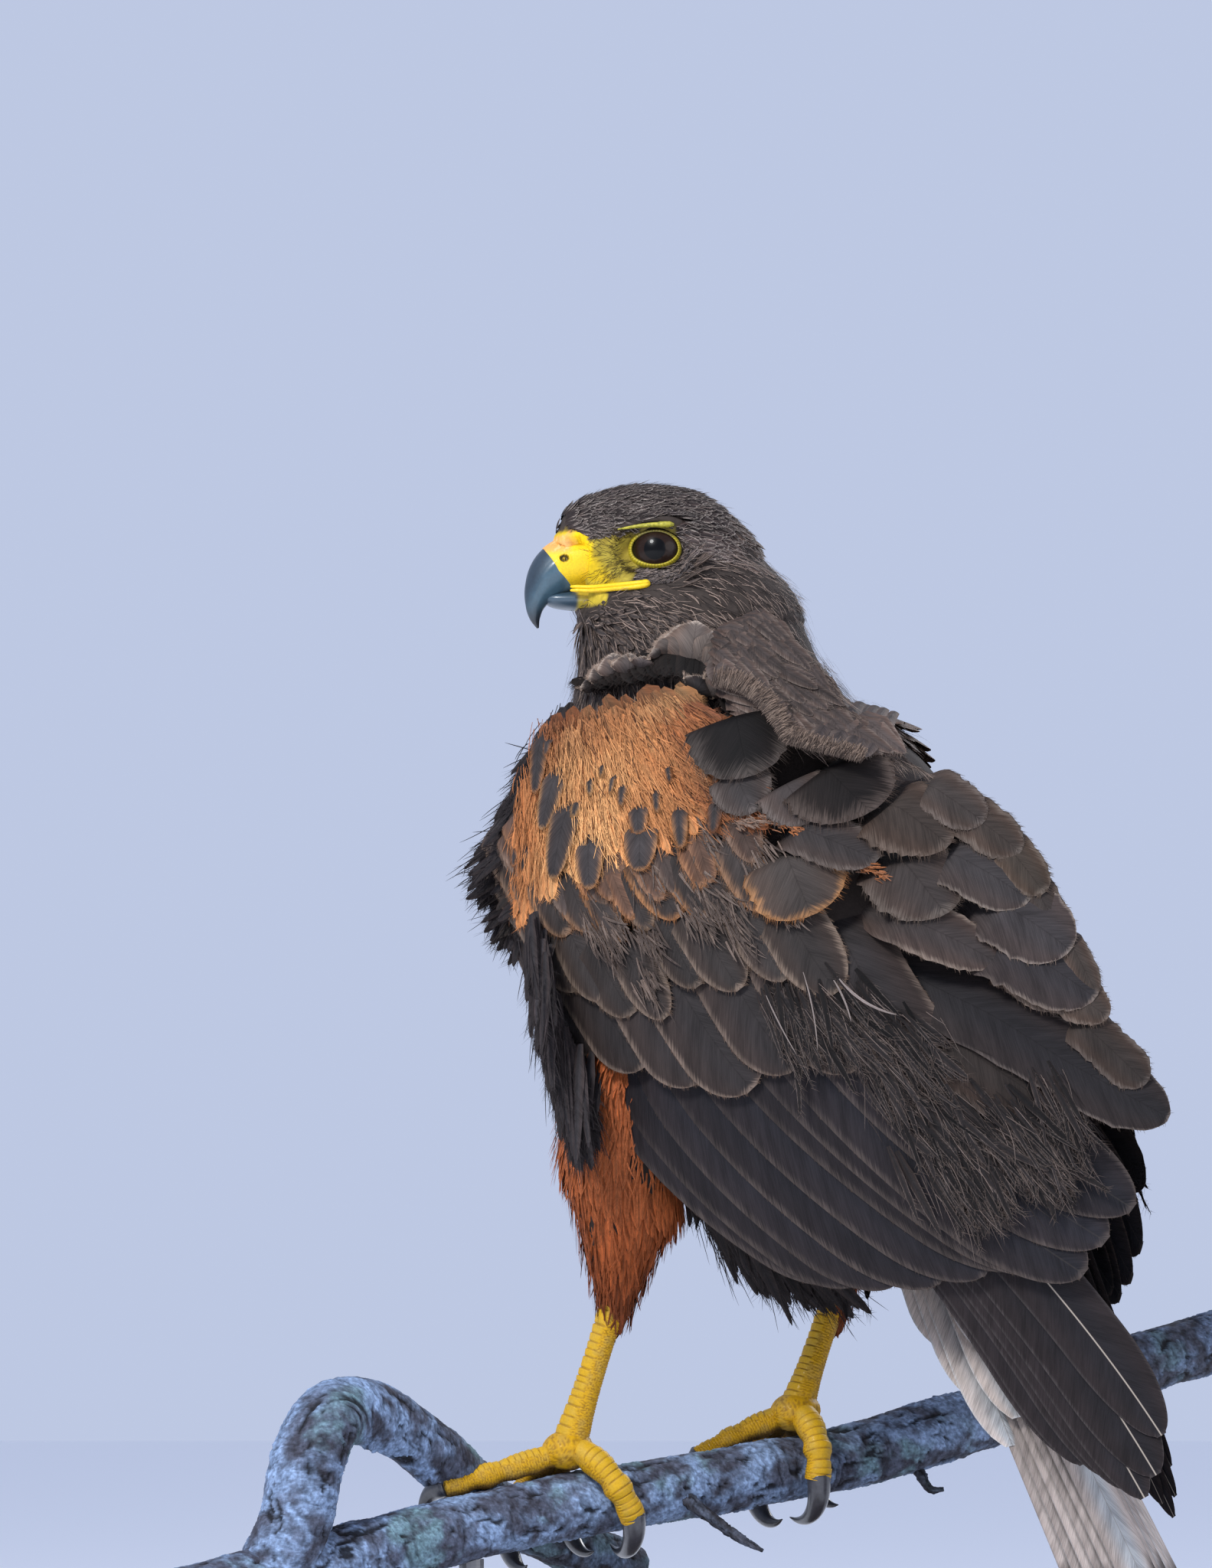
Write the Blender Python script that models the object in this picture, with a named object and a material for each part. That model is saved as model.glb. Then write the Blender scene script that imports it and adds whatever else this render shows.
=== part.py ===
"""Harris hawk standing on a cut length of branch, held by a plain display stand.

World frame: +X to the bird's right of view, +Y away from the viewer, +Z up, origin at the
middle of the stand base's underside. Shapes are worked out in millimetres and written in metres.
"""

import math

import bmesh
import bpy
import numpy as np
from mathutils import Matrix, Vector

MM = 0.001
GAP = 0.3
TRUNK_GAP = 0.7
COLLECTION = "harris_hawk"

# Where things are, in millimetres
REST_Z = 138.0
HEADING_AWAY = math.radians(25.0)
BODY_RISE = math.radians(62.7)
TAIL_ROOT = np.array([58.8, -35.0, REST_Z + 92.5])
HEAD_CENTRE = np.array([-30.2, 4.0, REST_Z + 301.0])
HEAD_TURN = math.radians(10.0)
TAIL_TWIST = math.radians(15.0)

# The perch and the stand
PERCH_RADIUS = 10.8
PERCH_SIDES = 12
PERCH_SLOPE_Y = 0.6
PERCH_Y = 10.0
BASE_SIZE = (300.0, 180.0, 12.0)
BASE_CORNER = 24.0
ROD_RADIUS = 4.0
ROD_X = (-95.0, 112.0)

# Eyes, and the vanes' thickness
EYE_RADIUS = 9.0
EYE_PLACE = (7.6, 15.4, 1.0)
FLIGHT_THICK = 0.9
COVERT_THICK = 0.9

BODY_SIDES = 20
HEAD_SIDES = 14


def unit(v):
    v = np.asarray(v, float)
    return v / np.linalg.norm(v)


def smooth(t):
    t = np.clip(t, 0.0, 1.0)
    return t * t * (3.0 - 2.0 * t)


def lerp(a, b, t):
    return np.asarray(a, float) * (1.0 - t) + np.asarray(b, float) * t


def curve(x, xs, ys):
    """A smooth curve through the points (xs, ys), rising xs, flat past the ends."""
    xs = np.asarray(xs, float)
    ys = np.asarray(ys, float)
    x = np.clip(np.asarray(x, float), xs[0], xs[-1])
    slopes = np.gradient(ys, xs, axis=0)
    k = np.clip(np.searchsorted(xs, x, side="right") - 1, 0, len(xs) - 2)
    h = xs[k + 1] - xs[k]
    t = (x - xs[k]) / h
    if ys.ndim > 1:
        t = np.asarray(t)[..., None]
        h = np.asarray(h)[..., None]
    return (
        (2 * t**3 - 3 * t**2 + 1) * ys[k]
        + (t**3 - 2 * t**2 + t) * h * slopes[k]
        + (-2 * t**3 + 3 * t**2) * ys[k + 1]
        + (t**3 - t**2) * h * slopes[k + 1]
    )


# The bird's own axes: up the spine, to its left, and out of its back
SPINE = np.array(
    [
        -math.cos(HEADING_AWAY) * math.cos(BODY_RISE),
        math.sin(HEADING_AWAY) * math.cos(BODY_RISE),
        math.sin(BODY_RISE),
    ]
)
LEFT = np.array([-math.sin(HEADING_AWAY), -math.cos(HEADING_AWAY), 0.0])
BACK = np.cross(SPINE, LEFT)
HEAD_FORWARD = np.array([-math.cos(HEAD_TURN), -math.sin(HEAD_TURN), 0.0])
UP = np.array([0.0, 0.0, 1.0])
HEAD_LEFT = np.cross(UP, HEAD_FORWARD)


def bird(s, d, l):
    """World place of s up the spine from the tail root, d towards the back, l to the left."""
    s, d, l = (np.asarray(v, float)[..., None] for v in (s, d, l))
    return TAIL_ROOT + s * SPINE + d * BACK + l * LEFT


def head(f, l, u):
    """World place of f forward, l left and u up from the middle of the head."""
    f, l, u = (np.asarray(v, float)[..., None] for v in (f, l, u))
    return HEAD_CENTRE + f * HEAD_FORWARD + l * HEAD_LEFT + u * UP


# Meshes and Booleans


def new_object(name, points, faces):
    """A closed mesh object from points in millimetres, with its faces turned outwards."""
    mesh = bpy.data.meshes.new(name)
    mesh.from_pydata([tuple(np.asarray(p, float) * MM) for p in points], [], faces)
    bm = bmesh.new()
    bm.from_mesh(mesh)
    bmesh.ops.recalc_face_normals(bm, faces=bm.faces)
    if bm.calc_volume(signed=True) < 0:
        bmesh.ops.reverse_faces(bm, faces=bm.faces)
    bm.to_mesh(mesh)
    bm.free()
    obj = bpy.data.objects.new(name, mesh)
    bpy.context.scene.collection.objects.link(obj)
    return obj


def loft(name, rings):
    """A closed body through rings of equally many points, each end closed by a fan of triangles."""
    rings = [np.asarray(r, float) for r in rings]
    sides = len(rings[0])
    points = [p for ring in rings for p in ring]
    faces = []
    for i in range(len(rings) - 1):
        for j in range(sides):
            k = (j + 1) % sides
            a, b = i * sides + j, i * sides + k
            faces.append((a, b, b + sides, a + sides))
    for ring, turn in ((0, 1), (len(rings) - 1, -1)):
        middle = len(points)
        points.append(rings[ring].mean(axis=0))
        for j in range(sides):
            a, b = ring * sides + j, ring * sides + (j + 1) % sides
            faces.append((a, middle, b)[::turn])
    return new_object(name, points, faces)


def tube_rings(centres, radii, sides, across=None, flatten=1.0):
    """Rings round a path. across is the direction of the first radius, and flatten thins the other."""
    centres = np.asarray(centres, float)
    tangents = np.gradient(centres, axis=0)
    side = np.asarray(across if across is not None else UP, float)
    rings = []
    for centre, tangent, radius in zip(centres, tangents, radii):
        tangent = unit(tangent)
        side = unit(side - tangent * (side @ tangent))
        other = np.cross(tangent, side)
        turn = np.arange(sides) * 2 * math.pi / sides
        rings.append(
            centre
            + radius * np.cos(turn)[:, None] * side
            + radius * flatten * np.sin(turn)[:, None] * other
        )
    return rings


def ball(name, centre, axes, radii, segments=16, rings=10):
    """An ellipsoid made from a UV sphere. axes are its three directions."""
    bm = bmesh.new()
    bmesh.ops.create_uvsphere(bm, u_segments=segments, v_segments=rings, radius=1.0)
    axes = np.asarray(axes, float)
    for v in bm.verts:
        shape = np.array(v.co) * np.asarray(radii, float)
        v.co = (np.asarray(centre, float) + shape @ axes) * MM
    bmesh.ops.recalc_face_normals(bm, faces=bm.faces)
    mesh = bpy.data.meshes.new(name)
    bm.to_mesh(mesh)
    bm.free()
    obj = bpy.data.objects.new(name, mesh)
    bpy.context.scene.collection.objects.link(obj)
    return obj


def vane(name, left, right, normal, thick):
    """A thin closed plate between two edges, its two faces split into triangles alike."""
    half = np.asarray(normal, float) * np.asarray(thick, float)[:, None] / 2
    count = len(left)
    points = np.concatenate([left + half, right + half, left - half, right - half])
    top_l, top_r, low_l, low_r = (k * count for k in range(4))
    faces = []
    for i in range(count - 1):
        for l0, r0, turn in ((top_l, top_r, 1), (low_l, low_r, -1)):
            faces.append((l0 + i, r0 + i, r0 + i + 1)[::turn])
            faces.append((l0 + i, r0 + i + 1, l0 + i + 1)[::turn])
        faces.append((top_l + i, top_l + i + 1, low_l + i + 1, low_l + i))
        faces.append((top_r + i + 1, top_r + i, low_r + i, low_r + i + 1))
    for i in (0, count - 1):
        faces.append((top_l + i, low_l + i, low_r + i, top_r + i))
    return new_object(name, points, faces)


def remove(obj):
    mesh = obj.data
    bpy.data.objects.remove(obj)
    if mesh.users == 0:
        bpy.data.meshes.remove(mesh)


def bake_modifiers(obj):
    """Gives the object the mesh that its modifiers make."""
    graph = bpy.context.evaluated_depsgraph_get()
    mesh = bpy.data.meshes.new_from_object(obj.evaluated_get(graph))
    old = obj.data
    obj.modifiers.clear()
    obj.data = mesh
    bpy.data.meshes.remove(old)


def keep_largest(obj):
    """Drops all but the largest closed surface of the object."""
    bm = bmesh.new()
    bm.from_mesh(obj.data)
    unseen = set(bm.faces)
    groups = []
    while unseen:
        stack = [unseen.pop()]
        group = list(stack)
        while stack:
            for edge in stack.pop().edges:
                for face in edge.link_faces:
                    if face in unseen:
                        unseen.remove(face)
                        stack.append(face)
                        group.append(face)
        groups.append(group)
    groups.sort(key=lambda g: sum(f.calc_area() for f in g))
    for group in groups[:-1]:
        verts = {v for f in group for v in f.verts}
        bmesh.ops.delete(bm, geom=list(verts), context="VERTS")
    bm.to_mesh(obj.data)
    bm.free()


def boolean(obj, other, operation, solver="EXACT", discard=True):
    modifier = obj.modifiers.new("boolean", "BOOLEAN")
    modifier.object = other
    modifier.operation = operation
    modifier.solver = solver
    bake_modifiers(obj)
    if discard:
        remove(other)
    return obj


def fuse(name, pieces, solver="EXACT"):
    """One body from several closed ones that overlap."""
    first, rest = pieces[0], pieces[1:]
    group = bpy.data.collections.new("pieces_of_" + name)
    bpy.context.scene.collection.children.link(group)
    for piece in rest:
        bpy.context.scene.collection.objects.unlink(piece)
        group.objects.link(piece)
    modifier = first.modifiers.new("union", "BOOLEAN")
    modifier.operand_type = "COLLECTION"
    modifier.collection = group
    modifier.operation = "UNION"
    modifier.solver = solver
    bake_modifiers(first)
    for piece in rest:
        remove(piece)
    bpy.data.collections.remove(group)
    first.name = name
    keep_largest(first)
    return first


def copy_of(obj, name):
    twin = bpy.data.objects.new(name, obj.data.copy())
    bpy.context.scene.collection.objects.link(twin)
    return twin


def half_space(point, normal, reach=400.0):
    """A big box whose one face passes through the point, and which lies where the normal points."""
    normal = unit(normal)
    first = unit(np.cross(normal, [0.3, 0.5, 0.8]))
    second = np.cross(normal, first)
    centre = np.asarray(point, float) + normal * reach / 2
    corners = [
        centre + reach / 2 * (i * first + j * second + k * normal)
        for k in (-1, 1)
        for i, j in ((-1, -1), (1, -1), (1, 1), (-1, 1))
    ]
    faces = [(0, 1, 2, 3), (7, 6, 5, 4)]
    faces += [(i, i + 4, (i + 1) % 4 + 4, (i + 1) % 4) for i in range(4)]
    return new_object("half_space", corners, faces)


# The trunk: one loft from the rump to the crown. Torso rows are (place up the spine, middle towards
# the back, radius to the back, radius to the belly, half width), and neck rows start with a world place.
TORSO_ROWS = (
    (-20.0, 2.0, 9.0, 10.0, 14.0),
    (-6.0, -1.0, 22.0, 23.0, 28.0),
    (12.0, -4.0, 36.0, 37.0, 42.0),
    (35.0, -6.0, 50.0, 52.0, 53.0),
    (62.0, -7.0, 60.0, 63.0, 59.0),
    (92.0, -8.0, 66.0, 68.0, 61.0),
    (122.0, -9.0, 66.0, 71.0, 59.0),
    (148.0, -9.0, 58.0, 68.0, 53.0),
    (168.0, -7.0, 49.0, 58.0, 46.0),
)
NECK_ROWS = (
    (-20.0, 1.0, 257.0, 41.0, 45.0, 40.0, 0.25),
    (-23.0, 2.0, 271.0, 38.0, 40.0, 36.0, 0.5),
    (-26.0, 3.0, 285.0, 36.0, 37.0, 31.0, 0.75),
    (-27.0, 4.0, 298.0, 29.0, 30.0, 24.0, 1.0),
    (-27.0, 4.0, 309.0, 15.0, 16.0, 13.0, 1.0),
)
BODY_STEPS = 2


def body_rows():
    """Middle, three radii and share of the head's turn for each row of the trunk."""
    rows = []
    for s, middle, back, belly, wide in TORSO_ROWS:
        rows.append((*bird(s, middle, 0.0), back, belly, wide, 0.0))
    for x, y, z, back, belly, wide, turn in NECK_ROWS:
        rows.append((x, y, REST_Z + z, back, belly, wide, turn))
    return np.array(rows)


ROWS = body_rows()
ROW_INDEX = np.arange(len(ROWS))


def body_ring(u, extra=0.0, sides=BODY_SIDES):
    """The trunk's outline at row number u, made larger by extra."""
    x = curve(u, ROW_INDEX, ROWS)
    ahead = curve(min(u + 0.05, ROW_INDEX[-1]), ROW_INDEX, ROWS)
    behind = curve(max(u - 0.05, 0.0), ROW_INDEX, ROWS)
    along = unit(ahead[:3] - behind[:3])
    left = lerp(LEFT, HEAD_LEFT, x[6])
    left = unit(left - along * (left @ along))
    back = np.cross(along, left)
    turn = np.arange(sides) * 2 * math.pi / sides
    c, s = np.cos(turn), np.sin(turn)
    deep = np.where(c > 0, x[3], x[4]) + extra
    return x[:3] + (deep * c)[:, None] * back + ((x[5] + extra) * s)[:, None] * left


def body_loft(name, extra=0.0):
    count = (len(ROWS) - 1) * BODY_STEPS + 1
    rings = [body_ring(i / BODY_STEPS, extra) for i in range(count)]
    rings[0] = rings[0] - SPINE * extra
    rings[-1] = rings[-1] + UP * extra
    return loft(name, rings)


# The head: rows of (forward, middle's height, radius up, radius down, half width)
HEAD_ROWS = (
    (-31.0, -3.0, 4.0, 4.0, 5.0),
    (-26.0, -2.0, 13.0, 13.0, 14.0),
    (-17.0, -1.0, 18.8, 18.0, 20.0),
    (-6.0, 0.0, 22.4, 20.0, 23.0),
    (6.0, 0.0, 23.8, 20.0, 22.0),
    (16.0, 0.0, 23.4, 19.0, 20.0),
    (25.0, -1.0, 22.4, 17.0, 16.6),
    (32.0, -3.0, 21.4, 14.0, 13.4),
    (37.0, -4.0, 17.6, 12.5, 11.0),
    (40.0, -5.0, 9.0, 10.0, 8.6),
)
HEAD_STEPS = 1.5
LID_SIDES = 12

# The bill: rows of (forward, height, half depth, half width) along its curved middle line
BILL_ROWS = (
    (27.0, -1.6, 9.4, 10.4),
    (33.0, -2.0, 9.3, 9.8),
    (38.5, -3.9, 8.6, 8.6),
    (42.6, -7.6, 7.4, 7.2),
    (45.6, -12.2, 5.2, 5.2),
    (47.0, -16.6, 3.2, 3.4),
    (47.0, -20.4, 1.8, 2.0),
    (46.0, -23.8, 0.35, 0.4),
)
CERE_ROW = 2.15
LOWER_BILL_ROWS = (
    (14.0, -14.0, 3.4, 8.6),
    (26.0, -14.6, 3.6, 8.6),
    (34.0, -14.6, 3.3, 7.4),
    (40.0, -14.4, 2.7, 5.6),
    (43.6, -14.0, 1.2, 3.0),
)


def head_loft(name):
    index = np.arange(len(HEAD_ROWS))
    rows = np.array(HEAD_ROWS)
    rings = []
    for i in range(int((len(rows) - 1) * HEAD_STEPS) + 1):
        f, middle, up, down, wide = curve(i / HEAD_STEPS, index, rows)
        turn = np.arange(HEAD_SIDES) * 2 * math.pi / HEAD_SIDES
        c, s = np.cos(turn), np.sin(turn)
        high = middle + np.where(c > 0, up, down) * c
        rings.append(head(np.full(HEAD_SIDES, f), wide * s, high))
    return loft(name, rings)


def bill_loft(name, table_rows, extra=0.0, sides=12, steps=2, start=0.0, end=None, sharp=0.78):
    """A loft along a path in the head's middle plane. sharp under 1 narrows the ridge along its top."""
    rows = np.array(table_rows)
    index = np.arange(len(rows))
    end = index[-1] if end is None else end
    count = int(round((end - start) * steps)) + 1
    rings = []
    for u in np.linspace(start, end, count):
        f, h, deep, wide = curve(u, index, rows)
        a = curve(min(u + 0.05, index[-1]), index, rows)
        b = curve(max(u - 0.05, 0.0), index, rows)
        along = unit([a[0] - b[0], a[1] - b[1]])
        up = np.array([-along[1], along[0]])
        turn = np.arange(sides) * 2 * math.pi / sides
        c, s = np.cos(turn), np.sin(turn)
        rise = (deep + extra) * c
        spread = (wide + extra) * np.sign(s) * np.abs(s) * np.where(c > 0.4, sharp + (1 - c) * 0.3, 1)
        rings.append(head(f + up[0] * rise, spread, h + up[1] * rise))
    return loft(name, rings)


def eye_ball(name, side, extra=0.0):
    f, l, u = EYE_PLACE
    axes = (HEAD_FORWARD, HEAD_LEFT, UP)
    return ball(name, head(f, side * l, u), axes, (EYE_RADIUS + extra,) * 3, 14, 9)


def eye_out(side):
    """The direction in which an eye looks, to its side and a little forward and down."""
    return unit(HEAD_LEFT * side + HEAD_FORWARD * 0.34 - UP * 0.04)


def lid_ring(name, side):
    """The bare ring of skin round an eye."""
    f, l, u = EYE_PLACE
    look = eye_out(side)
    first = unit(np.cross(look, UP))
    second = np.cross(first, look)
    centre = head(f, side * l, u) + look * 5.2
    turn = np.linspace(0, 2 * math.pi, LID_SIDES, endpoint=False)
    points = []
    for a in turn:
        out = math.cos(a) * first + math.sin(a) * second * 0.93
        for b in np.linspace(0, 2 * math.pi, 5, endpoint=False):
            points.append(centre + out * (8.2 + 1.5 * math.cos(b)) + look * 1.3 * math.sin(b))
    faces = []
    for i in range(LID_SIDES):
        for j in range(5):
            a, b = i * 5 + j, i * 5 + (j + 1) % 5
            after = (i + 1) % LID_SIDES
            faces.append((a, b, after * 5 + (j + 1) % 5, after * 5 + j))
    return new_object(name, points, faces)


def brow(name, side):
    """The ridge that shades an eye."""
    path = [
        head(23.0, side * 14.4, 6.4),
        head(15.0, side * 19.6, 8.6),
        head(7.0, side * 22.4, 9.8),
        head(-2.0, side * 21.6, 9.6),
    ]
    return loft(name, tube_rings(path, (1.6, 3.2, 3.4, 1.8), 6, UP, 1.1))


def gape_lip(name, side):
    """The fleshy edge of the mouth, from the bill back to its corner."""
    path = [
        head(33.0, side * 8.6, -10.9),
        head(25.0, side * 11.8, -10.6),
        head(16.0, side * 16.0, -9.9),
        head(9.6, side * 18.6, -9.6),
    ]
    return loft(name, tube_rings(path, (1.5, 1.7, 1.7, 1.0), 6, UP))


# The wings: vanes laid on a surface beside the trunk, in rows. Places are (up the spine, to the back).
WING_REACH_S = (-140.0, -85.0, -40.0, 0.0, 35.0, 65.0, 95.0, 125.0, 155.0, 180.0, 200.0)
WING_REACH_L = (31.0, 34.0, 43.0, 55.0, 64.0, 68.0, 68.0, 64.0, 56.0, 48.0, 40.0)
WING_ACROSS_D = (-100.0, -60.0, -8.0, 20.0, 42.0, 62.0, 82.0, 105.0)
WING_ACROSS = (0.45, 0.84, 1.0, 0.95, 0.79, 0.55, 0.36, 0.24)
FAR_WING_S = (-120.0, -60.0, -10.0, 40.0, 80.0, 120.0)
FAR_WING_PULL = (0.48, 0.44, 0.30, 0.27, 0.29, 0.30)


def wing_reach(s, d):
    """How far the wing's surface lies from the middle plane."""
    return curve(s, WING_REACH_S, WING_REACH_L) * curve(d, WING_ACROSS_D, WING_ACROSS)


def wing_point(side, s, d, h):
    """A place on one wing's surface, raised by h."""
    step = 1.0
    d = np.asarray(d, float)
    if side < 0:
        d = d - curve(s, FAR_WING_S, FAR_WING_PULL) * np.maximum(d + 8.0, 0.0)
    here = bird(s, d, side * wing_reach(s, d))
    up = bird(s + step, d, side * wing_reach(s + step, d)) - here
    back = bird(s, d + step, side * wing_reach(s, d + step)) - here
    normal = np.cross(back, up) * side
    normal = normal / np.linalg.norm(normal, axis=-1, keepdims=True)
    return here + normal * np.asarray(h, float)[..., None], normal


# Each row of vanes: name, count, roots' line, tips' curve, half widths at its ends, height over the
# wing's surface, thickness, bow of a vane towards the belly
WING_TIERS = (
    ("primary", 5, ((112, -68), (98, -46)), ((-80, 6), (-102, 14), (-124, 26), (-110, 38)),
     (10.5, 12.0), 0.0, FLIGHT_THICK, -5.0),
    ("secondary", 6, ((98, -65), (112, 16)), ((-16, -16), (-34, 14), (-46, 42), (-40, 60)),
     (14.0, 16.0), 3.6, FLIGHT_THICK, 9.0),
    ("tertial", 3, ((106, 12), (114, 34)), ((-40, 62), (-28, 74), (-14, 88)),
     (13.5, 13.5), 6.6, FLIGHT_THICK, 6.0),
    ("greater_covert", 6, ((126, -66), (112, 30)), ((84, -66), (62, -34), (40, -2), (24, 40)),
     (12.5, 15.5), 6.4, COVERT_THICK, 2.0),
    ("median_covert", 5, ((154, -62), (134, 26)), ((122, -62), (92, -42), (80, -12), (70, 26)),
     (11.5, 13.5), 9.0, COVERT_THICK, 1.0),
    ("lesser_covert", 4, ((176, -48), (158, 10)), ((146, -60), (124, -40), (112, -14), (104, 12)),
     (11.0, 13.0), 11.0, COVERT_THICK, 0.0),
    ("scapular", 4, ((150, 14), (144, 46)), ((62, 32), (50, 48), (40, 64), (28, 76)),
     (14.5, 15.0), 10.0, COVERT_THICK, 0.0),
    ("upper_scapular", 3, ((172, 8), (164, 32)), ((112, 24), (96, 46), (80, 66)),
     (13.0, 14.0), 12.6, COVERT_THICK, 0.0),
)
VANE_STATIONS = (0.0, 0.34, 0.82, 1.0)
VANE_WIDTHS = (0.45, 0.92, 0.92, 0.3)
LONG_STATIONS = (0.0, 0.3, 0.66, 0.9, 1.0)
LONG_WIDTHS = (0.45, 0.9, 1.0, 0.7, 0.22)
VANE_TILT = 0.13
SUNK = 1.5


def wing_vane(name, side, root, tip, half_width, height, thick, bow):
    root, tip = np.asarray(root, float), np.asarray(tip, float)
    long = np.linalg.norm(tip - root) > 100.0
    shape = (LONG_STATIONS, LONG_WIDTHS) if long else (VANE_STATIONS, VANE_WIDTHS)
    chord = tip - root
    square = np.array([-chord[1], chord[0]]) / np.linalg.norm(chord)
    if square[1] < 0:
        square = -square
    middle = (root + tip) / 2 - square * bow * 2
    lefts, rights, normals, thicks = [], [], [], []
    for v, share in zip(*shape):
        place = (1 - v) ** 2 * root + 2 * v * (1 - v) * middle + v * v * tip
        along = 2 * (1 - v) * (middle - root) + 2 * v * (tip - middle)
        across = np.array([-along[1], along[0]]) / np.linalg.norm(along)
        if across @ square < 0:
            across = -across
        wide = half_width * share
        h = lerp(-SUNK, height, smooth(v / 0.4))
        high, _ = wing_point(side, *(place + across * wide), h - VANE_TILT * wide)
        low, _ = wing_point(side, *(place - across * wide), h + VANE_TILT * wide)
        _, normal = wing_point(side, *place, h)
        lefts.append(high)
        rights.append(low)
        normals.append(normal)
        thicks.append(thick * (1.0 if v < 0.9 else 0.7))
    return vane(name, np.array(lefts), np.array(rights), np.array(normals), np.array(thicks))


def wing_core(name, side):
    """The arm, hand and skin of the folded wing, which the vanes grow from."""
    bm = bmesh.new()
    bmesh.ops.create_uvsphere(bm, u_segments=18, v_segments=8, radius=1.0)
    for v in bm.verts:
        x, y, z = v.co
        s = 124.0 + 58.0 * x
        d = -12.0 + 60.0 * y - 16.0 * x
        h = 8.0 * z if z > 0 else 13.0 * z
        place, _ = wing_point(side, s, d, h)
        v.co = place * MM
    bmesh.ops.recalc_face_normals(bm, faces=bm.faces)
    mesh = bpy.data.meshes.new(name)
    bm.to_mesh(mesh)
    bm.free()
    obj = bpy.data.objects.new(name, mesh)
    bpy.context.scene.collection.objects.link(obj)
    return obj


def wing(name, side):
    pieces = [wing_core(name + "_core", side)]
    for tier, count, (r0, r1), tips, (w0, w1), height, thick, bow in WING_TIERS:
        for i in range(count):
            t = i / (count - 1)
            tip = curve(t, np.linspace(0, 1, len(tips)), np.array(tips, float))
            pieces.append(
                wing_vane(
                    f"{name}_{tier}_{i}",
                    side,
                    lerp(r0, r1, t),
                    tip,
                    w0 + (w1 - w0) * t,
                    height,
                    thick,
                    bow,
                )
            )
    obj = fuse(name, pieces, "MANIFOLD")
    boolean(obj, body_loft("trunk_cutter", TRUNK_GAP), "DIFFERENCE", "MANIFOLD")
    keep_largest(obj)
    return obj


# The tail, on axes of its own that are twisted a little about the spine
TAIL_BACK = unit(BACK * math.cos(TAIL_TWIST) + LEFT * math.sin(TAIL_TWIST))
TAIL_LEFT = np.cross(BACK * math.cos(TAIL_TWIST) + LEFT * math.sin(TAIL_TWIST), SPINE)
TAIL_LENGTH = 226.0
TAIL_FEATHERS = 6
TAIL_ROOF = 0.006
TAIL_CORE_S = 6.0


def tail_point(q, c, h):
    """A place q down the tail, c to its left and h above it, on its roofed surface."""
    return (
        TAIL_ROOT
        + SPINE * (8.0 - q)
        + TAIL_LEFT * c
        + TAIL_BACK * (h - TAIL_ROOF * c * c)
    )


def tail_vane(name, root, tip, half_width, height, thick, start=0.0):
    """root and tip are (down the tail, to the left)."""
    root, tip = np.asarray(root, float), np.asarray(tip, float)
    along = unit(tip - root)
    across = np.array([-along[1], along[0]])
    lefts, rights, normals, thicks = [], [], [], []
    for v, share in zip(VANE_STATIONS, VANE_WIDTHS):
        place = lerp(root, tip, v)
        wide = half_width * share
        h = lerp(start, height, smooth(v / 0.35))
        lefts.append(tail_point(*(place + across * wide), h))
        rights.append(tail_point(*(place - across * wide), h))
        normals.append(TAIL_BACK)
        thicks.append(thick * (1.0 if v < 0.9 else 0.7))
    return vane(name, np.array(lefts), np.array(rights), np.array(normals), np.array(thicks))


def tail(name):
    axes = (SPINE, TAIL_LEFT, TAIL_BACK)
    pieces = [ball(name + "_core", bird(-10.0, -3.0, 0.0), axes, (34.0, 19.0, 15.0), 16, 10)]
    for k in range(TAIL_FEATHERS):
        for side in (1, -1):
            reach = 2.0 + 4.0 * k
            length = TAIL_LENGTH - 0.35 * k * k
            height = 3.0 - 1.25 * k - (0.6 if side < 0 else 0.0)
            pieces.append(
                tail_vane(
                    f"{name}_feather_{k}_{side}",
                    (12.0, side * (1.0 + 1.4 * k)),
                    (length, side * reach),
                    10.5,
                    height,
                    FLIGHT_THICK,
                    -1.0,
                )
            )
    for i in range(5):
        c = (i - 2) * 8.0
        pieces.append(
            tail_vane(f"{name}_over_{i}", (4.0, c * 0.8), (96.0 - abs(c), c * 1.35), 9.5,
                      6.5 - 0.03 * c * c, COVERT_THICK, 4.0)
        )
        pieces.append(
            tail_vane(f"{name}_under_{i}", (4.0, c * 0.9), (104.0 - 1.4 * abs(c), c * 1.3), 10.0,
                      -9.0 + 0.03 * c * c, COVERT_THICK, -8.0)
        )
    obj = fuse(name, pieces, "MANIFOLD")
    boolean(obj, body_loft("trunk_cutter", TRUNK_GAP), "DIFFERENCE", "MANIFOLD")
    keep_largest(obj)
    return obj


# The perch: a branch with a fork at its left end that loops up and passes behind it
PERCH_X = (-188.0, -150.0, -110.0, -65.0, -40.0, -3.0, 21.0, 62.0, 100.0, 128.0, 158.0)
PERCH_Z = (-37.0, -27.0, -17.5, -8.2, -4.0, 1.5, 5.8, 16.6, 27.5, 37.5, 46.0)
FORK = (
    (-158.0, -86.0, -30.0),
    (-150.0, -84.0, -12.0),
    (-146.0, -80.0, 8.0),
    (-138.0, -72.0, 22.0),
    (-124.0, -60.0, 21.0),
    (-108.0, -44.0, 10.0),
    (-90.0, -20.0, -7.0),
    (-66.0, 8.0, -20.0),
    (-44.0, 26.0, -30.0),
)
FORK_RADII = (11.5, 11.5, 11.5, 11.0, 10.5, 10.0, 9.5, 9.0, 8.5)


def perch_middle(x):
    z = curve(x, PERCH_X, PERCH_Z)
    wave = 1.6 * np.sin(np.asarray(x) * 0.045)
    return np.stack([x + 0 * z, PERCH_Y + PERCH_SLOPE_Y * x + wave, REST_Z + z], axis=-1)


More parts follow.
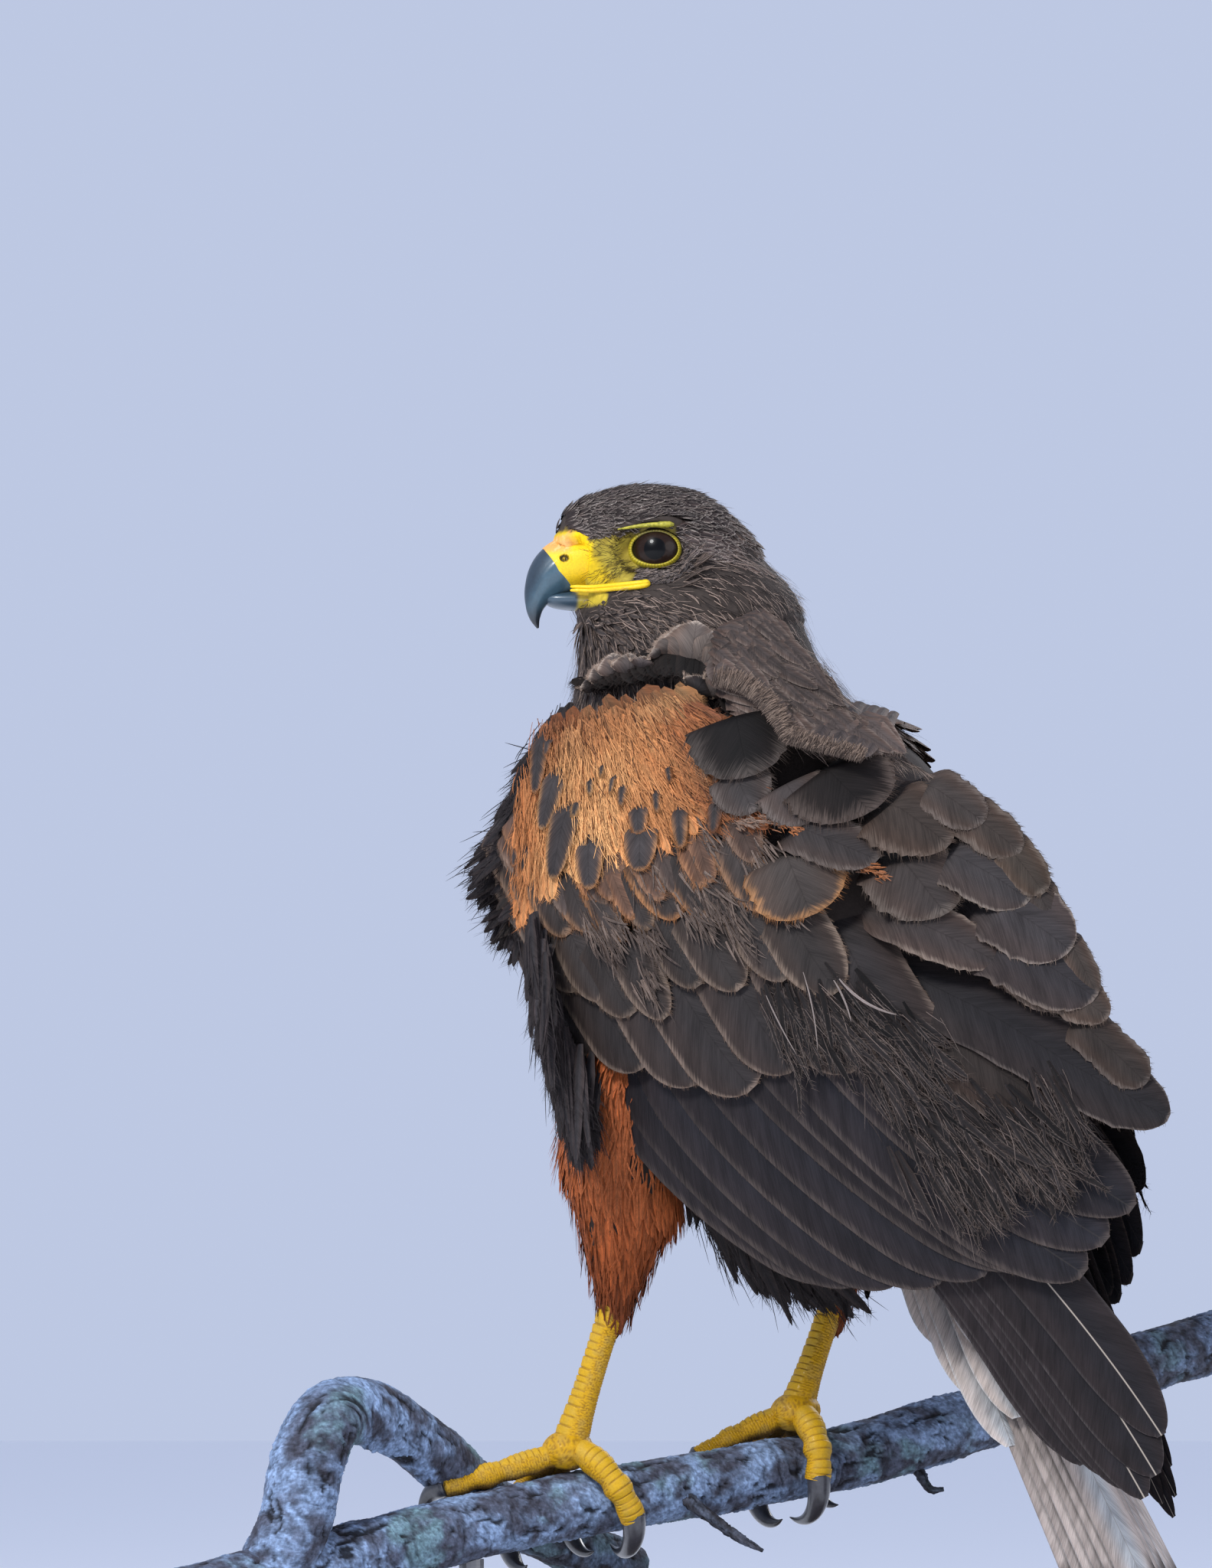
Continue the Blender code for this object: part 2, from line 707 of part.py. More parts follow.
def bark(rings, phase):
    """Swells and dents a branch's rings a little."""
    out = []
    for i, ring in enumerate(rings):
        middle = ring.mean(axis=0)
        turn = np.arange(len(ring)) * 2 * math.pi / len(ring)
        swell = 1 + 0.035 * np.sin(2 * turn + i * 0.9 + phase) + 0.03 * np.sin(3 * turn - i * 1.7)
        swell = swell * (1 + 0.04 * math.sin(i * 1.3 + phase))
        out.append(middle + (ring - middle) * swell[:, None])
    return out


def perch_body(name, extra=0.0):
    xs = np.linspace(PERCH_X[0], PERCH_X[-1], 22)
    centres = perch_middle(xs)
    radii = np.full(len(xs), PERCH_RADIUS)
    rings = bark(tube_rings(centres, radii, PERCH_SIDES, UP), 0.4)
    middles = [r.mean(axis=0) for r in rings]
    rings = [m + (r - m) * (1 + extra / PERCH_RADIUS) for m, r in zip(middles, rings)]
    return loft(name, rings)


def fork_body(name, extra=0.0):
    index = np.arange(len(FORK))
    places = np.array(FORK)
    steps = np.linspace(0, len(FORK) - 1, 15)
    centres = curve(steps, index, places) + np.array([0.0, 0.0, REST_Z])
    radii = curve(steps, index, np.array(FORK_RADII)) + extra
    return loft(name, bark(tube_rings(centres, radii, 10, [0.5, 0.85, 0.0]), 2.0))


def twig(name, path, radii):
    return loft(name, tube_rings(np.array(path), radii, 6, [0.3, 0.9, 0.1]))


def perch(name):
    pieces = [perch_body("perch_main"), fork_body("perch_fork")]
    base = perch_middle(-28.0)
    pieces.append(
        twig("perch_twig", [base + (0, -7, -2), base + (9, -14, -9), base + (19, -20, -16), base + (26, -24, -20)],
             (2.6, 2.0, 1.6, 1.2))
    )
    base = perch_middle(50.0)
    pieces.append(
        twig("perch_stub", [base + (0, -2, -8), base + (2, -3, -13), base + (5, -4, -17), base + (9, -5, -17)],
             (2.2, 1.6, 1.2, 0.9))
    )
    return fuse(name, pieces)


# Legs and feet. A foot's toes are (name, turn along the perch in degrees per mm of reach, reach).
LEGS = {
    "left": {
        "side": 1,
        "foot_x": -62.0,
        "thigh": (
            (-27.0, -30.0, 158.0, 25.0, 24.0),
            (-36.0, -31.0, 140.0, 25.0, 23.0),
            (-44.0, -32.0, 120.0, 22.5, 20.0),
            (-47.5, -32.0, 105.0, 20.4, 17.5),
            (-45.5, -31.0, 90.0, 19.0, 16.0),
            (-47.0, -30.0, 74.0, 13.6, 12.5),
            (-48.5, -29.0, 60.0, 8.4, 8.2),
            (-49.0, -29.0, 54.0, 5.8, 5.6),
        ),
        "ankle": (-48.8, -29.0, 60.0),
    },
    "right": {
        "side": -1,
        "foot_x": 12.0,
        "thigh": (
            (12.0, 26.0, 156.0, 25.0, 24.0),
            (14.0, 27.0, 138.0, 25.0, 23.0),
            (18.0, 27.0, 118.0, 22.5, 20.0),
            (21.0, 26.0, 102.0, 19.5, 17.5),
            (23.0, 26.0, 86.0, 16.0, 15.0),
            (23.5, 25.5, 71.0, 11.0, 10.5),
            (23.5, 25.0, 61.0, 7.4, 7.2),
            (23.4, 25.0, 55.0, 5.6, 5.4),
        ),
        "ankle": (23.4, 25.0, 61.0),
    },
}
TARSUS_RADIUS = 4.6
HUB_HEIGHT = 7.4
TOE_RADIUS = 4.3
TOE_SIDES = 7
CLAW_SIDES = 6

# Toes: angle about the perch at which the toe ends, shift along the perch there, toe radius,
# and the claw's length. Positive angles go over the far side.
TOES = {
    "left": {
        "hind": (-112.0, 11.0, 4.6, 25.0),
        "inner": (112.0, 3.0, 4.0, 20.0),
        "middle": (122.0, -17.0, 4.2, 19.0),
        "outer": (24.0, -37.0, 3.9, 16.0),
    },
    "right": {
        "hind": (-102.0, -4.0, 4.6, 24.0),
        "inner": (60.0, -26.0, 4.0, 20.0),
        "middle": (122.0, -9.0, 4.2, 19.0),
        "outer": (112.0, 10.0, 3.9, 16.0),
    },
}
CLAW_CURL = 62.0


def perch_frame(x):
    """Middle of the perch at x, its direction, the level direction to its far side, and up."""
    middle = perch_middle(x)
    along = unit(perch_middle(x + 1.0) - perch_middle(x - 1.0))
    far = unit(np.cross(UP, along))
    return middle, along, far, np.cross(along, far)


def cut_clear(obj, other, ways):
    """Cuts the other body from the object, and again where it would be if moved a gap each way."""
    for way in ways:
        cutter = copy_of(other, "cut")
        cutter.data.transform(Matrix.Translation(Vector(np.asarray(way, float) * GAP * MM)))
        boolean(obj, cutter, "DIFFERENCE", "MANIFOLD")


def thigh(name, leg, wing_body):
    rings = []
    rows = np.array(leg["thigh"])
    index = np.arange(len(rows))
    for u in np.linspace(0, len(rows) - 1, 11):
        x, y, z, wide, deep = curve(u, index, rows)
        turn = np.arange(12) * 2 * math.pi / 12
        rings.append(
            np.stack(
                [x + wide * np.cos(turn), y + deep * np.sin(turn), REST_Z + z + 0 * turn], axis=-1
            )
        )
    obj = loft(name, rings)
    boolean(obj, body_loft("trunk_cutter", TRUNK_GAP), "DIFFERENCE")
    cut_clear(obj, wing_body, (LEFT * -1.3 * leg["side"], LEFT * 0.0))
    keep_largest(obj)
    ankle, bottom, _ = tarsus_path(leg)
    shank = unit(ankle - bottom)
    boolean(obj, half_space(lerp(ankle, bottom, 0.16) + shank * GAP, -shank, 80.0), "DIFFERENCE")
    keep_largest(obj)
    return obj


def hub_place(leg):
    middle, along, far, up = perch_frame(leg["foot_x"])
    return middle + up * (PERCH_RADIUS + HUB_HEIGHT)


def tarsus_path(leg):
    ankle = np.array(leg["ankle"]) + (0, 0, REST_Z)
    hub = hub_place(leg)
    bottom = hub + unit(ankle - hub) * 5.0
    return ankle, bottom, hub


def tarsus(name, leg):
    ankle, bottom, _ = tarsus_path(leg)
    top = lerp(ankle, bottom, 0.16)
    path = [lerp(top, bottom, t) for t in np.linspace(0, 1, 7)]
    radii = [4.5, 4.3, 4.2, 4.3, 4.6, 5.1, 5.8]
    return loft(name, tube_rings(path, radii, 12, UP, 1.0))


def toe_path(leg, end_angle, shift, radius, x0, steps=8):
    """Middle line of a toe from the hub over the perch, and its radii with a swelling at each joint."""
    hub = hub_place(leg)
    points = [hub - (hub - perch_frame(x0)[0]) * 0.08]
    for t in np.linspace(0.18, 1, steps):
        middle, _, far, up = perch_frame(x0 + shift * t)
        angle = math.radians(end_angle) * t
        reach = PERCH_RADIUS + radius * (1.0 - 0.08 * t) + 0.4 + 3.0 * (1 - t) ** 2
        points.append(middle + reach * (far * math.sin(angle) + up * math.cos(angle)))
    t = np.linspace(0, 1, len(points))
    radii = radius * (1.02 - 0.16 * t + 0.10 * np.cos(t * 2 * math.pi * 3.2))
    return np.array(points), radii


def claw_path(leg, end_angle, shift, radius, length, x0, steps=7):
    """Middle line of a claw that goes on round the perch from its toe's end."""
    start_reach = PERCH_RADIUS + radius + 0.4
    turn = math.degrees(length / (PERCH_RADIUS + 5.0)) * math.copysign(1, end_angle)
    points = []
    for t in np.linspace(-0.06, 1, steps):
        middle, _, far, up = perch_frame(x0 + shift * (1 + 0.12 * t))
        angle = math.radians(end_angle + turn * t)
        reach = start_reach + 1.6 * math.sin(t * math.pi) + 0.2 * t
        points.append(middle + reach * (far * math.sin(angle) + up * math.cos(angle)))
    return np.array(points)


def foot(name, key, perch_cutter):
    leg = LEGS[key]
    _, bottom, hub = tarsus_path(leg)
    _, along, far, up = perch_frame(leg["foot_x"])
    pieces = [ball(name + "_hub", hub, (along, far, up), (8.6, 8.2, 6.4), 12, 8)]
    for toe, (angle, shift, radius, _) in TOES[key].items():
        path, radii = toe_path(leg, angle, shift, radius, leg["foot_x"])
        pieces.append(loft(f"{name}_{toe}", tube_rings(path, radii, TOE_SIDES, along, 0.92)))
    obj = fuse(name, pieces)
    boolean(obj, copy_of(perch_cutter, "cut"), "DIFFERENCE")
    shank = unit(tarsus_path(leg)[0] - hub)
    boolean(obj, half_space(bottom - shank * GAP, shank, 60.0), "DIFFERENCE")
    keep_largest(obj)
    return obj


def claw(name, key, toe, perch_cutter):
    leg = LEGS[key]
    angle, shift, radius, length = TOES[key][toe]
    path = claw_path(leg, angle, shift, radius, length, leg["foot_x"])
    radii = radius * np.array([0.74, 0.74, 0.66, 0.54, 0.4, 0.24, 0.06])
    _, along, _, _ = perch_frame(leg["foot_x"])
    obj = loft(name, tube_rings(path, radii, CLAW_SIDES, along, 1.05))
    toe_line, _ = toe_path(leg, angle, shift, radius, leg["foot_x"])
    ahead = unit(toe_line[-1] - toe_line[-2])
    boolean(obj, half_space(toe_line[-1] + ahead * GAP, -ahead, 16.0), "DIFFERENCE")
    boolean(obj, copy_of(perch_cutter, "cut"), "DIFFERENCE")
    return obj


# The stand


def stand_base(name):
    """A flat plate with round corners, turned to lie along the perch."""
    length, width, high = BASE_SIZE
    bm = bmesh.new()
    bmesh.ops.create_cube(bm, size=1.0)
    turn = math.atan(PERCH_SLOPE_Y)
    for v in bm.verts:
        x, y, z = v.co
        x, y, z = x * length, y * width, (z + 0.5) * high
        v.co = (
            (x * math.cos(turn) - y * math.sin(turn)) * MM,
            (x * math.sin(turn) + y * math.cos(turn)) * MM,
            z * MM,
        )
    uprights = [e for e in bm.edges if abs(e.verts[0].co.z - e.verts[1].co.z) > 0.5 * high * MM]
    bmesh.ops.bevel(
        bm, geom=uprights, offset=BASE_CORNER * MM, segments=6, affect="EDGES", profile=0.5
    )
    top_edges = [e for e in bm.edges if all(v.co.z > 0.99 * high * MM for v in e.verts)]
    bmesh.ops.bevel(bm, geom=top_edges, offset=2.0 * MM, segments=2, affect="EDGES", profile=0.5)
    mesh = bpy.data.meshes.new(name)
    bm.to_mesh(mesh)
    bm.free()
    obj = bpy.data.objects.new(name, mesh)
    bpy.context.scene.collection.objects.link(obj)
    return obj


def stand_rod(name, x, cutter):
    """An upright rod from the base's top into the underside of the perch."""
    middle = perch_middle(x)
    low = BASE_SIZE[2] + GAP
    high = middle[2]
    bm = bmesh.new()
    bmesh.ops.create_cone(
        bm, segments=16, radius1=ROD_RADIUS * MM, radius2=ROD_RADIUS * MM,
        depth=(high - low) * MM, cap_ends=True,
    )
    for v in bm.verts:
        v.co.x += middle[0] * MM
        v.co.y += middle[1] * MM
        v.co.z += (high + low) / 2 * MM
    mesh = bpy.data.meshes.new(name)
    bm.to_mesh(mesh)
    bm.free()
    obj = bpy.data.objects.new(name, mesh)
    bpy.context.scene.collection.objects.link(obj)
    boolean(obj, copy_of(cutter, "cut"), "DIFFERENCE")
    keep_largest(obj)
    return obj


# Finishes: base colour, roughness, metallic
FINISHES = {
    "plumage": ((0.075, 0.055, 0.045), 0.75, 0.0),
    "chestnut": ((0.32, 0.13, 0.05), 0.75, 0.0),
    "tail": ((0.09, 0.08, 0.08), 0.65, 0.0),
    "skin": ((0.85, 0.62, 0.04), 0.5, 0.0),
    "horn": ((0.09, 0.13, 0.17), 0.35, 0.0),
    "claw": ((0.03, 0.03, 0.035), 0.3, 0.0),
    "eye": ((0.03, 0.015, 0.01), 0.05, 0.0),
    "bark": ((0.33, 0.34, 0.36), 0.85, 0.0),
    "stand_wood": ((0.07, 0.045, 0.03), 0.5, 0.0),
    "stand_metal": ((0.1, 0.1, 0.1), 0.4, 0.9),
}


def finish(obj, kind):
    material = bpy.data.materials.get(kind)
    if material is None:
        colour, roughness, metallic = FINISHES[kind]
        material = bpy.data.materials.new(kind)
        material.use_nodes = True
        shader = material.node_tree.nodes["Principled BSDF"]
        shader.inputs["Base Color"].default_value = (*colour, 1.0)
        shader.inputs["Roughness"].default_value = roughness
        shader.inputs["Metallic"].default_value = metallic
    obj.data.materials.clear()
    obj.data.materials.append(material)
    group = bpy.data.collections[COLLECTION]
    for owner in list(obj.users_collection):
        owner.objects.unlink(obj)
    group.objects.link(obj)
    obj.data.shade_smooth()
    obj.data.set_sharp_from_angle(angle=math.radians(35.0))


# Where the trunk is parted: a place and the direction up through the cut
NECK_CUT = (bird(172.0, -6.0, 0.0), unit(SPINE + UP * 0.2))
HEAD_CUT = (np.array([-28.0, 4.0, REST_Z + 278.0]), unit([-0.2, 0.0, 1.0]))


def trunk_nodes():
    """Torso, neck and head, parted from one body by thin cuts."""
    whole = fuse("trunk", [body_loft("trunk"), head_loft("skull")])
    neck_at, neck_way = NECK_CUT
    head_at, head_way = HEAD_CUT
    torso = copy_of(whole, "torso")
    boolean(torso, half_space(neck_at, neck_way), "DIFFERENCE")
    neck = copy_of(whole, "neck")
    boolean(neck, half_space(neck_at + neck_way * GAP, -neck_way), "DIFFERENCE")
    boolean(neck, half_space(head_at, head_way), "DIFFERENCE")
    boolean(whole, half_space(head_at + head_way * GAP, -head_way), "DIFFERENCE")
    pieces = [whole]
    for side, word in ((1, "left"), (-1, "right")):
        pieces.append(brow("brow_" + word, side))
        pieces.append(lid_ring("lid_" + word, side))
        pieces.append(gape_lip("lip_" + word, side))
    skull = fuse("head", pieces)
    boolean(skull, bill_loft("cut", BILL_ROWS, GAP), "DIFFERENCE")
    boolean(skull, bill_loft("cut", LOWER_BILL_ROWS, GAP, 10), "DIFFERENCE")
    for side in (1, -1):
        boolean(skull, eye_ball("cut", side, GAP), "DIFFERENCE")
    for obj in (torso, neck, skull):
        keep_largest(obj)
    finish(torso, "plumage")
    finish(neck, "plumage")
    finish(skull, "plumage")


def bill_nodes():
    at = curve(CERE_ROW, np.arange(len(BILL_ROWS)), np.array(BILL_ROWS))
    place = head(at[0], 0.0, at[1])
    way = unit(HEAD_FORWARD * 0.94 - UP * 0.34)
    cere = bill_loft("cere", BILL_ROWS)
    boolean(cere, half_space(place, way, 120.0), "DIFFERENCE")
    upper = bill_loft("bill_upper", BILL_ROWS)
    boolean(upper, half_space(place + way * GAP, -way, 120.0), "DIFFERENCE")
    lower = bill_loft("bill_lower", LOWER_BILL_ROWS, 0.0, 10)
    for side, word in ((1, "left"), (-1, "right")):
        hole = ball("cut", head(36.2, side * 9.0, -0.6), (HEAD_FORWARD, HEAD_LEFT, UP),
                    (1.7, 2.6, 1.4), 10, 6)
        boolean(cere, hole, "DIFFERENCE")
        eye = eye_ball("eye_" + word, side)
        finish(eye, "eye")
    cutter = bill_loft("cut", BILL_ROWS, GAP)
    boolean(lower, cutter, "DIFFERENCE")
    for obj in (cere, upper, lower):
        keep_largest(obj)
    finish(cere, "skin")
    finish(upper, "horn")
    finish(lower, "horn")


def main():
    for obj in list(bpy.data.objects):
        bpy.data.objects.remove(obj)
    group = bpy.data.collections.new(COLLECTION)
    bpy.context.scene.collection.children.link(group)

    trunk_nodes()
    bill_nodes()
    wings = {"left": wing("wing_left", 1), "right": wing("wing_right", -1)}
    finish(wings["left"], "plumage")
    finish(wings["right"], "plumage")
    finish(tail("tail"), "tail")

    cutter = fuse("perch_cutter", [perch_body("cut", GAP), fork_body("cut_fork", GAP)])
    for key, leg in LEGS.items():
        finish(thigh("thigh_" + key, leg, wings[key]), "chestnut")
        finish(tarsus("tarsus_" + key, leg), "skin")
        finish(foot("foot_" + key, key, cutter), "skin")
        for toe in TOES[key]:
            finish(claw(f"claw_{key}_{toe}", key, toe, cutter), "claw")
    finish(perch("perch"), "bark")
    finish(stand_base("stand_base"), "stand_wood")
    for x, word in zip(ROD_X, ("left", "right")):
        finish(stand_rod("stand_rod_" + word, x, cutter), "stand_metal")
    remove(cutter)


main()
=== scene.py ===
"""The looks of the harris hawk on its branch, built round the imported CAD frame.

Shapes are worked out in millimetres in the frame's own axes and written in metres. The body's forms
repeat the part's own rows of sizes, so that skin and feathers lie where the solids do.
"""

import math

import bpy
import numpy as np
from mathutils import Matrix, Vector
from mathutils.bvhtree import BVHTree


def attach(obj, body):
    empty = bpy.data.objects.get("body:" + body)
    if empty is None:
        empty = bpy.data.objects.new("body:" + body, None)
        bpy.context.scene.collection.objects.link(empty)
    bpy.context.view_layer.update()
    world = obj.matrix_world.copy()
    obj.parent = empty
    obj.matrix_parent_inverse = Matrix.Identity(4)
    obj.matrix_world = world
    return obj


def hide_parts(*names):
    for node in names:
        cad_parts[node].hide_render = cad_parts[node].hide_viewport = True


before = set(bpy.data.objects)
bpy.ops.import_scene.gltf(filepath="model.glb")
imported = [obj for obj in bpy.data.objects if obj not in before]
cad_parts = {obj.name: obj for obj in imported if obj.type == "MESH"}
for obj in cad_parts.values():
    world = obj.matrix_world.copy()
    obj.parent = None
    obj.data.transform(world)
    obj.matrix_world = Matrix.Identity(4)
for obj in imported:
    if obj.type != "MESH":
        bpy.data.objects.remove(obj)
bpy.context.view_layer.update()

MM = 0.001
REST_Z = 138.0
HEADING_AWAY = math.radians(25.0)
BODY_RISE = math.radians(62.7)
TAIL_ROOT = np.array([58.8, -35.0, REST_Z + 92.5])
HEAD_CENTRE = np.array([-30.2, 4.0, REST_Z + 301.0])
HEAD_TURN = math.radians(10.0)
TAIL_TWIST = math.radians(15.0)
rng = np.random.default_rng(20261127)


def unit(v):
    v = np.asarray(v, float)
    return v / np.maximum(np.linalg.norm(v, axis=-1, keepdims=True), 1e-9)


def smooth(t):
    t = np.clip(t, 0.0, 1.0)
    return t * t * (3.0 - 2.0 * t)


def lerp(a, b, t):
    return np.asarray(a, float) * (1.0 - t) + np.asarray(b, float) * t


def curve(x, xs, ys):
    """A smooth curve through the points (xs, ys), rising xs, flat past the ends."""
    xs = np.asarray(xs, float)
    ys = np.asarray(ys, float)
    x = np.clip(np.asarray(x, float), xs[0], xs[-1])
    slopes = np.gradient(ys, xs, axis=0)
    k = np.clip(np.searchsorted(xs, x, side="right") - 1, 0, len(xs) - 2)
    h = xs[k + 1] - xs[k]
    t = (x - xs[k]) / h
    if ys.ndim > 1:
        t = np.asarray(t)[..., None]
        h = np.asarray(h)[..., None]
    return (
        (2 * t**3 - 3 * t**2 + 1) * ys[k]
        + (t**3 - 2 * t**2 + t) * h * slopes[k]
        + (-2 * t**3 + 3 * t**2) * ys[k + 1]
        + (t**3 - t**2) * h * slopes[k + 1]
    )


def noise(p, seed=0):
    """Smooth noise from -1 to 1 at the points p."""
    p = np.asarray(p, float)
    cell = np.floor(p).astype(np.int64)
    f = p - cell
    f = f * f * (3 - 2 * f)
    total = 0.0
    for dx in (0, 1):
        for dy in (0, 1):
            for dz in (0, 1):
                q = cell + (dx, dy, dz)
                key = (q[..., 0] * 73856093) ^ (q[..., 1] * 19349663) ^ (q[..., 2] * 83492791)
                key = (key ^ (seed * 2654435761)) & 0xFFFFFFFF
                key = ((key ^ (key >> 15)) * 2246822519) & 0xFFFFFFFF
                key = ((key ^ (key >> 13)) * 3266489917) & 0xFFFFFFFF
                value = ((key >> 8) & 0xFFFF) / 32767.5 - 1.0
                wx = f[..., 0] if dx else 1 - f[..., 0]
                wy = f[..., 1] if dy else 1 - f[..., 1]
                wz = f[..., 2] if dz else 1 - f[..., 2]
                total = total + value * wx * wy * wz
    return total


def layered(p, octaves=4, seed=0):
    """Noise in several layers, each about half as large and as coarse as the one before."""
    total, size = 0.0, 1.0
    p = np.asarray(p, float)
    for k in range(octaves):
        total = total + noise(p, seed + k) * size
        p = p * 2.03 + 11.7
        size *= 0.5
    return total


def srgb(r, g, b):
    """A screen colour from 0 to 255 as light."""
    c = np.array([r, g, b], float) / 255.0
    return np.where(c <= 0.04045, c / 12.92, ((c + 0.055) / 1.055) ** 2.4)


# The bird's own axes, as in the solids
SPINE = np.array(
    [
        -math.cos(HEADING_AWAY) * math.cos(BODY_RISE),
        math.sin(HEADING_AWAY) * math.cos(BODY_RISE),
        math.sin(BODY_RISE),
    ]
)
LEFT = np.array([-math.sin(HEADING_AWAY), -math.cos(HEADING_AWAY), 0.0])
BACK = np.cross(SPINE, LEFT)
HEAD_FORWARD = np.array([-math.cos(HEAD_TURN), -math.sin(HEAD_TURN), 0.0])
UP = np.array([0.0, 0.0, 1.0])
HEAD_LEFT = np.cross(UP, HEAD_FORWARD)


def bird(s, d, l):
    s, d, l = (np.asarray(v, float)[..., None] for v in (s, d, l))
    return TAIL_ROOT + s * SPINE + d * BACK + l * LEFT


def head(f, l, u):
    f, l, u = (np.asarray(v, float)[..., None] for v in (f, l, u))
    return HEAD_CENTRE + f * HEAD_FORWARD + l * HEAD_LEFT + u * UP


def head_coords(p):
    q = np.asarray(p, float) - HEAD_CENTRE
    return q @ HEAD_FORWARD, q @ HEAD_LEFT, q @ UP


# The camera. IMAGE_SCALE is how many points of the image a slope of one takes up.
CAMERA_RISE = math.radians(-4.0)
CAMERA_DISTANCE = 2600.0
IMAGE_MIDDLE = (791.5, 1024.0)
IMAGE_HEIGHT = 2048.0
IMAGE_SCALE = 10400.0
SENSOR = 36.0
CAMERA_AIM = np.array([-52.1, 0.0, REST_Z + 226.5])
LOOK = np.array([0.0, math.cos(CAMERA_RISE), -math.sin(CAMERA_RISE)])
LOOK_UP = np.cross([1.0, 0.0, 0.0], LOOK)
CAMERA_PLACE = CAMERA_AIM - LOOK * CAMERA_DISTANCE

# The trunk: how far up the spine, the middle's shift to the back, and the reach to the back,
# the belly and the side
TORSO_ROWS = (
    (-20.0, 2.0, 9.0, 10.0, 14.0),
    (-6.0, -1.0, 22.0, 23.0, 28.0),
    (12.0, -4.0, 36.0, 37.0, 42.0),
    (35.0, -6.0, 50.0, 52.0, 53.0),
    (62.0, -7.0, 60.0, 63.0, 59.0),
    (92.0, -8.0, 66.0, 68.0, 61.0),
    (122.0, -9.0, 66.0, 71.0, 59.0),
    (148.0, -9.0, 58.0, 68.0, 53.0),
    (168.0, -7.0, 49.0, 58.0, 46.0),
)
# The neck: the middle's place, the same reaches, and how far it turns with the head
NECK_ROWS = (
    (-20.0, 1.0, 257.0, 41.0, 45.0, 40.0, 0.25),
    (-23.0, 2.0, 271.0, 38.0, 40.0, 36.0, 0.5),
    (-26.0, 3.0, 285.0, 36.0, 37.0, 31.0, 0.75),
    (-27.0, 4.0, 298.0, 29.0, 30.0, 24.0, 1.0),
    (-27.0, 4.0, 309.0, 15.0, 16.0, 13.0, 1.0),
)
ROWS = np.array(
    [(*bird(s, m, 0.0), back, belly, wide, 0.0) for s, m, back, belly, wide in TORSO_ROWS]
    + [(x, y, REST_Z + z, back, belly, wide, turn) for x, y, z, back, belly, wide, turn in NECK_ROWS]
)
ROW_INDEX = np.arange(len(ROWS))


def trunk_point(u, a):
    """A place on the trunk at row number u and angle a from the back round to the bird's left."""
    u = np.asarray(u, float)
    x = curve(u, ROW_INDEX, ROWS)
    ahead = curve(np.minimum(u + 0.05, ROW_INDEX[-1]), ROW_INDEX, ROWS)
    behind = curve(np.maximum(u - 0.05, 0.0), ROW_INDEX, ROWS)
    along = unit(ahead[..., :3] - behind[..., :3])
    left = LEFT * (1 - x[..., 6:7]) + HEAD_LEFT * x[..., 6:7]
    left = unit(left - along * (left * along).sum(-1, keepdims=True))
    back = np.cross(along, left)
    c, s = np.cos(a), np.sin(a)
    deep = np.where(c > 0, x[..., 3], x[..., 4])
    return x[..., :3] + (deep * c)[..., None] * back + (x[..., 5] * s)[..., None] * left, along


HEAD_ROWS = np.array(
    (
        (-31.0, -3.0, 4.0, 4.0, 5.0),
        (-26.0, -2.0, 13.0, 13.0, 14.0),
        (-17.0, -1.0, 18.8, 18.0, 20.0),
        (-6.0, 0.0, 22.4, 20.0, 23.0),
        (6.0, 0.0, 23.8, 20.0, 22.0),
        (16.0, 0.0, 23.4, 19.0, 20.0),
        (25.0, -1.0, 22.4, 17.0, 16.6),
        (32.0, -3.0, 21.4, 14.0, 13.4),
        (37.0, -4.0, 17.6, 12.5, 11.0),
        (40.0, -5.0, 9.0, 10.0, 8.6),
    )
)
HEAD_INDEX = np.arange(len(HEAD_ROWS))


def head_point(v, a):
    row = curve(v, HEAD_INDEX, HEAD_ROWS)
    c, s = np.cos(a), np.sin(a)
    high = row[..., 1] + np.where(c > 0, row[..., 2], row[..., 3]) * c
    return head(row[..., 0], row[..., 4] * s, high)


BILL_ROWS = np.array(
    (
        (27.0, -1.6, 9.4, 10.4),
        (33.0, -2.0, 9.3, 9.8),
        (38.5, -3.9, 8.6, 8.6),
        (42.6, -7.6, 7.4, 7.2),
        (45.6, -12.2, 5.2, 5.2),
        (47.0, -16.6, 3.2, 3.4),
        (47.0, -20.4, 1.8, 2.0),
        (46.0, -23.8, 0.35, 0.4),
    )
)
# Where the cere meets the horn, in u and f
CERE_EDGE = ((-12.0, -10.5, -5.6, 1.3, 4.0), (33.2, 34.3, 39.2, 43.0, 43.8))
LOWER_BILL_ROWS = np.array(
    (
        (14.0, -14.0, 3.4, 8.6),
        (26.0, -14.6, 3.6, 8.6),
        (34.0, -14.6, 3.3, 7.4),
        (40.0, -14.4, 2.7, 5.6),
        (43.6, -14.0, 1.2, 3.0),
    )
)
EYE_RADIUS = 9.0
EYE_PLACE = (7.6, 15.4, 1.0)

# The wings
WING_REACH_S = (-140.0, -85.0, -40.0, 0.0, 35.0, 65.0, 95.0, 125.0, 155.0, 180.0, 200.0)
WING_REACH_L = (31.0, 34.0, 43.0, 55.0, 64.0, 68.0, 68.0, 64.0, 56.0, 48.0, 40.0)
WING_ACROSS_D = (-100.0, -60.0, -8.0, 20.0, 42.0, 62.0, 82.0, 105.0)
WING_ACROSS = (0.45, 0.84, 1.0, 0.95, 0.79, 0.55, 0.36, 0.24)
FAR_WING_S = (-120.0, -60.0, -10.0, 40.0, 80.0, 120.0)
FAR_WING_PULL = (0.48, 0.44, 0.30, 0.27, 0.29, 0.30)


def wing_reach(s, d):
    return curve(s, WING_REACH_S, WING_REACH_L) * curve(d, WING_ACROSS_D, WING_ACROSS)


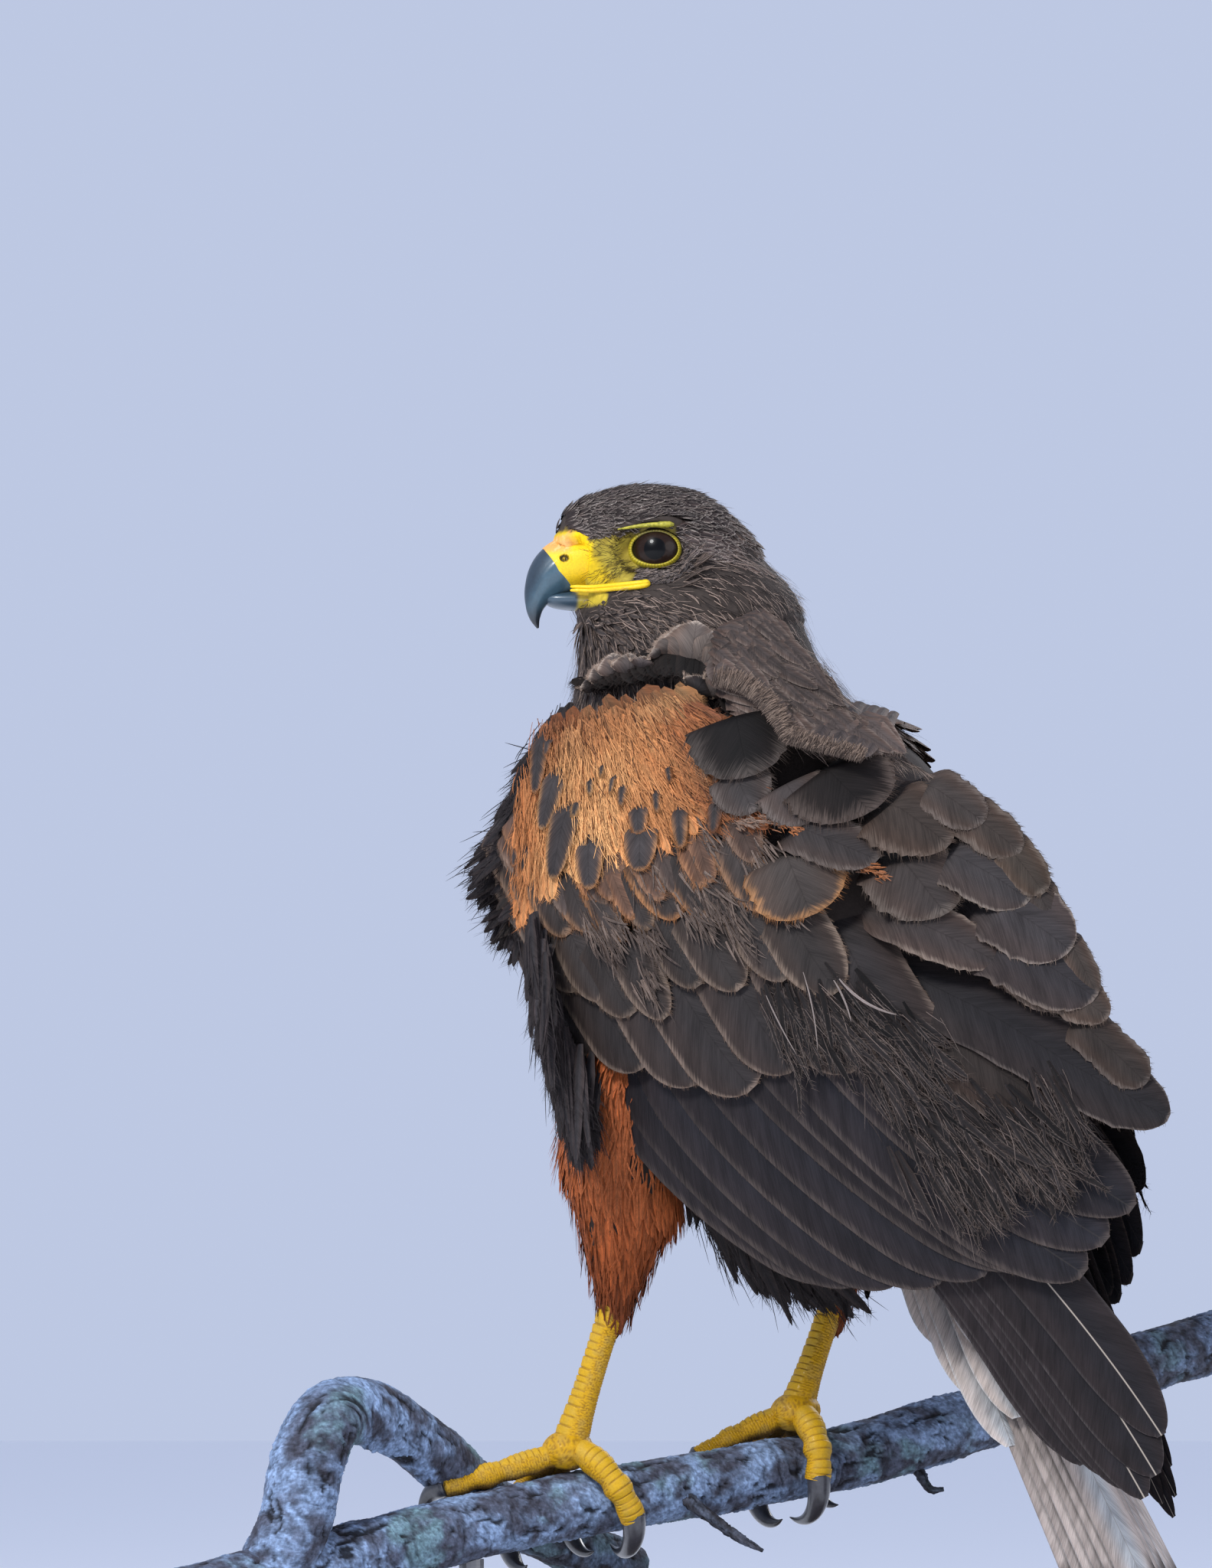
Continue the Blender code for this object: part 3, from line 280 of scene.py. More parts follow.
def wing_point(side, s, d, h):
    """A place on one wing's surface, raised by h, and the way out of the surface."""
    step = 1.0
    s = np.asarray(s, float)
    d = np.asarray(d, float)
    if side < 0:
        d = d - curve(s, FAR_WING_S, FAR_WING_PULL) * np.maximum(d + 8.0, 0.0)
    here = bird(s, d, side * wing_reach(s, d))
    up = bird(s + step, d, side * wing_reach(s + step, d)) - here
    back = bird(s, d + step, side * wing_reach(s, d + step)) - here
    normal = unit(np.cross(back, up) * side)
    return here + normal * np.asarray(h, float)[..., None], normal


# The tail
TAIL_BACK = unit(BACK * math.cos(TAIL_TWIST) + LEFT * math.sin(TAIL_TWIST))
TAIL_LEFT = np.cross(TAIL_BACK, SPINE)
TAIL_LENGTH = 226.0
TAIL_ROOF = 0.006


def tail_point(q, c, h):
    q, c, h = (np.asarray(v, float)[..., None] for v in (q, c, h))
    return TAIL_ROOT + SPINE * (8.0 - q) + TAIL_LEFT * c + TAIL_BACK * (h - TAIL_ROOF * c * c)


# Meshes


def mesh_object(name, points, faces, material, colours=None, vectors=None, uvs=None):
    """An object from points in millimetres and faces of one size, with values given per point."""
    points = np.ascontiguousarray(points, dtype=np.float64)
    faces = np.ascontiguousarray(faces, dtype=np.int32)
    mesh = bpy.data.meshes.new(name)
    mesh.vertices.add(len(points))
    mesh.vertices.foreach_set("co", (points * MM).astype(np.float32).ravel())
    count, size = faces.shape
    mesh.loops.add(count * size)
    mesh.loops.foreach_set("vertex_index", faces.ravel())
    mesh.polygons.add(count)
    mesh.polygons.foreach_set("loop_start", np.arange(0, count * size, size, dtype=np.int32))
    mesh.update(calc_edges=True)
    for key, value in (colours or {}).items():
        layer = mesh.attributes.new(key, "FLOAT_COLOR", "POINT")
        full = np.ones((len(points), 4), np.float32)
        full[:, :3] = value
        layer.data.foreach_set("color", full.ravel())
    for key, value in (vectors or {}).items():
        layer = mesh.attributes.new(key, "FLOAT_VECTOR", "POINT")
        layer.data.foreach_set("vector", np.asarray(value, np.float32).ravel())
    for key, value in (uvs or {}).items():
        layer = mesh.uv_layers.new(name=key)
        layer.data.foreach_set("uv", np.asarray(value, np.float32)[faces.ravel()].ravel())
    mesh.validate()
    mesh.shade_smooth()
    mesh.materials.append(material)
    obj = bpy.data.objects.new(name, mesh)
    bpy.context.scene.collection.objects.link(obj)
    return obj


def grid_faces(rows, columns, closed=False, start=0):
    """Quads over a grid of points held row by row. closed joins the last column to the first."""
    i = np.arange(rows - 1)[:, None]
    j = np.arange(columns if closed else columns - 1)[None, :]
    k = (j + 1) % columns
    a = start + i * columns + j
    b = start + i * columns + k
    return np.stack([a, b, b + columns, a + columns], axis=-1).reshape(-1, 4)


def tube(rings):
    """Points and quads of a closed tube of rings with pinched ends."""
    rings = np.asarray(rings, float)
    first = rings[0].mean(axis=0) + (rings[0] - rings[0].mean(axis=0)) * 0.02
    last = rings[-1].mean(axis=0) + (rings[-1] - rings[-1].mean(axis=0)) * 0.02
    rings = np.concatenate([first[None], rings, last[None]])
    rows, columns = rings.shape[:2]
    return rings.reshape(-1, 3), grid_faces(rows, columns, True)


def with_caps(paint):
    """The colours of a tube's rings and of its two pinched ends."""
    return np.concatenate([paint[:1], paint, paint[-1:]]).reshape(-1, 3)


def join_parts(parts):
    """One list of points and faces from several."""
    points, faces, start = [], [], 0
    for p, f in parts:
        points.append(p)
        faces.append(f + start)
        start += len(p)
    return np.concatenate(points), np.concatenate(faces)


def path_reach(path):
    """How far along a path each of its points is."""
    return np.concatenate([[0], np.cumsum(np.linalg.norm(np.diff(path, axis=0), axis=1))])


def path_frames(centres, hint):
    """Tangents and two square directions along a path, the first near the hint."""
    centres = np.asarray(centres, float)
    tangents = unit(np.gradient(centres, axis=0))
    side = np.broadcast_to(np.asarray(hint, float), centres.shape)
    side = unit(side - tangents * (side * tangents).sum(-1, keepdims=True))
    return tangents, side, np.cross(tangents, side)


def round_path(centres, radii, hint, sides, flatten=1.0, shape=None):
    """Rings round a path. shape(ring share, angle) scales the radius."""
    _, first, other = path_frames(centres, hint)
    turn = np.arange(sides) * 2 * math.pi / sides
    radius = np.asarray(radii, float)[:, None] * np.ones(sides)
    if shape is not None:
        share = np.linspace(0, 1, len(centres))[:, None]
        radius = radius * shape(share, turn[None, :])
    return (
        np.asarray(centres)[:, None]
        + (radius * np.cos(turn))[..., None] * first[:, None]
        + (radius * flatten * np.sin(turn))[..., None] * other[:, None]
    )


def resample(path, values, count):
    """A path and its values at evenly spaced places along it."""
    path = np.asarray(path, float)
    reach = path_reach(path)
    places = np.linspace(0, reach[-1], count)
    return curve(places, reach, path), curve(places, reach, np.asarray(values, float)), places


# Materials


def new_material(name):
    material = bpy.data.materials.new(name)
    material.use_nodes = True
    tree = material.node_tree
    shader = tree.nodes["Principled BSDF"]
    return material, tree, shader


def link(tree, value, socket):
    if isinstance(value, bpy.types.NodeSocket):
        tree.links.new(value, socket)
    else:
        socket.default_value = value


def math_node(tree, operation, a, b=0.0, clamp=False):
    node = tree.nodes.new("ShaderNodeMath")
    node.operation = operation
    node.use_clamp = clamp
    link(tree, a, node.inputs[0])
    link(tree, b, node.inputs[1])
    return node.outputs[0]


def ramp(tree, value, low, high, to_low=0.0, to_high=1.0):
    node = tree.nodes.new("ShaderNodeMapRange")
    node.interpolation_type = "SMOOTHSTEP"
    link(tree, value, node.inputs["Value"])
    link(tree, low, node.inputs["From Min"])
    link(tree, high, node.inputs["From Max"])
    link(tree, to_low, node.inputs["To Min"])
    link(tree, to_high, node.inputs["To Max"])
    return node.outputs["Result"]


def mix(tree, factor, a, b, blend="MIX"):
    node = tree.nodes.new("ShaderNodeMix")
    node.data_type = "RGBA"
    node.blend_type = blend
    link(tree, factor, node.inputs[0])
    for value, socket in ((a, node.inputs[6]), (b, node.inputs[7])):
        if not isinstance(value, bpy.types.NodeSocket):
            value = (*[float(v) for v in value][:3], 1.0)
        link(tree, value, socket)
    return node.outputs[2]


def attribute(tree, name):
    node = tree.nodes.new("ShaderNodeAttribute")
    node.attribute_name = name
    return node


def noise_node(tree, vector, scale, detail=3.0, roughness=0.55):
    node = tree.nodes.new("ShaderNodeTexNoise")
    if vector is not None:
        link(tree, vector, node.inputs["Vector"])
    node.inputs["Scale"].default_value = scale
    node.inputs["Detail"].default_value = detail
    node.inputs["Roughness"].default_value = roughness
    return node.outputs["Fac"]


def combine(tree, x, y, z):
    node = tree.nodes.new("ShaderNodeCombineXYZ")
    link(tree, x, node.inputs[0])
    link(tree, y, node.inputs[1])
    link(tree, z, node.inputs[2])
    return node.outputs[0]


def split(tree, vector):
    node = tree.nodes.new("ShaderNodeSeparateXYZ")
    link(tree, vector, node.inputs[0])
    return node.outputs


def bump(tree, shader, height, strength, distance):
    node = tree.nodes.new("ShaderNodeBump")
    node.inputs["Strength"].default_value = strength
    node.inputs["Distance"].default_value = distance
    link(tree, height, node.inputs["Height"])
    tree.links.new(node.outputs[0], shader.inputs["Normal"])


def object_place(tree):
    return tree.nodes.new("ShaderNodeTexCoord").outputs["Object"]


def feather_material():
    """Barbs, shaft and rim drawn from each feather's own measures."""
    material, tree, shader = new_material("feather")
    x, t, seed = split(tree, attribute(tree, "place").outputs["Vector"])
    u, v, shaft = split(tree, attribute(tree, "size").outputs["Vector"])
    side_share, tip_share, strength = split(tree, attribute(tree, "rim").outputs["Vector"])
    core = attribute(tree, "core_colour").outputs["Color"]
    rim = attribute(tree, "rim_colour").outputs["Color"]
    across = math_node(tree, "ABSOLUTE", x)
    out = math_node(tree, "ABSOLUTE", u)
    sweep = math_node(tree, "SUBTRACT", v, math_node(tree, "MULTIPLY", out, 1.25))
    barbs = combine(
        tree,
        math_node(tree, "MULTIPLY", sweep, 1.9),
        math_node(tree, "MULTIPLY", out, 0.22),
        math_node(tree, "MULTIPLY", seed, 91.0),
    )
    streak = noise_node(tree, barbs, 1.0, 3.0, 0.62)
    coarse = combine(
        tree,
        math_node(tree, "MULTIPLY", sweep, 0.22),
        math_node(tree, "MULTIPLY", x, 0.9),
        math_node(tree, "MULTIPLY", seed, 37.0),
    )
    cloud = noise_node(tree, coarse, 1.0, 2.0, 0.5)
    wobble = math_node(tree, "MULTIPLY", math_node(tree, "SUBTRACT", streak, 0.5), 1.3)
    side_low = math_node(tree, "SUBTRACT", 1.0, side_share)
    tip_low = math_node(tree, "SUBTRACT", 1.0, tip_share)
    near_side = math_node(tree, "ADD", across, math_node(tree, "MULTIPLY", wobble, side_share))
    near_tip = math_node(tree, "ADD", t, math_node(tree, "MULTIPLY", wobble, tip_share))
    edge = math_node(
        tree,
        "MULTIPLY",
        ramp(tree, near_side, side_low, 1.0),
        ramp(tree, t, 0.15, 0.6),
    )
    edge = math_node(tree, "MAXIMUM", edge, ramp(tree, near_tip, tip_low, 1.0))
    edge = math_node(tree, "MULTIPLY", math_node(tree, "POWER", edge, 1.3), strength, True)
    warm = math_node(tree, "MULTIPLY", ramp(tree, across, 0.15, 0.9), 0.85)
    tinted = mix(tree, 1.0, core, (1.42, 1.16, 1.0), "MULTIPLY")
    colour = mix(tree, edge, mix(tree, warm, core, tinted), rim)
    light = math_node(tree, "ADD", ramp(tree, streak, 0.28, 0.72, 0.76, 1.24),
                      ramp(tree, cloud, 0.25, 0.75, -0.2, 0.2))
    colour = mix(tree, 1.0, colour, combine(tree, light, light, light), "MULTIPLY")
    quill = math_node(tree, "SUBTRACT", 1.0, ramp(tree, out, 0.08, 0.32))
    quill = math_node(tree, "MULTIPLY", quill, ramp(tree, shaft, 0.0, 0.5, 0.3, 0.75))
    pale = mix(tree, shaft, mix(tree, 1.0, colour, (0.35, 0.33, 0.33), "MULTIPLY"), (0.42, 0.36, 0.3))
    colour = mix(tree, quill, colour, pale)
    tree.links.new(colour, shader.inputs["Base Color"])
    shader.inputs["Roughness"].default_value = 0.66
    shader.inputs["Specular IOR Level"].default_value = 0.12
    height = math_node(tree, "ADD", streak, math_node(tree, "MULTIPLY", quill, 0.8))
    bump(tree, shader, height, 0.35, 0.0004)
    return material


def painted_material(name, roughness, specular=0.4, grain=900.0, depth=0.25, coat=0.0, vary=0.12):
    """Colour carried by the mesh's own points, with a fine grain."""
    material, tree, shader = new_material(name)
    base = attribute(tree, "paint").outputs["Color"]
    place = object_place(tree)
    fine = noise_node(tree, place, grain, 4.0, 0.6)
    light = ramp(tree, fine, 0.25, 0.75, 1.0 - vary, 1.0 + vary)
    colour = mix(tree, 1.0, base, combine(tree, light, light, light), "MULTIPLY")
    tree.links.new(colour, shader.inputs["Base Color"])
    shader.inputs["Roughness"].default_value = roughness
    shader.inputs["Specular IOR Level"].default_value = specular
    shader.inputs["Coat Weight"].default_value = coat
    shader.inputs["Coat Roughness"].default_value = 0.12
    bump(tree, shader, fine, depth, 0.0003)
    return material


FEATHER = feather_material()
SKIN = painted_material("skin_under_coat", 0.85, 0.15, 700.0, 0.3)
LEG_SKIN = painted_material("leg_skin", 0.6, 0.22, 1500.0, 0.3, 0.05, 0.1)
FACE_SKIN = painted_material("face_skin", 0.5, 0.4, 1800.0, 0.35, 0.08, 0.12)
HORN = painted_material("bill_horn", 0.36, 0.5, 1300.0, 0.12, 0.25, 0.1)
CLAW = painted_material("claw_horn", 0.32, 0.5, 1300.0, 0.15, 0.3, 0.15)
BARK = painted_material("bark", 0.9, 0.2, 1100.0, 0.9, 0.0, 0.28)

# Places of the coat's pieces on the bake map, OFBake
CHARTS = {
    "head": (0.01, 0.01, 0.30, 0.30),
    "trunk": (0.33, 0.01, 0.38, 0.46),
    "wing_left": (0.01, 0.50, 0.36, 0.48),
    "wing_right": (0.38, 0.50, 0.36, 0.48),
    "tail": (0.76, 0.50, 0.22, 0.48),
    "thigh_left": (0.73, 0.01, 0.12, 0.46),
    "thigh_right": (0.86, 0.01, 0.12, 0.46),
    "face": (0.01, 0.33, 0.30, 0.14),
}


def chart(name, a, b):
    x, y, w, h = CHARTS[name]
    a = np.clip(np.asarray(a, float), 0, 1)
    b = np.clip(np.asarray(b, float), 0, 1)
    return np.stack([x + w * a, y + h * b], axis=-1)


def trunk_bake(p):
    """The place on the trunk's unwrap of a root at p."""
    q = np.asarray(p, float) - TAIL_ROOT
    turn = np.arctan2(q @ LEFT, q @ BACK) / (2 * math.pi) % 1.0
    return chart("trunk", (q @ SPINE + 30.0) / 280.0, turn)


def other_side(p):
    """The same place on the bird's other side."""
    p = np.asarray(p, float)
    return p - 2 * ((p - TAIL_ROOT) @ LEFT)[..., None] * LEFT


# Colours
DARK_BROWN = srgb(66, 57, 53)
HEAD_BROWN = srgb(76, 67, 62)
YELLOW = srgb(230, 192, 22)


def feather_shape(t, base=0.45, tip_start=0.55, least=0.16):
    """The share of a feather's half width at the share t of its length."""
    rise = base + (1 - base) * smooth(t / 0.3)
    fall = np.sqrt(np.clip(1 - (np.clip(t - tip_start, 0, 1) / (1 - tip_start)) ** 2, 0, 1))
    return rise * np.maximum(fall, least)


def feather_rows(count):
    return 1 - (1 - np.linspace(0, 1, count)) ** 1.5


def lay_feathers(p, n, f, length, width, lift, curl, camber=0.25, bend=0.0, rows=7, columns=5,
                 base=0.45, tip_start=0.55, least=0.16, ragged=0.0):
    """Feathers that grow from p along f, over the surface whose way out is n.

    lift is the angle at the root, curl the further turn up to the tip, bend the turn to one side.
    """
    count = len(p)
    t = feather_rows(rows)
    x = np.linspace(-1, 1, columns)
    lift, curl, bend, camber = (np.broadcast_to(v, count).astype(float) for v in (lift, curl, bend, camber))
    f = unit(f - n * (f * n).sum(-1, keepdims=True))
    side = np.cross(f, n)
    fine = np.linspace(0, 1, 41)
    angle = lift[:, None] + curl[:, None] * fine**1.4
    turn = bend[:, None] * fine
    along = np.cos(angle) * np.cos(turn)
    aside = np.cos(angle) * np.sin(turn)
    rise = np.sin(angle)
    step = np.diff(fine, prepend=0)
    reach = [np.cumsum(v * step, axis=1) for v in (along, aside, rise)]
    middle = [np.stack([np.interp(t, fine, row) for row in v]) for v in reach]
    slope = [np.stack([np.interp(t, fine, row) for row in v]) for v in (along, aside, rise)]
    length = np.broadcast_to(length, count).astype(float)
    width = np.broadcast_to(width, count).astype(float)
    centre = p[:, None] + length[:, None, None] * (
        middle[0][..., None] * f[:, None] + middle[1][..., None] * side[:, None]
        + middle[2][..., None] * n[:, None]
    )
    way = unit(slope[0][..., None] * f[:, None] + slope[1][..., None] * side[:, None]
               + slope[2][..., None] * n[:, None])
    up = unit(n[:, None] - way * (way * n[:, None]).sum(-1, keepdims=True))
    across = np.cross(way, up)
    share = feather_shape(t, base, tip_start, least)
    half = width[:, None] * share
    if ragged:
        half = half * (1 + ragged * rng.normal(size=half.shape) * (t > 0.3))
    drop = camber[:, None] * half
    points = (
        centre[:, :, None]
        + (half[:, :, None] * x)[..., None] * across[:, :, None]
        - (drop[:, :, None] * x**2)[..., None] * up[:, :, None]
    )
    return {"points": points, "t": t, "x": x, "half": half, "length": length, "width": width}


def dress(batch, core, rim, rim_mm=0.8, strength=1.0, shaft=0.0, bake=None):
    """Adds its colours to a batch of feathers."""
    count = len(batch["points"])
    core, rim = np.asarray(core, float), np.asarray(rim, float)
    batch["core"] = core if core.ndim == 4 else np.broadcast_to(core, (count, 3))
    batch["rim_colour"] = rim if rim.ndim == 4 else np.broadcast_to(rim, (count, 3))
    batch["rim_mm"] = np.broadcast_to(rim_mm, count).astype(float)
    batch["strength"] = np.broadcast_to(strength, count).astype(float)
    batch["shaft"] = np.broadcast_to(shaft, count).astype(float)
    batch["bake"] = bake
    batch["seed"] = rng.random(count)
    return batch


def loose_barbs(batch, each, reach, start=0.25, thick=0.1, spread=0.14, pale=1.0):
    """Barb ends that stand past the edges of a batch's feathers."""
    p = batch["points"]
    count, rows, columns = p.shape[:3]
    r = (start + (1 - start) * rng.random((count, each))) * (rows - 1)
    i = np.minimum(r.astype(int), rows - 2)
    w = (r - i)[..., None]
    left = rng.random((count, each)) < 0.5
    edge = np.where(left, 0, columns - 1)
    inner = np.where(left, 1, columns - 2)
    one = np.arange(count)[:, None]
    base = p[one, i, edge] * (1 - w) + p[one, i + 1, edge] * w
    within = p[one, i, inner] * (1 - w) + p[one, i + 1, inner] * w
    out = unit(base - within)
    middle = columns // 2
    axis = unit(p[one, i + 1, middle] - p[one, i, middle])
    normal = unit(np.cross(axis, out)) * np.where(left, -1.0, 1.0)[..., None]
    way = unit(0.62 * out + 0.8 * axis + spread * rng.normal(size=base.shape))
    wide = unit(np.cross(way, normal)) * thick
    length = reach * (0.35 + 0.75 * rng.random((count, each)))
    steps = np.array([-0.5, 0.3, 1.0])
    curl = -0.12 * np.array([0.0, 0.3, 1.0])
    centre = (
        base[:, :, None]
        + way[:, :, None] * (length[..., None] * steps)[..., None]
        + normal[:, :, None] * (0.12 + length[..., None] * curl)[..., None]
    )
    share = np.array([1.0, 0.8, 0.15])
    x = np.array([-1.0, 1.0])
    points = centre[:, :, :, None] + wide[:, :, None, None] * (share[:, None] * x)[None, None, :, :, None]
    total = count * each
    colour = np.repeat(batch["rim_colour"], each, axis=0) if batch["rim_colour"].ndim == 2 else None
    if colour is None:
        colour = np.repeat(batch["rim_colour"][:, -1, 0], each, axis=0)
    colour = np.clip(colour * pale * (0.7 + 0.4 * rng.random((total, 1))), 0, 0.95)
    return {
        "points": points.reshape(total, 3, 2, 3),
        "t": np.array([0.0, 0.5, 1.0]),
        "x": x,
        "half": np.broadcast_to(thick * share, (total, 3)) * 6.0,
        "length": np.full(total, float(reach)),
        "width": np.full(total, 1.0),
        "core": colour,
        "rim_colour": colour,
        "rim_mm": np.full(total, 0.1),
        "strength": np.full(total, 0.2),
        "shaft": np.zeros(total),
        "bake": np.repeat(batch["bake"], each, axis=0),
        "seed": rng.random(total),
    }


def free_feathers(roots, tips, facing, half, sag=0.0, curl=0.0, camber=0.2, rows=18, columns=9, base=0.45,
                  tip_start=0.5, least=0.12):
    """Feathers between given places, whose upper sides face one way and that bulge and curl to it."""
    roots, tips = np.asarray(roots, float), np.asarray(tips, float)
    count = len(roots)
    facing = np.broadcast_to(unit(facing), roots.shape)
    half, sag, curl = (np.broadcast_to(v, count).astype(float) for v in (half, sag, curl))
    t = feather_rows(rows)
    x = np.linspace(-1, 1, columns)
    tt = t[None, :, None]
    rise = sag[:, None] * 4 * t * (1 - t) + curl[:, None] * t**3
    centre = roots[:, None] * (1 - tt) + tips[:, None] * tt + facing[:, None] * rise[..., None]
    way = unit(np.gradient(centre, t, axis=1))
    across = unit(np.cross(way, facing[:, None]))
    up = np.cross(across, way)
    share = feather_shape(t, base, tip_start, least)
    wide = half[:, None] * share
    points = (
        centre[:, :, None]
        + (wide[:, :, None] * x)[..., None] * across[:, :, None]
        - (camber * wide[:, :, None] * x**2)[..., None] * up[:, :, None]
    )
    return {"points": points, "t": t, "x": x, "half": wide, "length": np.linalg.norm(tips - roots, axis=1),
            "width": half}


def coat_object(name, batches):
    """One mesh from batches of feathers."""
    points, faces, place, size, rim, core, rim_colour, uv = [], [], [], [], [], [], [], []
    start = 0
    for b in batches:
        p = b["points"]
        count, rows, columns = p.shape[:3]
        if count == 0:
            continue
        grid = grid_faces(rows, columns)
        whole = (start + np.arange(count)[:, None, None] * rows * columns + grid[None]).reshape(-1, 4)
        faces.append(whole)
        points.append(p.reshape(-1, 3))
        start += count * rows * columns
        t = np.broadcast_to(b["t"][None, :, None], (count, rows, columns))
        x = np.broadcast_to(b["x"][None, None, :], (count, rows, columns))

        def each(v):
            return np.broadcast_to(v[:, None, None], (count, rows, columns))

        place.append(np.stack([x, t, each(b["seed"])], axis=-1).reshape(-1, 3))
        u = b["half"][:, :, None] * x
        size.append(np.stack([u, t * each(b["length"]), each(b["shaft"])], axis=-1).reshape(-1, 3))
        rim.append(
            np.stack(
                [
                    np.clip(each(b["rim_mm"] / b["width"]), 0.01, 0.9),
                    np.clip(each(b["rim_mm"] / b["length"]), 0.01, 0.9),
                    each(b["strength"]),
                ],
                axis=-1,
            ).reshape(-1, 3)
        )
        for store, key in ((core, "core"), (rim_colour, "rim_colour")):
            values = b[key] if b[key].ndim == 4 else b[key][:, None, None, :]
            store.append(np.broadcast_to(values, (count, rows, columns, 3)).reshape(-1, 3))
        patch = np.stack([x * 0.0014, (t - 0.5) * 0.0028], axis=-1)
        uv.append((b["bake"][:, None, None, :] + patch).reshape(-1, 2))
    obj = mesh_object(
        name,
        np.concatenate(points),
        np.concatenate(faces),
        FEATHER,
        colours={"core_colour": np.concatenate(core), "rim_colour": np.concatenate(rim_colour)},
        vectors={"place": np.concatenate(place), "size": np.concatenate(size), "rim": np.concatenate(rim)},
        uvs={"OFBake": np.concatenate(uv)},
    )
    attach(obj, "root")
    return obj


def vary(colour, count, amount=0.08):
    """A colour for each of several feathers, a little lighter or darker."""
    shade = 1 + amount * rng.normal(size=(count, 1))
    return np.clip(np.broadcast_to(colour, (count, 3)) * shade, 0.002, 0.95)


# The skin: one closed body under the coat


LEGS = {
    "left": {
        "side": 1,
        "foot_x": -62.0,
        "thigh": (
            (-27.0, -30.0, 158.0, 25.0, 24.0),
            (-36.0, -31.0, 140.0, 25.0, 23.0),
            (-44.0, -32.0, 120.0, 22.5, 20.0),
            (-47.5, -32.0, 105.0, 20.4, 17.5),
            (-45.5, -31.0, 90.0, 19.0, 16.0),
            (-47.0, -30.0, 74.0, 13.6, 12.5),
            (-48.5, -29.0, 60.0, 8.4, 8.2),
            (-49.0, -29.0, 54.0, 5.8, 5.6),
        ),
        "ankle": (-48.8, -29.0, 60.0),
    },
    "right": {
        "side": -1,
        "foot_x": 12.0,
        "thigh": (
            (12.0, 26.0, 156.0, 25.0, 24.0),
            (14.0, 27.0, 138.0, 25.0, 23.0),
            (18.0, 27.0, 118.0, 22.5, 20.0),
            (21.0, 26.0, 102.0, 19.5, 17.5),
            (23.0, 26.0, 86.0, 16.0, 15.0),
            (23.5, 25.5, 71.0, 11.0, 10.5),
            (23.5, 25.0, 61.0, 7.4, 7.2),
            (23.4, 25.0, 55.0, 5.6, 5.4),
        ),
        "ankle": (23.4, 25.0, 61.0),
    },
}


def thigh_point(leg, v, a):
    rows = np.array(leg["thigh"])
    row = curve(v, np.arange(len(rows)), rows)
    return np.stack(
        [row[..., 0] + row[..., 3] * np.cos(a), row[..., 1] + row[..., 4] * np.sin(a), REST_Z + row[..., 2]],
        axis=-1,
    )


def skin_forms():
    turn = np.arange(40) * 2 * math.pi / 40
    parts = []
    rings = [trunk_point(np.full(40, u), turn)[0] for u in np.linspace(0, len(ROWS) - 1, 60)]
    parts.append(tube(rings))
    rings = [head_point(np.full(40, v), turn) for v in np.linspace(0, len(HEAD_ROWS) - 1, 40)]
    parts.append(tube(rings))
    for leg in LEGS.values():
        count = len(leg["thigh"]) - 1
        rings = [thigh_point(leg, np.full(40, v), turn) for v in np.linspace(0, count, 40)]
        parts.append(tube(rings))
    for side in (1, -1):
        path = [head(23.0, side * 13.4, 6.0), head(15.0, side * 18.6, 8.4), head(7.0, side * 21.4, 9.6),
                head(-2.0, side * 20.6, 9.4)]
        centres, radii, _ = resample(path, (1.6, 3.0, 3.2, 1.8), 14)
        parts.append(tube(round_path(centres, radii, UP, 12)))
        rows = []
        for x in np.linspace(-0.98, 0.98, 24):
            r = math.sqrt(1 - x * x)
            ring = np.arange(28) * 2 * math.pi / 28
            s = 124.0 + 58.0 * x
            d = -12.0 + 60.0 * r * np.cos(ring) - 16.0 * x
            h = np.where(np.sin(ring) > 0, 6.0, 13.0) * r * np.sin(ring)
            rows.append(wing_point(side, np.full(28, s), d, h)[0])
        parts.append(tube(rows))
    rows = []
    for x in np.linspace(-0.98, 0.98, 16):
        r = math.sqrt(1 - x * x)
        ring = np.arange(20) * 2 * math.pi / 20
        centre = bird(-10.0, -3.0, 0.0) + SPINE * 34.0 * x
        rows.append(
            centre + (19.0 * r * np.cos(ring))[:, None] * TAIL_LEFT
            + (15.0 * r * np.sin(ring))[:, None] * TAIL_BACK
        )
    parts.append(tube(rows))
    return join_parts(parts)


def apply_modifiers(obj):
    graph = bpy.context.evaluated_depsgraph_get()
    mesh = bpy.data.meshes.new_from_object(obj.evaluated_get(graph))
    old = obj.data
    obj.modifiers.clear()
    obj.data = mesh
    bpy.data.meshes.remove(old)


def mesh_arrays(obj):
    mesh = obj.data
    points = np.empty(len(mesh.vertices) * 3)
    mesh.vertices.foreach_get("co", points)
    normals = np.empty(len(mesh.vertices) * 3)
    mesh.vertices.foreach_get("normal", normals)
    return points.reshape(-1, 3) / MM, normals.reshape(-1, 3)


def lore_mask(p):
    """How far a place on the head lies in the bare skin before the eye, from 0 to 1."""
    f, _, u = head_coords(p)
    ragged = 0.9 * layered(np.asarray(p) * 0.5, 3, 41)
    top = np.interp(f, (8.0, 14.0, 20.5, 26.0, 30.0, 32.5, 34.0),
                    (8.4, 8.0, 7.1, 5.9, 4.6, 6.2, 8.2)) + 0.6 * ragged
    low = np.interp(f, (6.0, 12.0, 20.0, 28.0, 40.0), (-7.5, -10.0, -11.4, -11.8, -12.0))
    rear = np.interp(u, (-10.0, -6.0, 0.0, 3.5, 5.5), (17.5, 14.5, 13.0, 12.0, 2.0)) + ragged
    return smooth((f - rear) / 2.5) * smooth((top - u) / 1.6) * smooth((u - low) / 1.2)


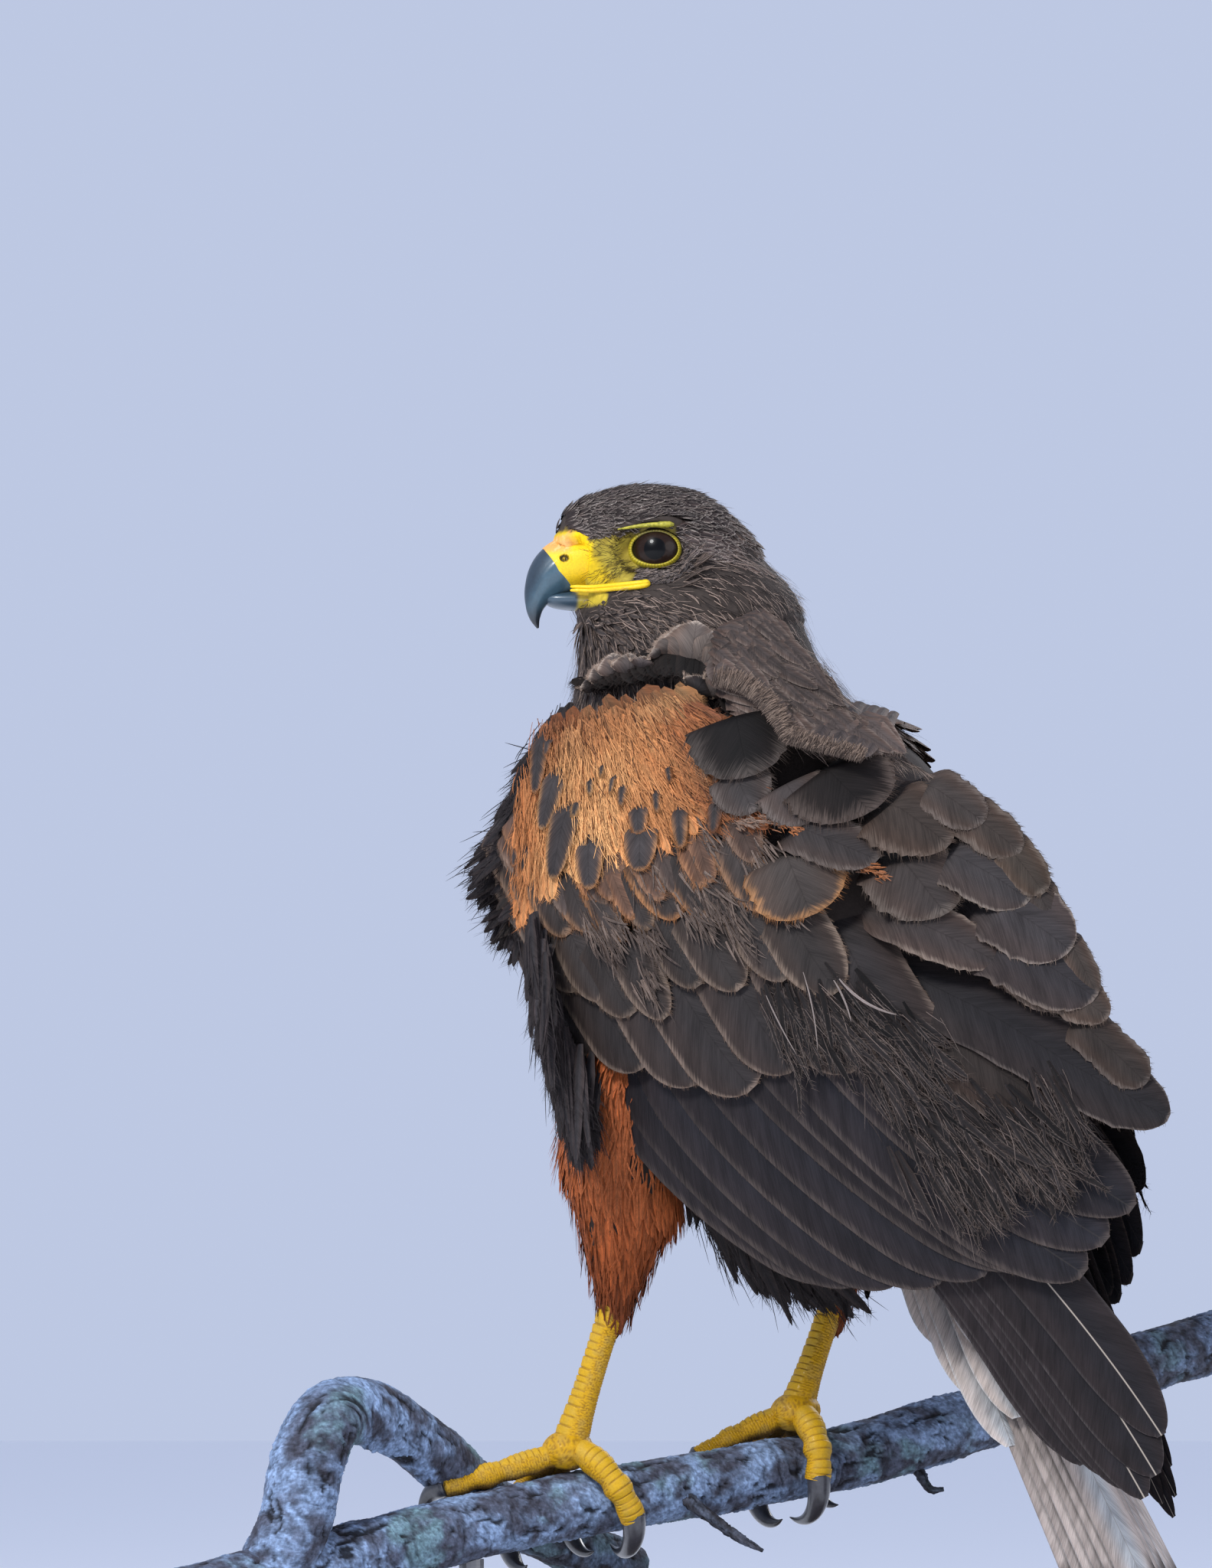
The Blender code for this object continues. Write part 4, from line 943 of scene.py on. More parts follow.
def eye_distance(p):
    """How far a place is from the line that the eye looks along, on its own side."""
    p = np.asarray(p, float)
    side = np.where((p - HEAD_CENTRE) @ HEAD_LEFT > 0, 1.0, -1.0)
    f, l, u = EYE_PLACE
    centre = np.where(side[:, None] > 0, head(f, l, u), head(f, -l, u))
    look = np.where(side[:, None] > 0, eye_out(1), eye_out(-1))
    off = p - centre
    along = (off * look).sum(-1)
    flat = off - along[:, None] * look
    high = flat @ UP
    return np.sqrt(np.maximum((flat**2).sum(-1) - high**2, 0) + (high * 1.22) ** 2) + 40.0 * (along < 0)


GAPE = ((35.5, -11.4), (30.0, -11.7), (24.0, -11.7), (18.0, -11.5), (14.8, -11.2), (13.2, -10.9))


def gape_distance(p):
    """How far a place on the head is from the line of the mouth."""
    f, l, u = head_coords(p)
    ends = np.array(GAPE)[::-1]
    line = np.interp(f, ends[:, 0], ends[:, 1])
    away = np.hypot(u - line, np.maximum(12.2 - f, 0.0))
    return np.where((f > 4.0) & (np.abs(l) > 4.0), away, 40.0)


def eye_out(side):
    return unit(HEAD_LEFT * side + HEAD_FORWARD * 0.34 - UP * 0.04)


def eye_frame(side):
    """An eye's middle, the way it looks, and the ways ahead and up across it."""
    f, l, u = EYE_PLACE
    look = eye_out(side)
    ahead = unit(HEAD_FORWARD - look * (HEAD_FORWARD @ look))
    high = unit(UP - look * (UP @ look) - ahead * (UP @ ahead))
    return head(f, side * l, u), look, ahead, high


def lid_line(turn):
    """The eye opening's half axes on that side, and how broad the ring round it is."""
    front = smooth((np.cos(turn) - 0.1) / 0.8)
    low = smooth(-np.sin(turn))
    wide = 7.2 + 0.9 * front**3
    tall = np.where(np.sin(turn) > 0, 5.5, 5.0)
    return wide, tall, 0.5 + 0.2 * low + 0.3 * front


def under_the_lids(points):
    """Places of the skin, pressed in where they would cover an eye or its ring."""
    out = points.copy()
    for side in (1, -1):
        centre, look, ahead, high = eye_frame(side)
        q = out - centre
        a, b, level = q @ ahead, q @ high, q @ look
        turn = np.arctan2(b, a)
        wide, tall, scale = lid_line(turn)
        edge = 1 / np.hypot(np.cos(turn) / wide, np.sin(turn) / tall)
        ball = np.sqrt(np.maximum(EYE_RADIUS**2 - np.minimum(edge, 8.6) ** 2, 0))
        past = np.hypot(a, b) - edge - 1.8 * scale
        roof = ball - 1.5 + np.where(past > 0, 0.35 * past + 0.9 * np.maximum(past - 1.8, 0), 0.9 * past)
        near = (level > -4.0) & (past < 6.0)
        out = out + (near * (np.minimum(level, roof) - level))[:, None] * look
    return out


def side_reach(tree, f, u, side):
    """How far out to one side the head's skin is at f and u."""
    place = tree.ray_cast(Vector(head(f, side * 60.0, u)), Vector(-HEAD_LEFT * side))[0]
    return float(abs(head_coords(np.array([place]))[1][0]))


def cere_top(f):
    """Where the forehead's feathers end above the cere."""
    return 7.8 - np.where(f > 33.5, 0.42 * (f - 33.5), 1.2 * (33.5 - f))


def cere_colour(p):
    """Bright yellow at the sides and speckled pink on top."""
    f, _, u = head_coords(p)
    top = (smooth((u + 0.8) / 3.0) * smooth((f - 34.0) / 3.0))[:, None]
    colour = YELLOW * (1 - 0.75 * top) + srgb(222, 150, 92) * 0.75 * top
    spots = smooth((layered(np.asarray(p) * 0.8, 3, 9)[:, None] - 0.1) / 0.35)
    return colour * (1 - 0.55 * spots * top) + srgb(240, 196, 136) * 0.55 * spots * top


def skin_colour(p):
    f, l, u = head_coords(p)
    on_head = smooth((np.asarray(p)[:, 2] - REST_Z - 262.0) / 14.0)[:, None]
    colour = DARK_BROWN * 0.55 * (1 - on_head) + HEAD_BROWN * 0.6 * on_head
    bare = (lore_mask(p) * (np.asarray(p)[:, 2] > REST_Z + 284.0))[:, None]
    low = ((np.abs(l) > 3.0) & (u < -9.5) & (u > -16.6) & (f > 25.5))[:, None]
    crest = cere_top(f)
    cere = ((f > 29.8) & (u < crest + 0.4) & (u > crest - 7.0))[:, None]
    fresh = smooth((f - 24.5) / 5.0 + (-u - 3.5) / 7.0)[:, None]
    tone = smooth(layered(np.asarray(p) * 0.7, 3, 61) * 0.7 + 0.5)[:, None]
    yellow = lerp(srgb(134, 116, 44), srgb(166, 148, 58), tone)
    yellow = yellow * (1 - 0.75 * fresh) + YELLOW * 0.85 * 0.75 * fresh
    # skin darker up toward the brow above the eye: painted shade of the brow
    brow_shade = smooth((20.0 - f) / 6.0)[:, None] * smooth((u - 1.0) / 5.0)[:, None]
    yellow = yellow * (1 - 0.7 * brow_shade) + srgb(92, 84, 40) * 0.7 * brow_shade
    colour = colour * (1 - bare) + yellow * bare
    colour = np.where(cere, cere_colour(p), colour)
    return np.where(low, srgb(196, 172, 56) * (0.7 + 0.3 * tone), colour)


def make_skin():
    points, faces = skin_forms()
    obj = mesh_object("skin", points, faces, SKIN)
    remesh = obj.modifiers.new("remesh", "REMESH")
    remesh.mode = "VOXEL"
    remesh.voxel_size = 1.45 * MM
    apply_modifiers(obj)
    soft = obj.modifiers.new("soft", "SMOOTH")
    soft.factor = 0.5
    soft.iterations = 8
    apply_modifiers(obj)
    mesh = obj.data
    points, normals = mesh_arrays(obj)
    points = under_the_lids(points)
    tree = BVHTree.FromPolygons(
        [tuple(p) for p in points], [tuple(f.vertices) for f in mesh.polygons], all_triangles=False
    )
    depth = np.where(points[:, 2] > REST_Z + 280.0, 0.7, 1.8)
    mask = lore_mask(points)
    depth = depth * (1 - 0.85 * mask * (points[:, 2] > REST_Z + 284.0))
    f, _, u = head_coords(points)
    high = points[:, 2] > REST_Z + 284.0
    depth = depth + high * 5.5 * smooth((f - 30.4) / 1.4) * smooth((cere_top(f) - 1.8 - u) / 1.6)
    depth = depth + high * 2.0 * smooth((2.0 - f) / 14.0) * smooth((u + 4.0) / 12.0)
    mesh.vertices.foreach_set("co", ((points - normals * depth[:, None]) * MM).astype(np.float32).ravel())
    layer = mesh.attributes.new("paint", "FLOAT_COLOR", "POINT")
    full = np.ones((len(points), 4), np.float32)
    full[:, :3] = skin_colour(points)
    layer.data.foreach_set("color", full.ravel())
    mesh.materials.clear()
    mesh.materials.append(SKIN)
    mesh.shade_smooth()
    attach(obj, "root")
    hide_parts("head", "neck", "torso", "thigh_left", "thigh_right", "wing_left", "wing_right", "tail")
    return tree


def on_skin(tree, points, reach):
    """The nearest places on the skin, the ways out there, and which are nearer than reach."""
    places = np.empty_like(points)
    ways = np.empty_like(points)
    keep = np.zeros(len(points), bool)
    for i, p in enumerate(points):
        place, way, _, distance = tree.find_nearest(Vector(p))
        if place is not None and distance < reach:
            places[i] = place
            ways[i] = way
            keep[i] = True
    return places, ways, keep


def lattice(length, width_at, spacing_at):
    """Staggered places over a form: rows along it, and shares of the way round each."""
    rows, shares = [], []
    v, k = 0.0, 0
    while v < length:
        gap = spacing_at(v)
        count = max(int(width_at(v) / gap), 3)
        turn = (np.arange(count) + 0.5 * (k % 2)) / count
        turn = turn + rng.normal(size=count) * 0.13 / count
        rows.append(np.full(count, v) + rng.normal(size=count) * 0.13 * gap)
        shares.append(turn)
        v += gap * 0.85
        k += 1
    return np.concatenate(rows), np.concatenate(shares) % 1.0


# Head and neck feathers


def head_flow(p):
    """The way the feathers lie on the head and neck."""
    f, l, u = head_coords(p)
    down = (0.12 + 0.95 * smooth((4.0 - f) / 34.0)
            + 0.75 * smooth((-2.0 - u) / 16.0) * smooth((30.0 - f) / 24.0))
    out = np.sign(l) * 0.25 * smooth((u + 4.0) / 22.0) * smooth(np.abs(l) / 12.0)
    flow = -HEAD_FORWARD[None] * np.ones((len(p), 1)) + out[:, None] * HEAD_LEFT - down[:, None] * UP
    neck = smooth((REST_Z + 283.0 - p[:, 2]) / 20.0)[:, None]
    fall = -SPINE - 0.15 * UP
    back = (p - HEAD_CENTRE) @ BACK
    fall = fall[None] + 0.35 * smooth(back / 50.0)[:, None] * BACK
    return unit(unit(flow) * (1 - neck) + unit(fall) * neck)


def clear_of_face(p, flow, length):
    """Which head feathers leave the eye's ring, the brow and the mouth's edges free."""
    clear = np.ones(len(p), bool)
    for share in (0.35, 0.7, 1.0):
        q = p + flow * (length * share)[:, None]
        f, l, u = head_coords(q)
        brow = np.interp(f, (4.0, 10.0, 16.0, 21.5), (8.6, 8.5, 8.0, 7.2))
        on_brow = (np.abs(u - brow) < 1.0) & (f > 3.0) & (f < 21.0) & (np.abs(l) > 14.0)
        clear &= (eye_distance(q) > 9.0) & (gape_distance(q) > 1.3) & ~on_brow
    return clear


def head_coat(tree):
    v, share = lattice(72.0, lambda q: 145.0, lambda q: 1.75 - 0.5 * smooth(q / 72.0))
    centre = curve(v, (0, 9, 20, 32, 44, 54, 63, 68, 71, 72), np.arange(10))
    raw = head_point(centre, share * 2 * math.pi)
    p, n, keep = on_skin(tree, raw, 2.6)
    f, l, u = head_coords(p)
    bare = lore_mask(p) > 0.3 + 0.4 * rng.random(len(p))
    cere = (f > 29.8) & (u < cere_top(f) - 0.2) & (u > -17.0)
    mouth = (gape_distance(p) < 1.5) | ((f > 25.0) & (u < -9.0) & (u > -16.8) & (np.abs(l) > 3.0))
    keep &= ~bare & ~cere & ~mouth & (eye_distance(p) > 8.7)
    p, n = p[keep], n[keep]
    f, _, u = head_coords(p)
    count = len(p)
    flow = head_flow(p) + rng.normal(size=(count, 3)) * 0.1
    crown = smooth((u + 2.0) / 12.0)
    front = smooth((f - 16.0) / 16.0)
    rear = smooth((6.0 - f) / 30.0)
    length = 5.6 + 2.2 * crown + 4.0 * rear - 2.4 * front + rng.normal(size=count) * 0.5
    clear = clear_of_face(p, unit(flow), length)
    p, n, flow, length, crown, front, rear = (q[clear] for q in (p, n, flow, length, crown, front, rear))
    keep = np.flatnonzero(keep)[clear]
    f, _, u = head_coords(p)
    count = len(p)
    width = (0.8 + 0.7 * crown + 1.0 * rear) * (1 - 0.3 * front)
    lift = 0.15 - 0.07 * rear + 0.14 * (1 - crown) * rng.random(count) + 0.04 * rng.normal(size=count)
    core = vary(HEAD_BROWN, count, 0.16) * (1 - 0.6 * crown[:, None]) * (0.98, 0.97, 1.08)
    grey = smooth((6.0 - u) / 16.0)[:, None] * smooth((f + 14) / 20.0)[:, None]
    core = core * (1 - 0.55 * grey) + srgb(84, 82, 86) * 0.55 * grey
    warm = smooth((-f - 4.0) / 16.0)[:, None]
    core = core * (1 - 0.4 * warm) + srgb(98, 84, 74) * 0.4 * warm
    rim = vary(srgb(158, 148, 140), count, 0.12)
    brow = smooth((f - 31.0) / 6.0) * smooth((u - 1.5) / 3.0)
    p = (p - n * (0.5 + 2.6 * rear * crown + 1.0 * rear)[:, None]
         + (n + HEAD_FORWARD * 0.3) * (0.6 * brow)[:, None])
    lift = lift * (1 - 0.8 * brow)
    batch = lay_feathers(p, n, flow, length, width, lift, -0.28, 0.3,
                         rng.normal(size=count) * 0.12, 5, 3, 0.5, 0.5, 0.1)
    bake = chart("head", curve(v[keep], (0, 72), (0.0, 1.0)), share[keep])
    dress(batch, core, rim, 0.55 + 0.25 * crown, 0.35 + 0.5 * rng.random(count), 0.0, bake)
    # a second, sparse layer of finer tufts breaks the surface up
    pick = (rng.random(count) < 0.55) & (brow < 0.3)
    q, m = p[pick], n[pick]
    k = len(q)
    fine = lay_feathers(q - m * 0.3, m, flow[pick] + rng.normal(size=(k, 3)) * 0.16,
                        length[pick] * (0.7 + 0.4 * rng.random(k)), 0.28, lift[pick] + 0.16,
                        -0.3, 0.0, rng.normal(size=k) * 0.3, 4, 2, 0.8, 0.2, 0.15)
    dress(fine, core[pick] * 1.1, rim[pick], 0.8, 0.7, 0.0, bake[pick])
    out = [batch, fine] + cheek_tufts(tree)
    for tone, amount in ((srgb(140, 130, 126), 0.95), (srgb(30, 27, 26), 0.9)):
        pick = (rng.random(count) < amount) & (brow < 0.4)
        k = int(pick.sum())
        q = p[pick] + rng.normal(size=(k, 3)) * 0.5
        strands = lay_feathers(q, n[pick], flow[pick] + rng.normal(size=(k, 3)) * 0.2,
                               length[pick] * rng.uniform(0.45, 0.85, k), rng.uniform(0.05, 0.1, k),
                               lift[pick] + rng.uniform(0.02, 0.16, k), -0.3, 0.0, rng.normal(size=k) * 0.3,
                               4, 2, 0.8, 0.2, 0.1)
        dress(strands, vary(tone, k, 0.2) * (1 - 0.3 * crown[pick])[:, None], tone, 0.2, 0.2, 0.0, bake[pick])
        out.append(strands)
    return out


def cheek_tufts(tree):
    """The shortest feathers, close round the eye's ring and above the mouth's edge."""
    total = 2600
    f = rng.uniform(0.0, 21.0, total)
    u = rng.uniform(-10.8, 8.0, total)
    side = np.where(rng.random(total) < 0.5, 1.0, -1.0)
    p, n = np.zeros((total, 3)), np.zeros((total, 3))
    for i in range(total):
        place, way, _, _ = tree.ray_cast(Vector(head(f[i], side[i] * 60.0, u[i])),
                                         Vector(-HEAD_LEFT * side[i]))
        p[i], n[i] = place, way
    length = rng.uniform(1.5, 2.8, total)
    flow = head_flow(p) + rng.normal(size=(total, 3)) * 0.15
    tips = p + unit(flow) * length[:, None]
    keep = (eye_distance(p) < 14.0) & (eye_distance(p) > 8.7) & (eye_distance(tips) > 8.8)
    keep &= (gape_distance(p) > 1.1) & (gape_distance(tips) > 1.1) & (lore_mask(p) < 0.45)
    tf, _, tu = head_coords(tips)
    stripe = np.interp(tf, (4.0, 10.0, 16.0, 21.5), (8.6, 8.5, 8.0, 7.2))
    keep &= np.abs(tu - stripe) > 1.1
    p, n, flow, length = p[keep], n[keep], flow[keep], length[keep]
    count = len(p)
    batch = lay_feathers(p - n * 0.4, n, flow, length, 0.36, 0.26 + 0.14 * rng.random(count), -0.3, 0.3,
                         rng.normal(size=count) * 0.15, 4, 3, 0.6, 0.4, 0.1)
    f, _, u = head_coords(p)
    bake = chart("face", (f + 4.0) / 34.0, (u + 12.0) / 24.0)
    dress(batch, vary(srgb(62, 58, 60), count, 0.35), vary(srgb(140, 132, 128), count), 0.3, 0.5, 0.0, bake)
    out = [batch]
    for tone in (srgb(150, 141, 136), srgb(28, 25, 25)):
        strands = lay_feathers(p + rng.normal(size=(count, 3)) * 0.4, n,
                               flow + rng.normal(size=(count, 3)) * 0.2,
                               length * rng.uniform(0.7, 1.0, count), 0.06, rng.uniform(0.3, 0.45, count),
                               -0.35, 0.0, rng.normal(size=count) * 0.3, 4, 2, 0.8, 0.2, 0.1)
        out.append(dress(strands, vary(tone, count, 0.2), tone, 0.2, 0.2, 0.0, bake))
    return out


def neck_coat(tree):
    """Neck, nape and the upper mantle, whose feathers grow larger down the body."""
    rows = np.linspace(7.2, 12.2, 200)
    centres = curve(rows, ROW_INDEX, ROWS)[:, :3]
    reach = path_reach(centres)
    total = reach[-1]
    v, share = lattice(total, lambda q: 330.0 - 130.0 * q / total, lambda q: 3.5 - 1.75 * smooth(q / total))
    row = np.interp(v, reach, rows)
    raw, _ = trunk_point(row, share * 2 * math.pi)
    p, n, keep = on_skin(tree, raw, 4.5)
    f, _, u = head_coords(p)
    keep &= ~((f > 10.0) & (u > -13.0)) & ~((f > 25.0) & (u > -16.8))
    p, n, v, share = p[keep], n[keep], v[keep], share[keep]
    count = len(p)
    size = smooth((REST_Z + 292.0 - p[:, 2]) / 60.0)
    back = smooth(((p - HEAD_CENTRE) @ BACK + 10) / 40.0)
    flow = head_flow(p) + rng.normal(size=(count, 3)) * 0.09
    length = 8.5 + 9.0 * size + rng.normal(size=count)
    width = 0.95 + 1.7 * size * (0.4 + 0.6 * back)
    lift = 0.07 + 0.08 * rng.random(count) + 0.15 * (1 - back)
    core = vary(srgb(74, 65, 60), count, 0.12)
    nape = smooth((p[:, 2] - REST_Z - 258.0) / 16.0)
    p = p - n * ((4.8 * nape - 3.0 * smooth((v - 12.0) / 42.0)) * back)[:, None]
    p = p - n * (1.2 * (1 - back) * nape)[:, None]
    front = (1 - back)[:, None]
    core = core * (1 - 0.45 * front) + srgb(54, 52, 53) * 0.45 * front
    batch = lay_feathers(p - n * 0.8, n, flow, length, width, lift, -0.26, 0.25,
                         rng.normal(size=count) * 0.12, 6, 3, 0.5, 0.3, 0.06, 0.06)
    bake = chart("trunk", 0.6 + 0.4 * v / total, share)
    dress(batch, core, vary(srgb(122, 110, 102), count), 0.7, 0.4, 0.0, bake)
    out = [batch]
    for tone in (srgb(136, 123, 114), srgb(34, 30, 29)):
        q = p + rng.normal(size=(count, 3)) * 1.2
        strands = lay_feathers(q, n, flow + rng.normal(size=(count, 3)) * 0.18,
                               length * rng.uniform(0.5, 1.0, count), rng.uniform(0.07, 0.15, count),
                               lift + rng.uniform(0.0, 0.14, count), -0.25, 0.0, rng.normal(size=count) * 0.3,
                               5, 2, 0.8, 0.2, 0.1)
        dress(strands, vary(tone, count, 0.2), tone, 0.2, 0.2, 0.0, bake)
        out.append(strands)
    return out


def body_coat(tree):
    rows = np.linspace(0.3, 8.2, 300)
    centres = curve(rows, ROW_INDEX, ROWS)[:, :3]
    reach = path_reach(centres)
    total = reach[-1]
    v, share = lattice(total, lambda q: 2 * math.pi * np.interp(q, (0, 40, 100, total), (18, 48, 62, 50)),
                       lambda q: 6.2)
    row = np.interp(v, reach, rows)
    raw, along = trunk_point(row, share * 2 * math.pi)
    p, n, keep = on_skin(tree, raw, 3.0)
    p, n, v, share, along = p[keep], n[keep], v[keep], share[keep], along[keep]
    count = len(p)
    a = share * 2 * math.pi
    belly = smooth((-np.cos(a) + 0.1) / 0.6)
    back = smooth((np.cos(a) - 0.1) / 0.6)
    flow = -along + rng.normal(size=(count, 3)) * 0.07
    length = 24.0 + 4.0 * belly + rng.normal(size=count) * 1.5
    width = 6.2 + 0.8 * back
    chest = smooth((v - 90.0) / 60.0) * belly
    lift = 0.14 + 0.1 * rng.random(count) + 0.22 * chest
    core = vary(srgb(70, 60, 55), count, 0.1)
    core = core * (1 - 0.45 * belly[:, None]) + srgb(42, 38, 38) * 0.45 * belly[:, None]
    place = p - bird(0.0, 0.0, 0.0)
    nape = smooth((place @ SPINE - 112.0) / 12.0) * smooth((place @ BACK - 38.0) / 10.0)
    length, lift = length * (1 - 0.4 * nape), lift * (1 - 0.9 * nape)
    p = p - n * (1.2 + 3.6 * nape)[:, None]
    batch = lay_feathers(p, n, flow, length, width, lift, -0.28 + 0.2 * chest, 0.25,
                         rng.normal(size=count) * 0.08, 8, 5, 0.5, 0.5, 0.14, 0.06)
    bake = chart("trunk", 0.6 * v / total, share)
    dress(batch, core, vary(srgb(124, 110, 98), count), 0.8, 0.5 + 0.3 * back, 0.0, bake)
    return [batch]


def breast_fluff(tree):
    """The breast feathers that the wind pushes out past the wing, and the dark ones over the thigh."""
    rows = rng.uniform(5.6, 8.2, 200)
    a = math.pi + rng.normal(size=200) * 0.4
    raw, along = trunk_point(rows, a)
    p, n, keep = on_skin(tree, raw, 4.0)
    p, n, along = p[keep], n[keep], along[keep]
    count = len(p)
    flow = -along + rng.normal(size=(count, 3)) * 0.18
    batch = lay_feathers(p - n, n, flow, rng.uniform(20, 30, count), 3.4, rng.uniform(0.1, 0.3, count),
                         rng.uniform(-0.5, -0.1, count), 0.2, rng.normal(size=count) * 0.2, 9, 5, 0.4, 0.35,
                         0.1, 0.12)
    bake = chart("trunk", 0.5 * np.ones(count), a[keep] / (2 * math.pi))
    dress(batch, vary(srgb(40, 37, 38), count, 0.2), vary(srgb(96, 88, 84), count), 0.7, 0.35, 0.0, bake)
    return [batch, loose_barbs(batch, 40, 4.0, 0.25, 0.07, 0.2, 0.5)]


def hanging_coat():
    """Breast feathers blown past the wing, dark belly feathers over the thighs, the flanks' long fringe."""
    sides = []
    groups = (
        (140, ((744, 918), (720, 960), (700, 1020), (692, 1080), (692, 1140), (700, 1190)),
         ((710, 985), (678, 1030), (648, 1085), (616, 1142), (630, 1192), (664, 1248)),
         5.0, 6.0, -6.0, -14.0, 6.0, 2.3, srgb(36, 33, 35), 6, 1.6),
        (60, ((750, 920), (730, 960), (716, 1030), (710, 1090), (708, 1150), (712, 1210)),
         ((722, 990), (696, 1040), (672, 1110), (652, 1160), (658, 1210), (682, 1262)),
         5.0, 6.0, -8.0, -14.0, 6.0, 2.6, srgb(38, 34, 33), 5, 2.0),
        (170, ((700, 1190), (708, 1250), (720, 1310), (736, 1350), (754, 1370), (770, 1385)),
         ((698, 1310), (716, 1400), (740, 1465), (754, 1518), (766, 1514), (780, 1480)),
         6.0, 7.0, -44.0, -56.0, 5.0, 1.9, srgb(42, 39, 41), 5, 1.3),
        (110, ((872, 1400), (884, 1450), (900, 1500), (930, 1540), (980, 1580), (1040, 1610)),
         ((900, 1530), (934, 1612), (968, 1664), (1004, 1694), (1056, 1708), (1140, 1716)),
         8.0, 9.0, -30.0, -14.0, 12.0, 2.6, srgb(38, 35, 36), 7, 1.8),
    )
    for mirror in (False, True):
        out = []
        sides.append(out)
        for (count, roots, tips, loose_root, loose_tip, y_root, y_tip, deep, wide, core, hairs,
             stray) in groups:
            count = count // 2 if mirror else count
            hairs = 3 if mirror else hairs
            u = rng.random(count) * (len(roots) - 1)
            index = np.arange(len(roots))
            r = curve(u, index, np.array(roots, float)) + rng.normal(size=(count, 2)) * loose_root
            t = curve(u, index, np.array(tips, float)) + rng.normal(size=(count, 2)) * loose_tip
            t = r + (t - r) * rng.uniform(0.72, 1.06, (count, 1))
            depth = rng.normal(size=count) * deep
            a = np.array([at(x, y, y_root + k) for (x, y), k in zip(r, depth)])
            b = np.array([at(x, y, y_tip + k) for (x, y), k in zip(t, depth)])
            view = np.array([-0.45, -1.0, 0.25])
            if mirror:
                a, b, view = other_side(a), other_side(b), view - 2 * (view @ LEFT) * LEFT
            batch = free_feathers(a, b, view, wide * rng.uniform(0.7, 1.2, count), 2.0 * rng.random(count),
                                  1.2 * rng.normal(size=count), 0.3, 12, 5, 0.5, 0.22, 0.06)
            bake = trunk_bake(a)
            dress(batch, vary(core, count, 0.16), vary(core * 1.5, count), 0.8, 0.4, 0.0, bake)
            out += [batch, loose_barbs(batch, 10 if mirror else 30, 4.0, 0.25, 0.06, 0.14, 0.7)]
            pick = np.repeat(np.arange(count), hairs)
            m = len(pick)
            start = a[pick] + (b - a)[pick] * rng.uniform(0.1, 0.5, (m, 1)) + rng.normal(size=(m, 3)) * 1.6
            end = (b[pick] + (b - a)[pick] * rng.uniform(-0.2, 0.12, (m, 1))
                   + rng.normal(size=(m, 3)) * stray * 1.4)
            strands = free_feathers(start, end, view, 0.17, 1.5 * rng.random(m), 2.0 * rng.normal(size=m),
                                    0.0, 8, 2, 0.8, 0.3, 0.1)
            dress(strands, vary(core * 0.9, m, 0.25), core, 0.3, 0.3, 0.0, bake[pick])
            out.append(strands)
    return sides


def thigh_coat(tree, key):
    leg = LEGS[key]
    count_rows = len(leg["thigh"]) - 1
    v, share = lattice(100.0, lambda q: 2 * math.pi * np.interp(q, (0, 50, 100), (24, 19, 6)), lambda q: 3.0)
    row = v / 100.0 * (count_rows - 0.6)
    raw = thigh_point(leg, row, share * 2 * math.pi)
    p, n, keep = on_skin(tree, raw, 2.5)
    p, n, v, share = p[keep], n[keep], v[keep], share[keep]
    count = len(p)
    ankle = np.array(leg["ankle"]) + (0, 0, REST_Z)
    flow = unit(ankle - (0, 0, 40.0) - p) * 0.6 - UP[None] * 0.6 + rng.normal(size=(count, 3)) * 0.05
    length = 17.0 - 4.0 * v / 100.0 + rng.normal(size=count)
    lift = 0.1 + 0.07 * rng.random(count)
    low = smooth((v - 70.0) / 30.0)[:, None]
    core = vary(srgb(134, 70, 36), count, 0.12)
    mid = np.exp(-((v - 38.0) / 24.0) ** 2)[:, None]
    core = core * (1 - 0.4 * mid) + srgb(172, 104, 66) * 0.4 * mid
    core = core * (1 - 0.6 * low) + srgb(66, 38, 26) * 0.6 * low
    batch = lay_feathers(p - n * 2.4, n, flow, length, 1.9 - 0.7 * v / 100.0, lift, -0.2, 0.2,
                         rng.normal(size=count) * 0.1, 7, 4, 0.5, 0.35, 0.08, 0.08)
    bake = chart("thigh_" + key, share, v / 100.0)
    dress(batch, core, core * 1.25, 0.7, 0.5, 0.0, bake)
    pick = rng.random(count) < 0.8
    k = int(pick.sum())
    fine = lay_feathers(p[pick] - n[pick] * 1.4, n[pick], flow[pick] + rng.normal(size=(k, 3)) * 0.12,
                        length[pick] * 0.9, 0.32, lift[pick] + 0.08, -0.1, 0.0,
                        rng.normal(size=k) * 0.25, 5, 2, 0.8, 0.3, 0.1)
    dress(fine, core[pick] * 0.8, core[pick] * 1.3, 0.8, 0.5, 0.0, bake[pick])
    return [batch, fine]


# Wing feathers. A tier's places are (up the spine, to the back) for its roots and its tips.


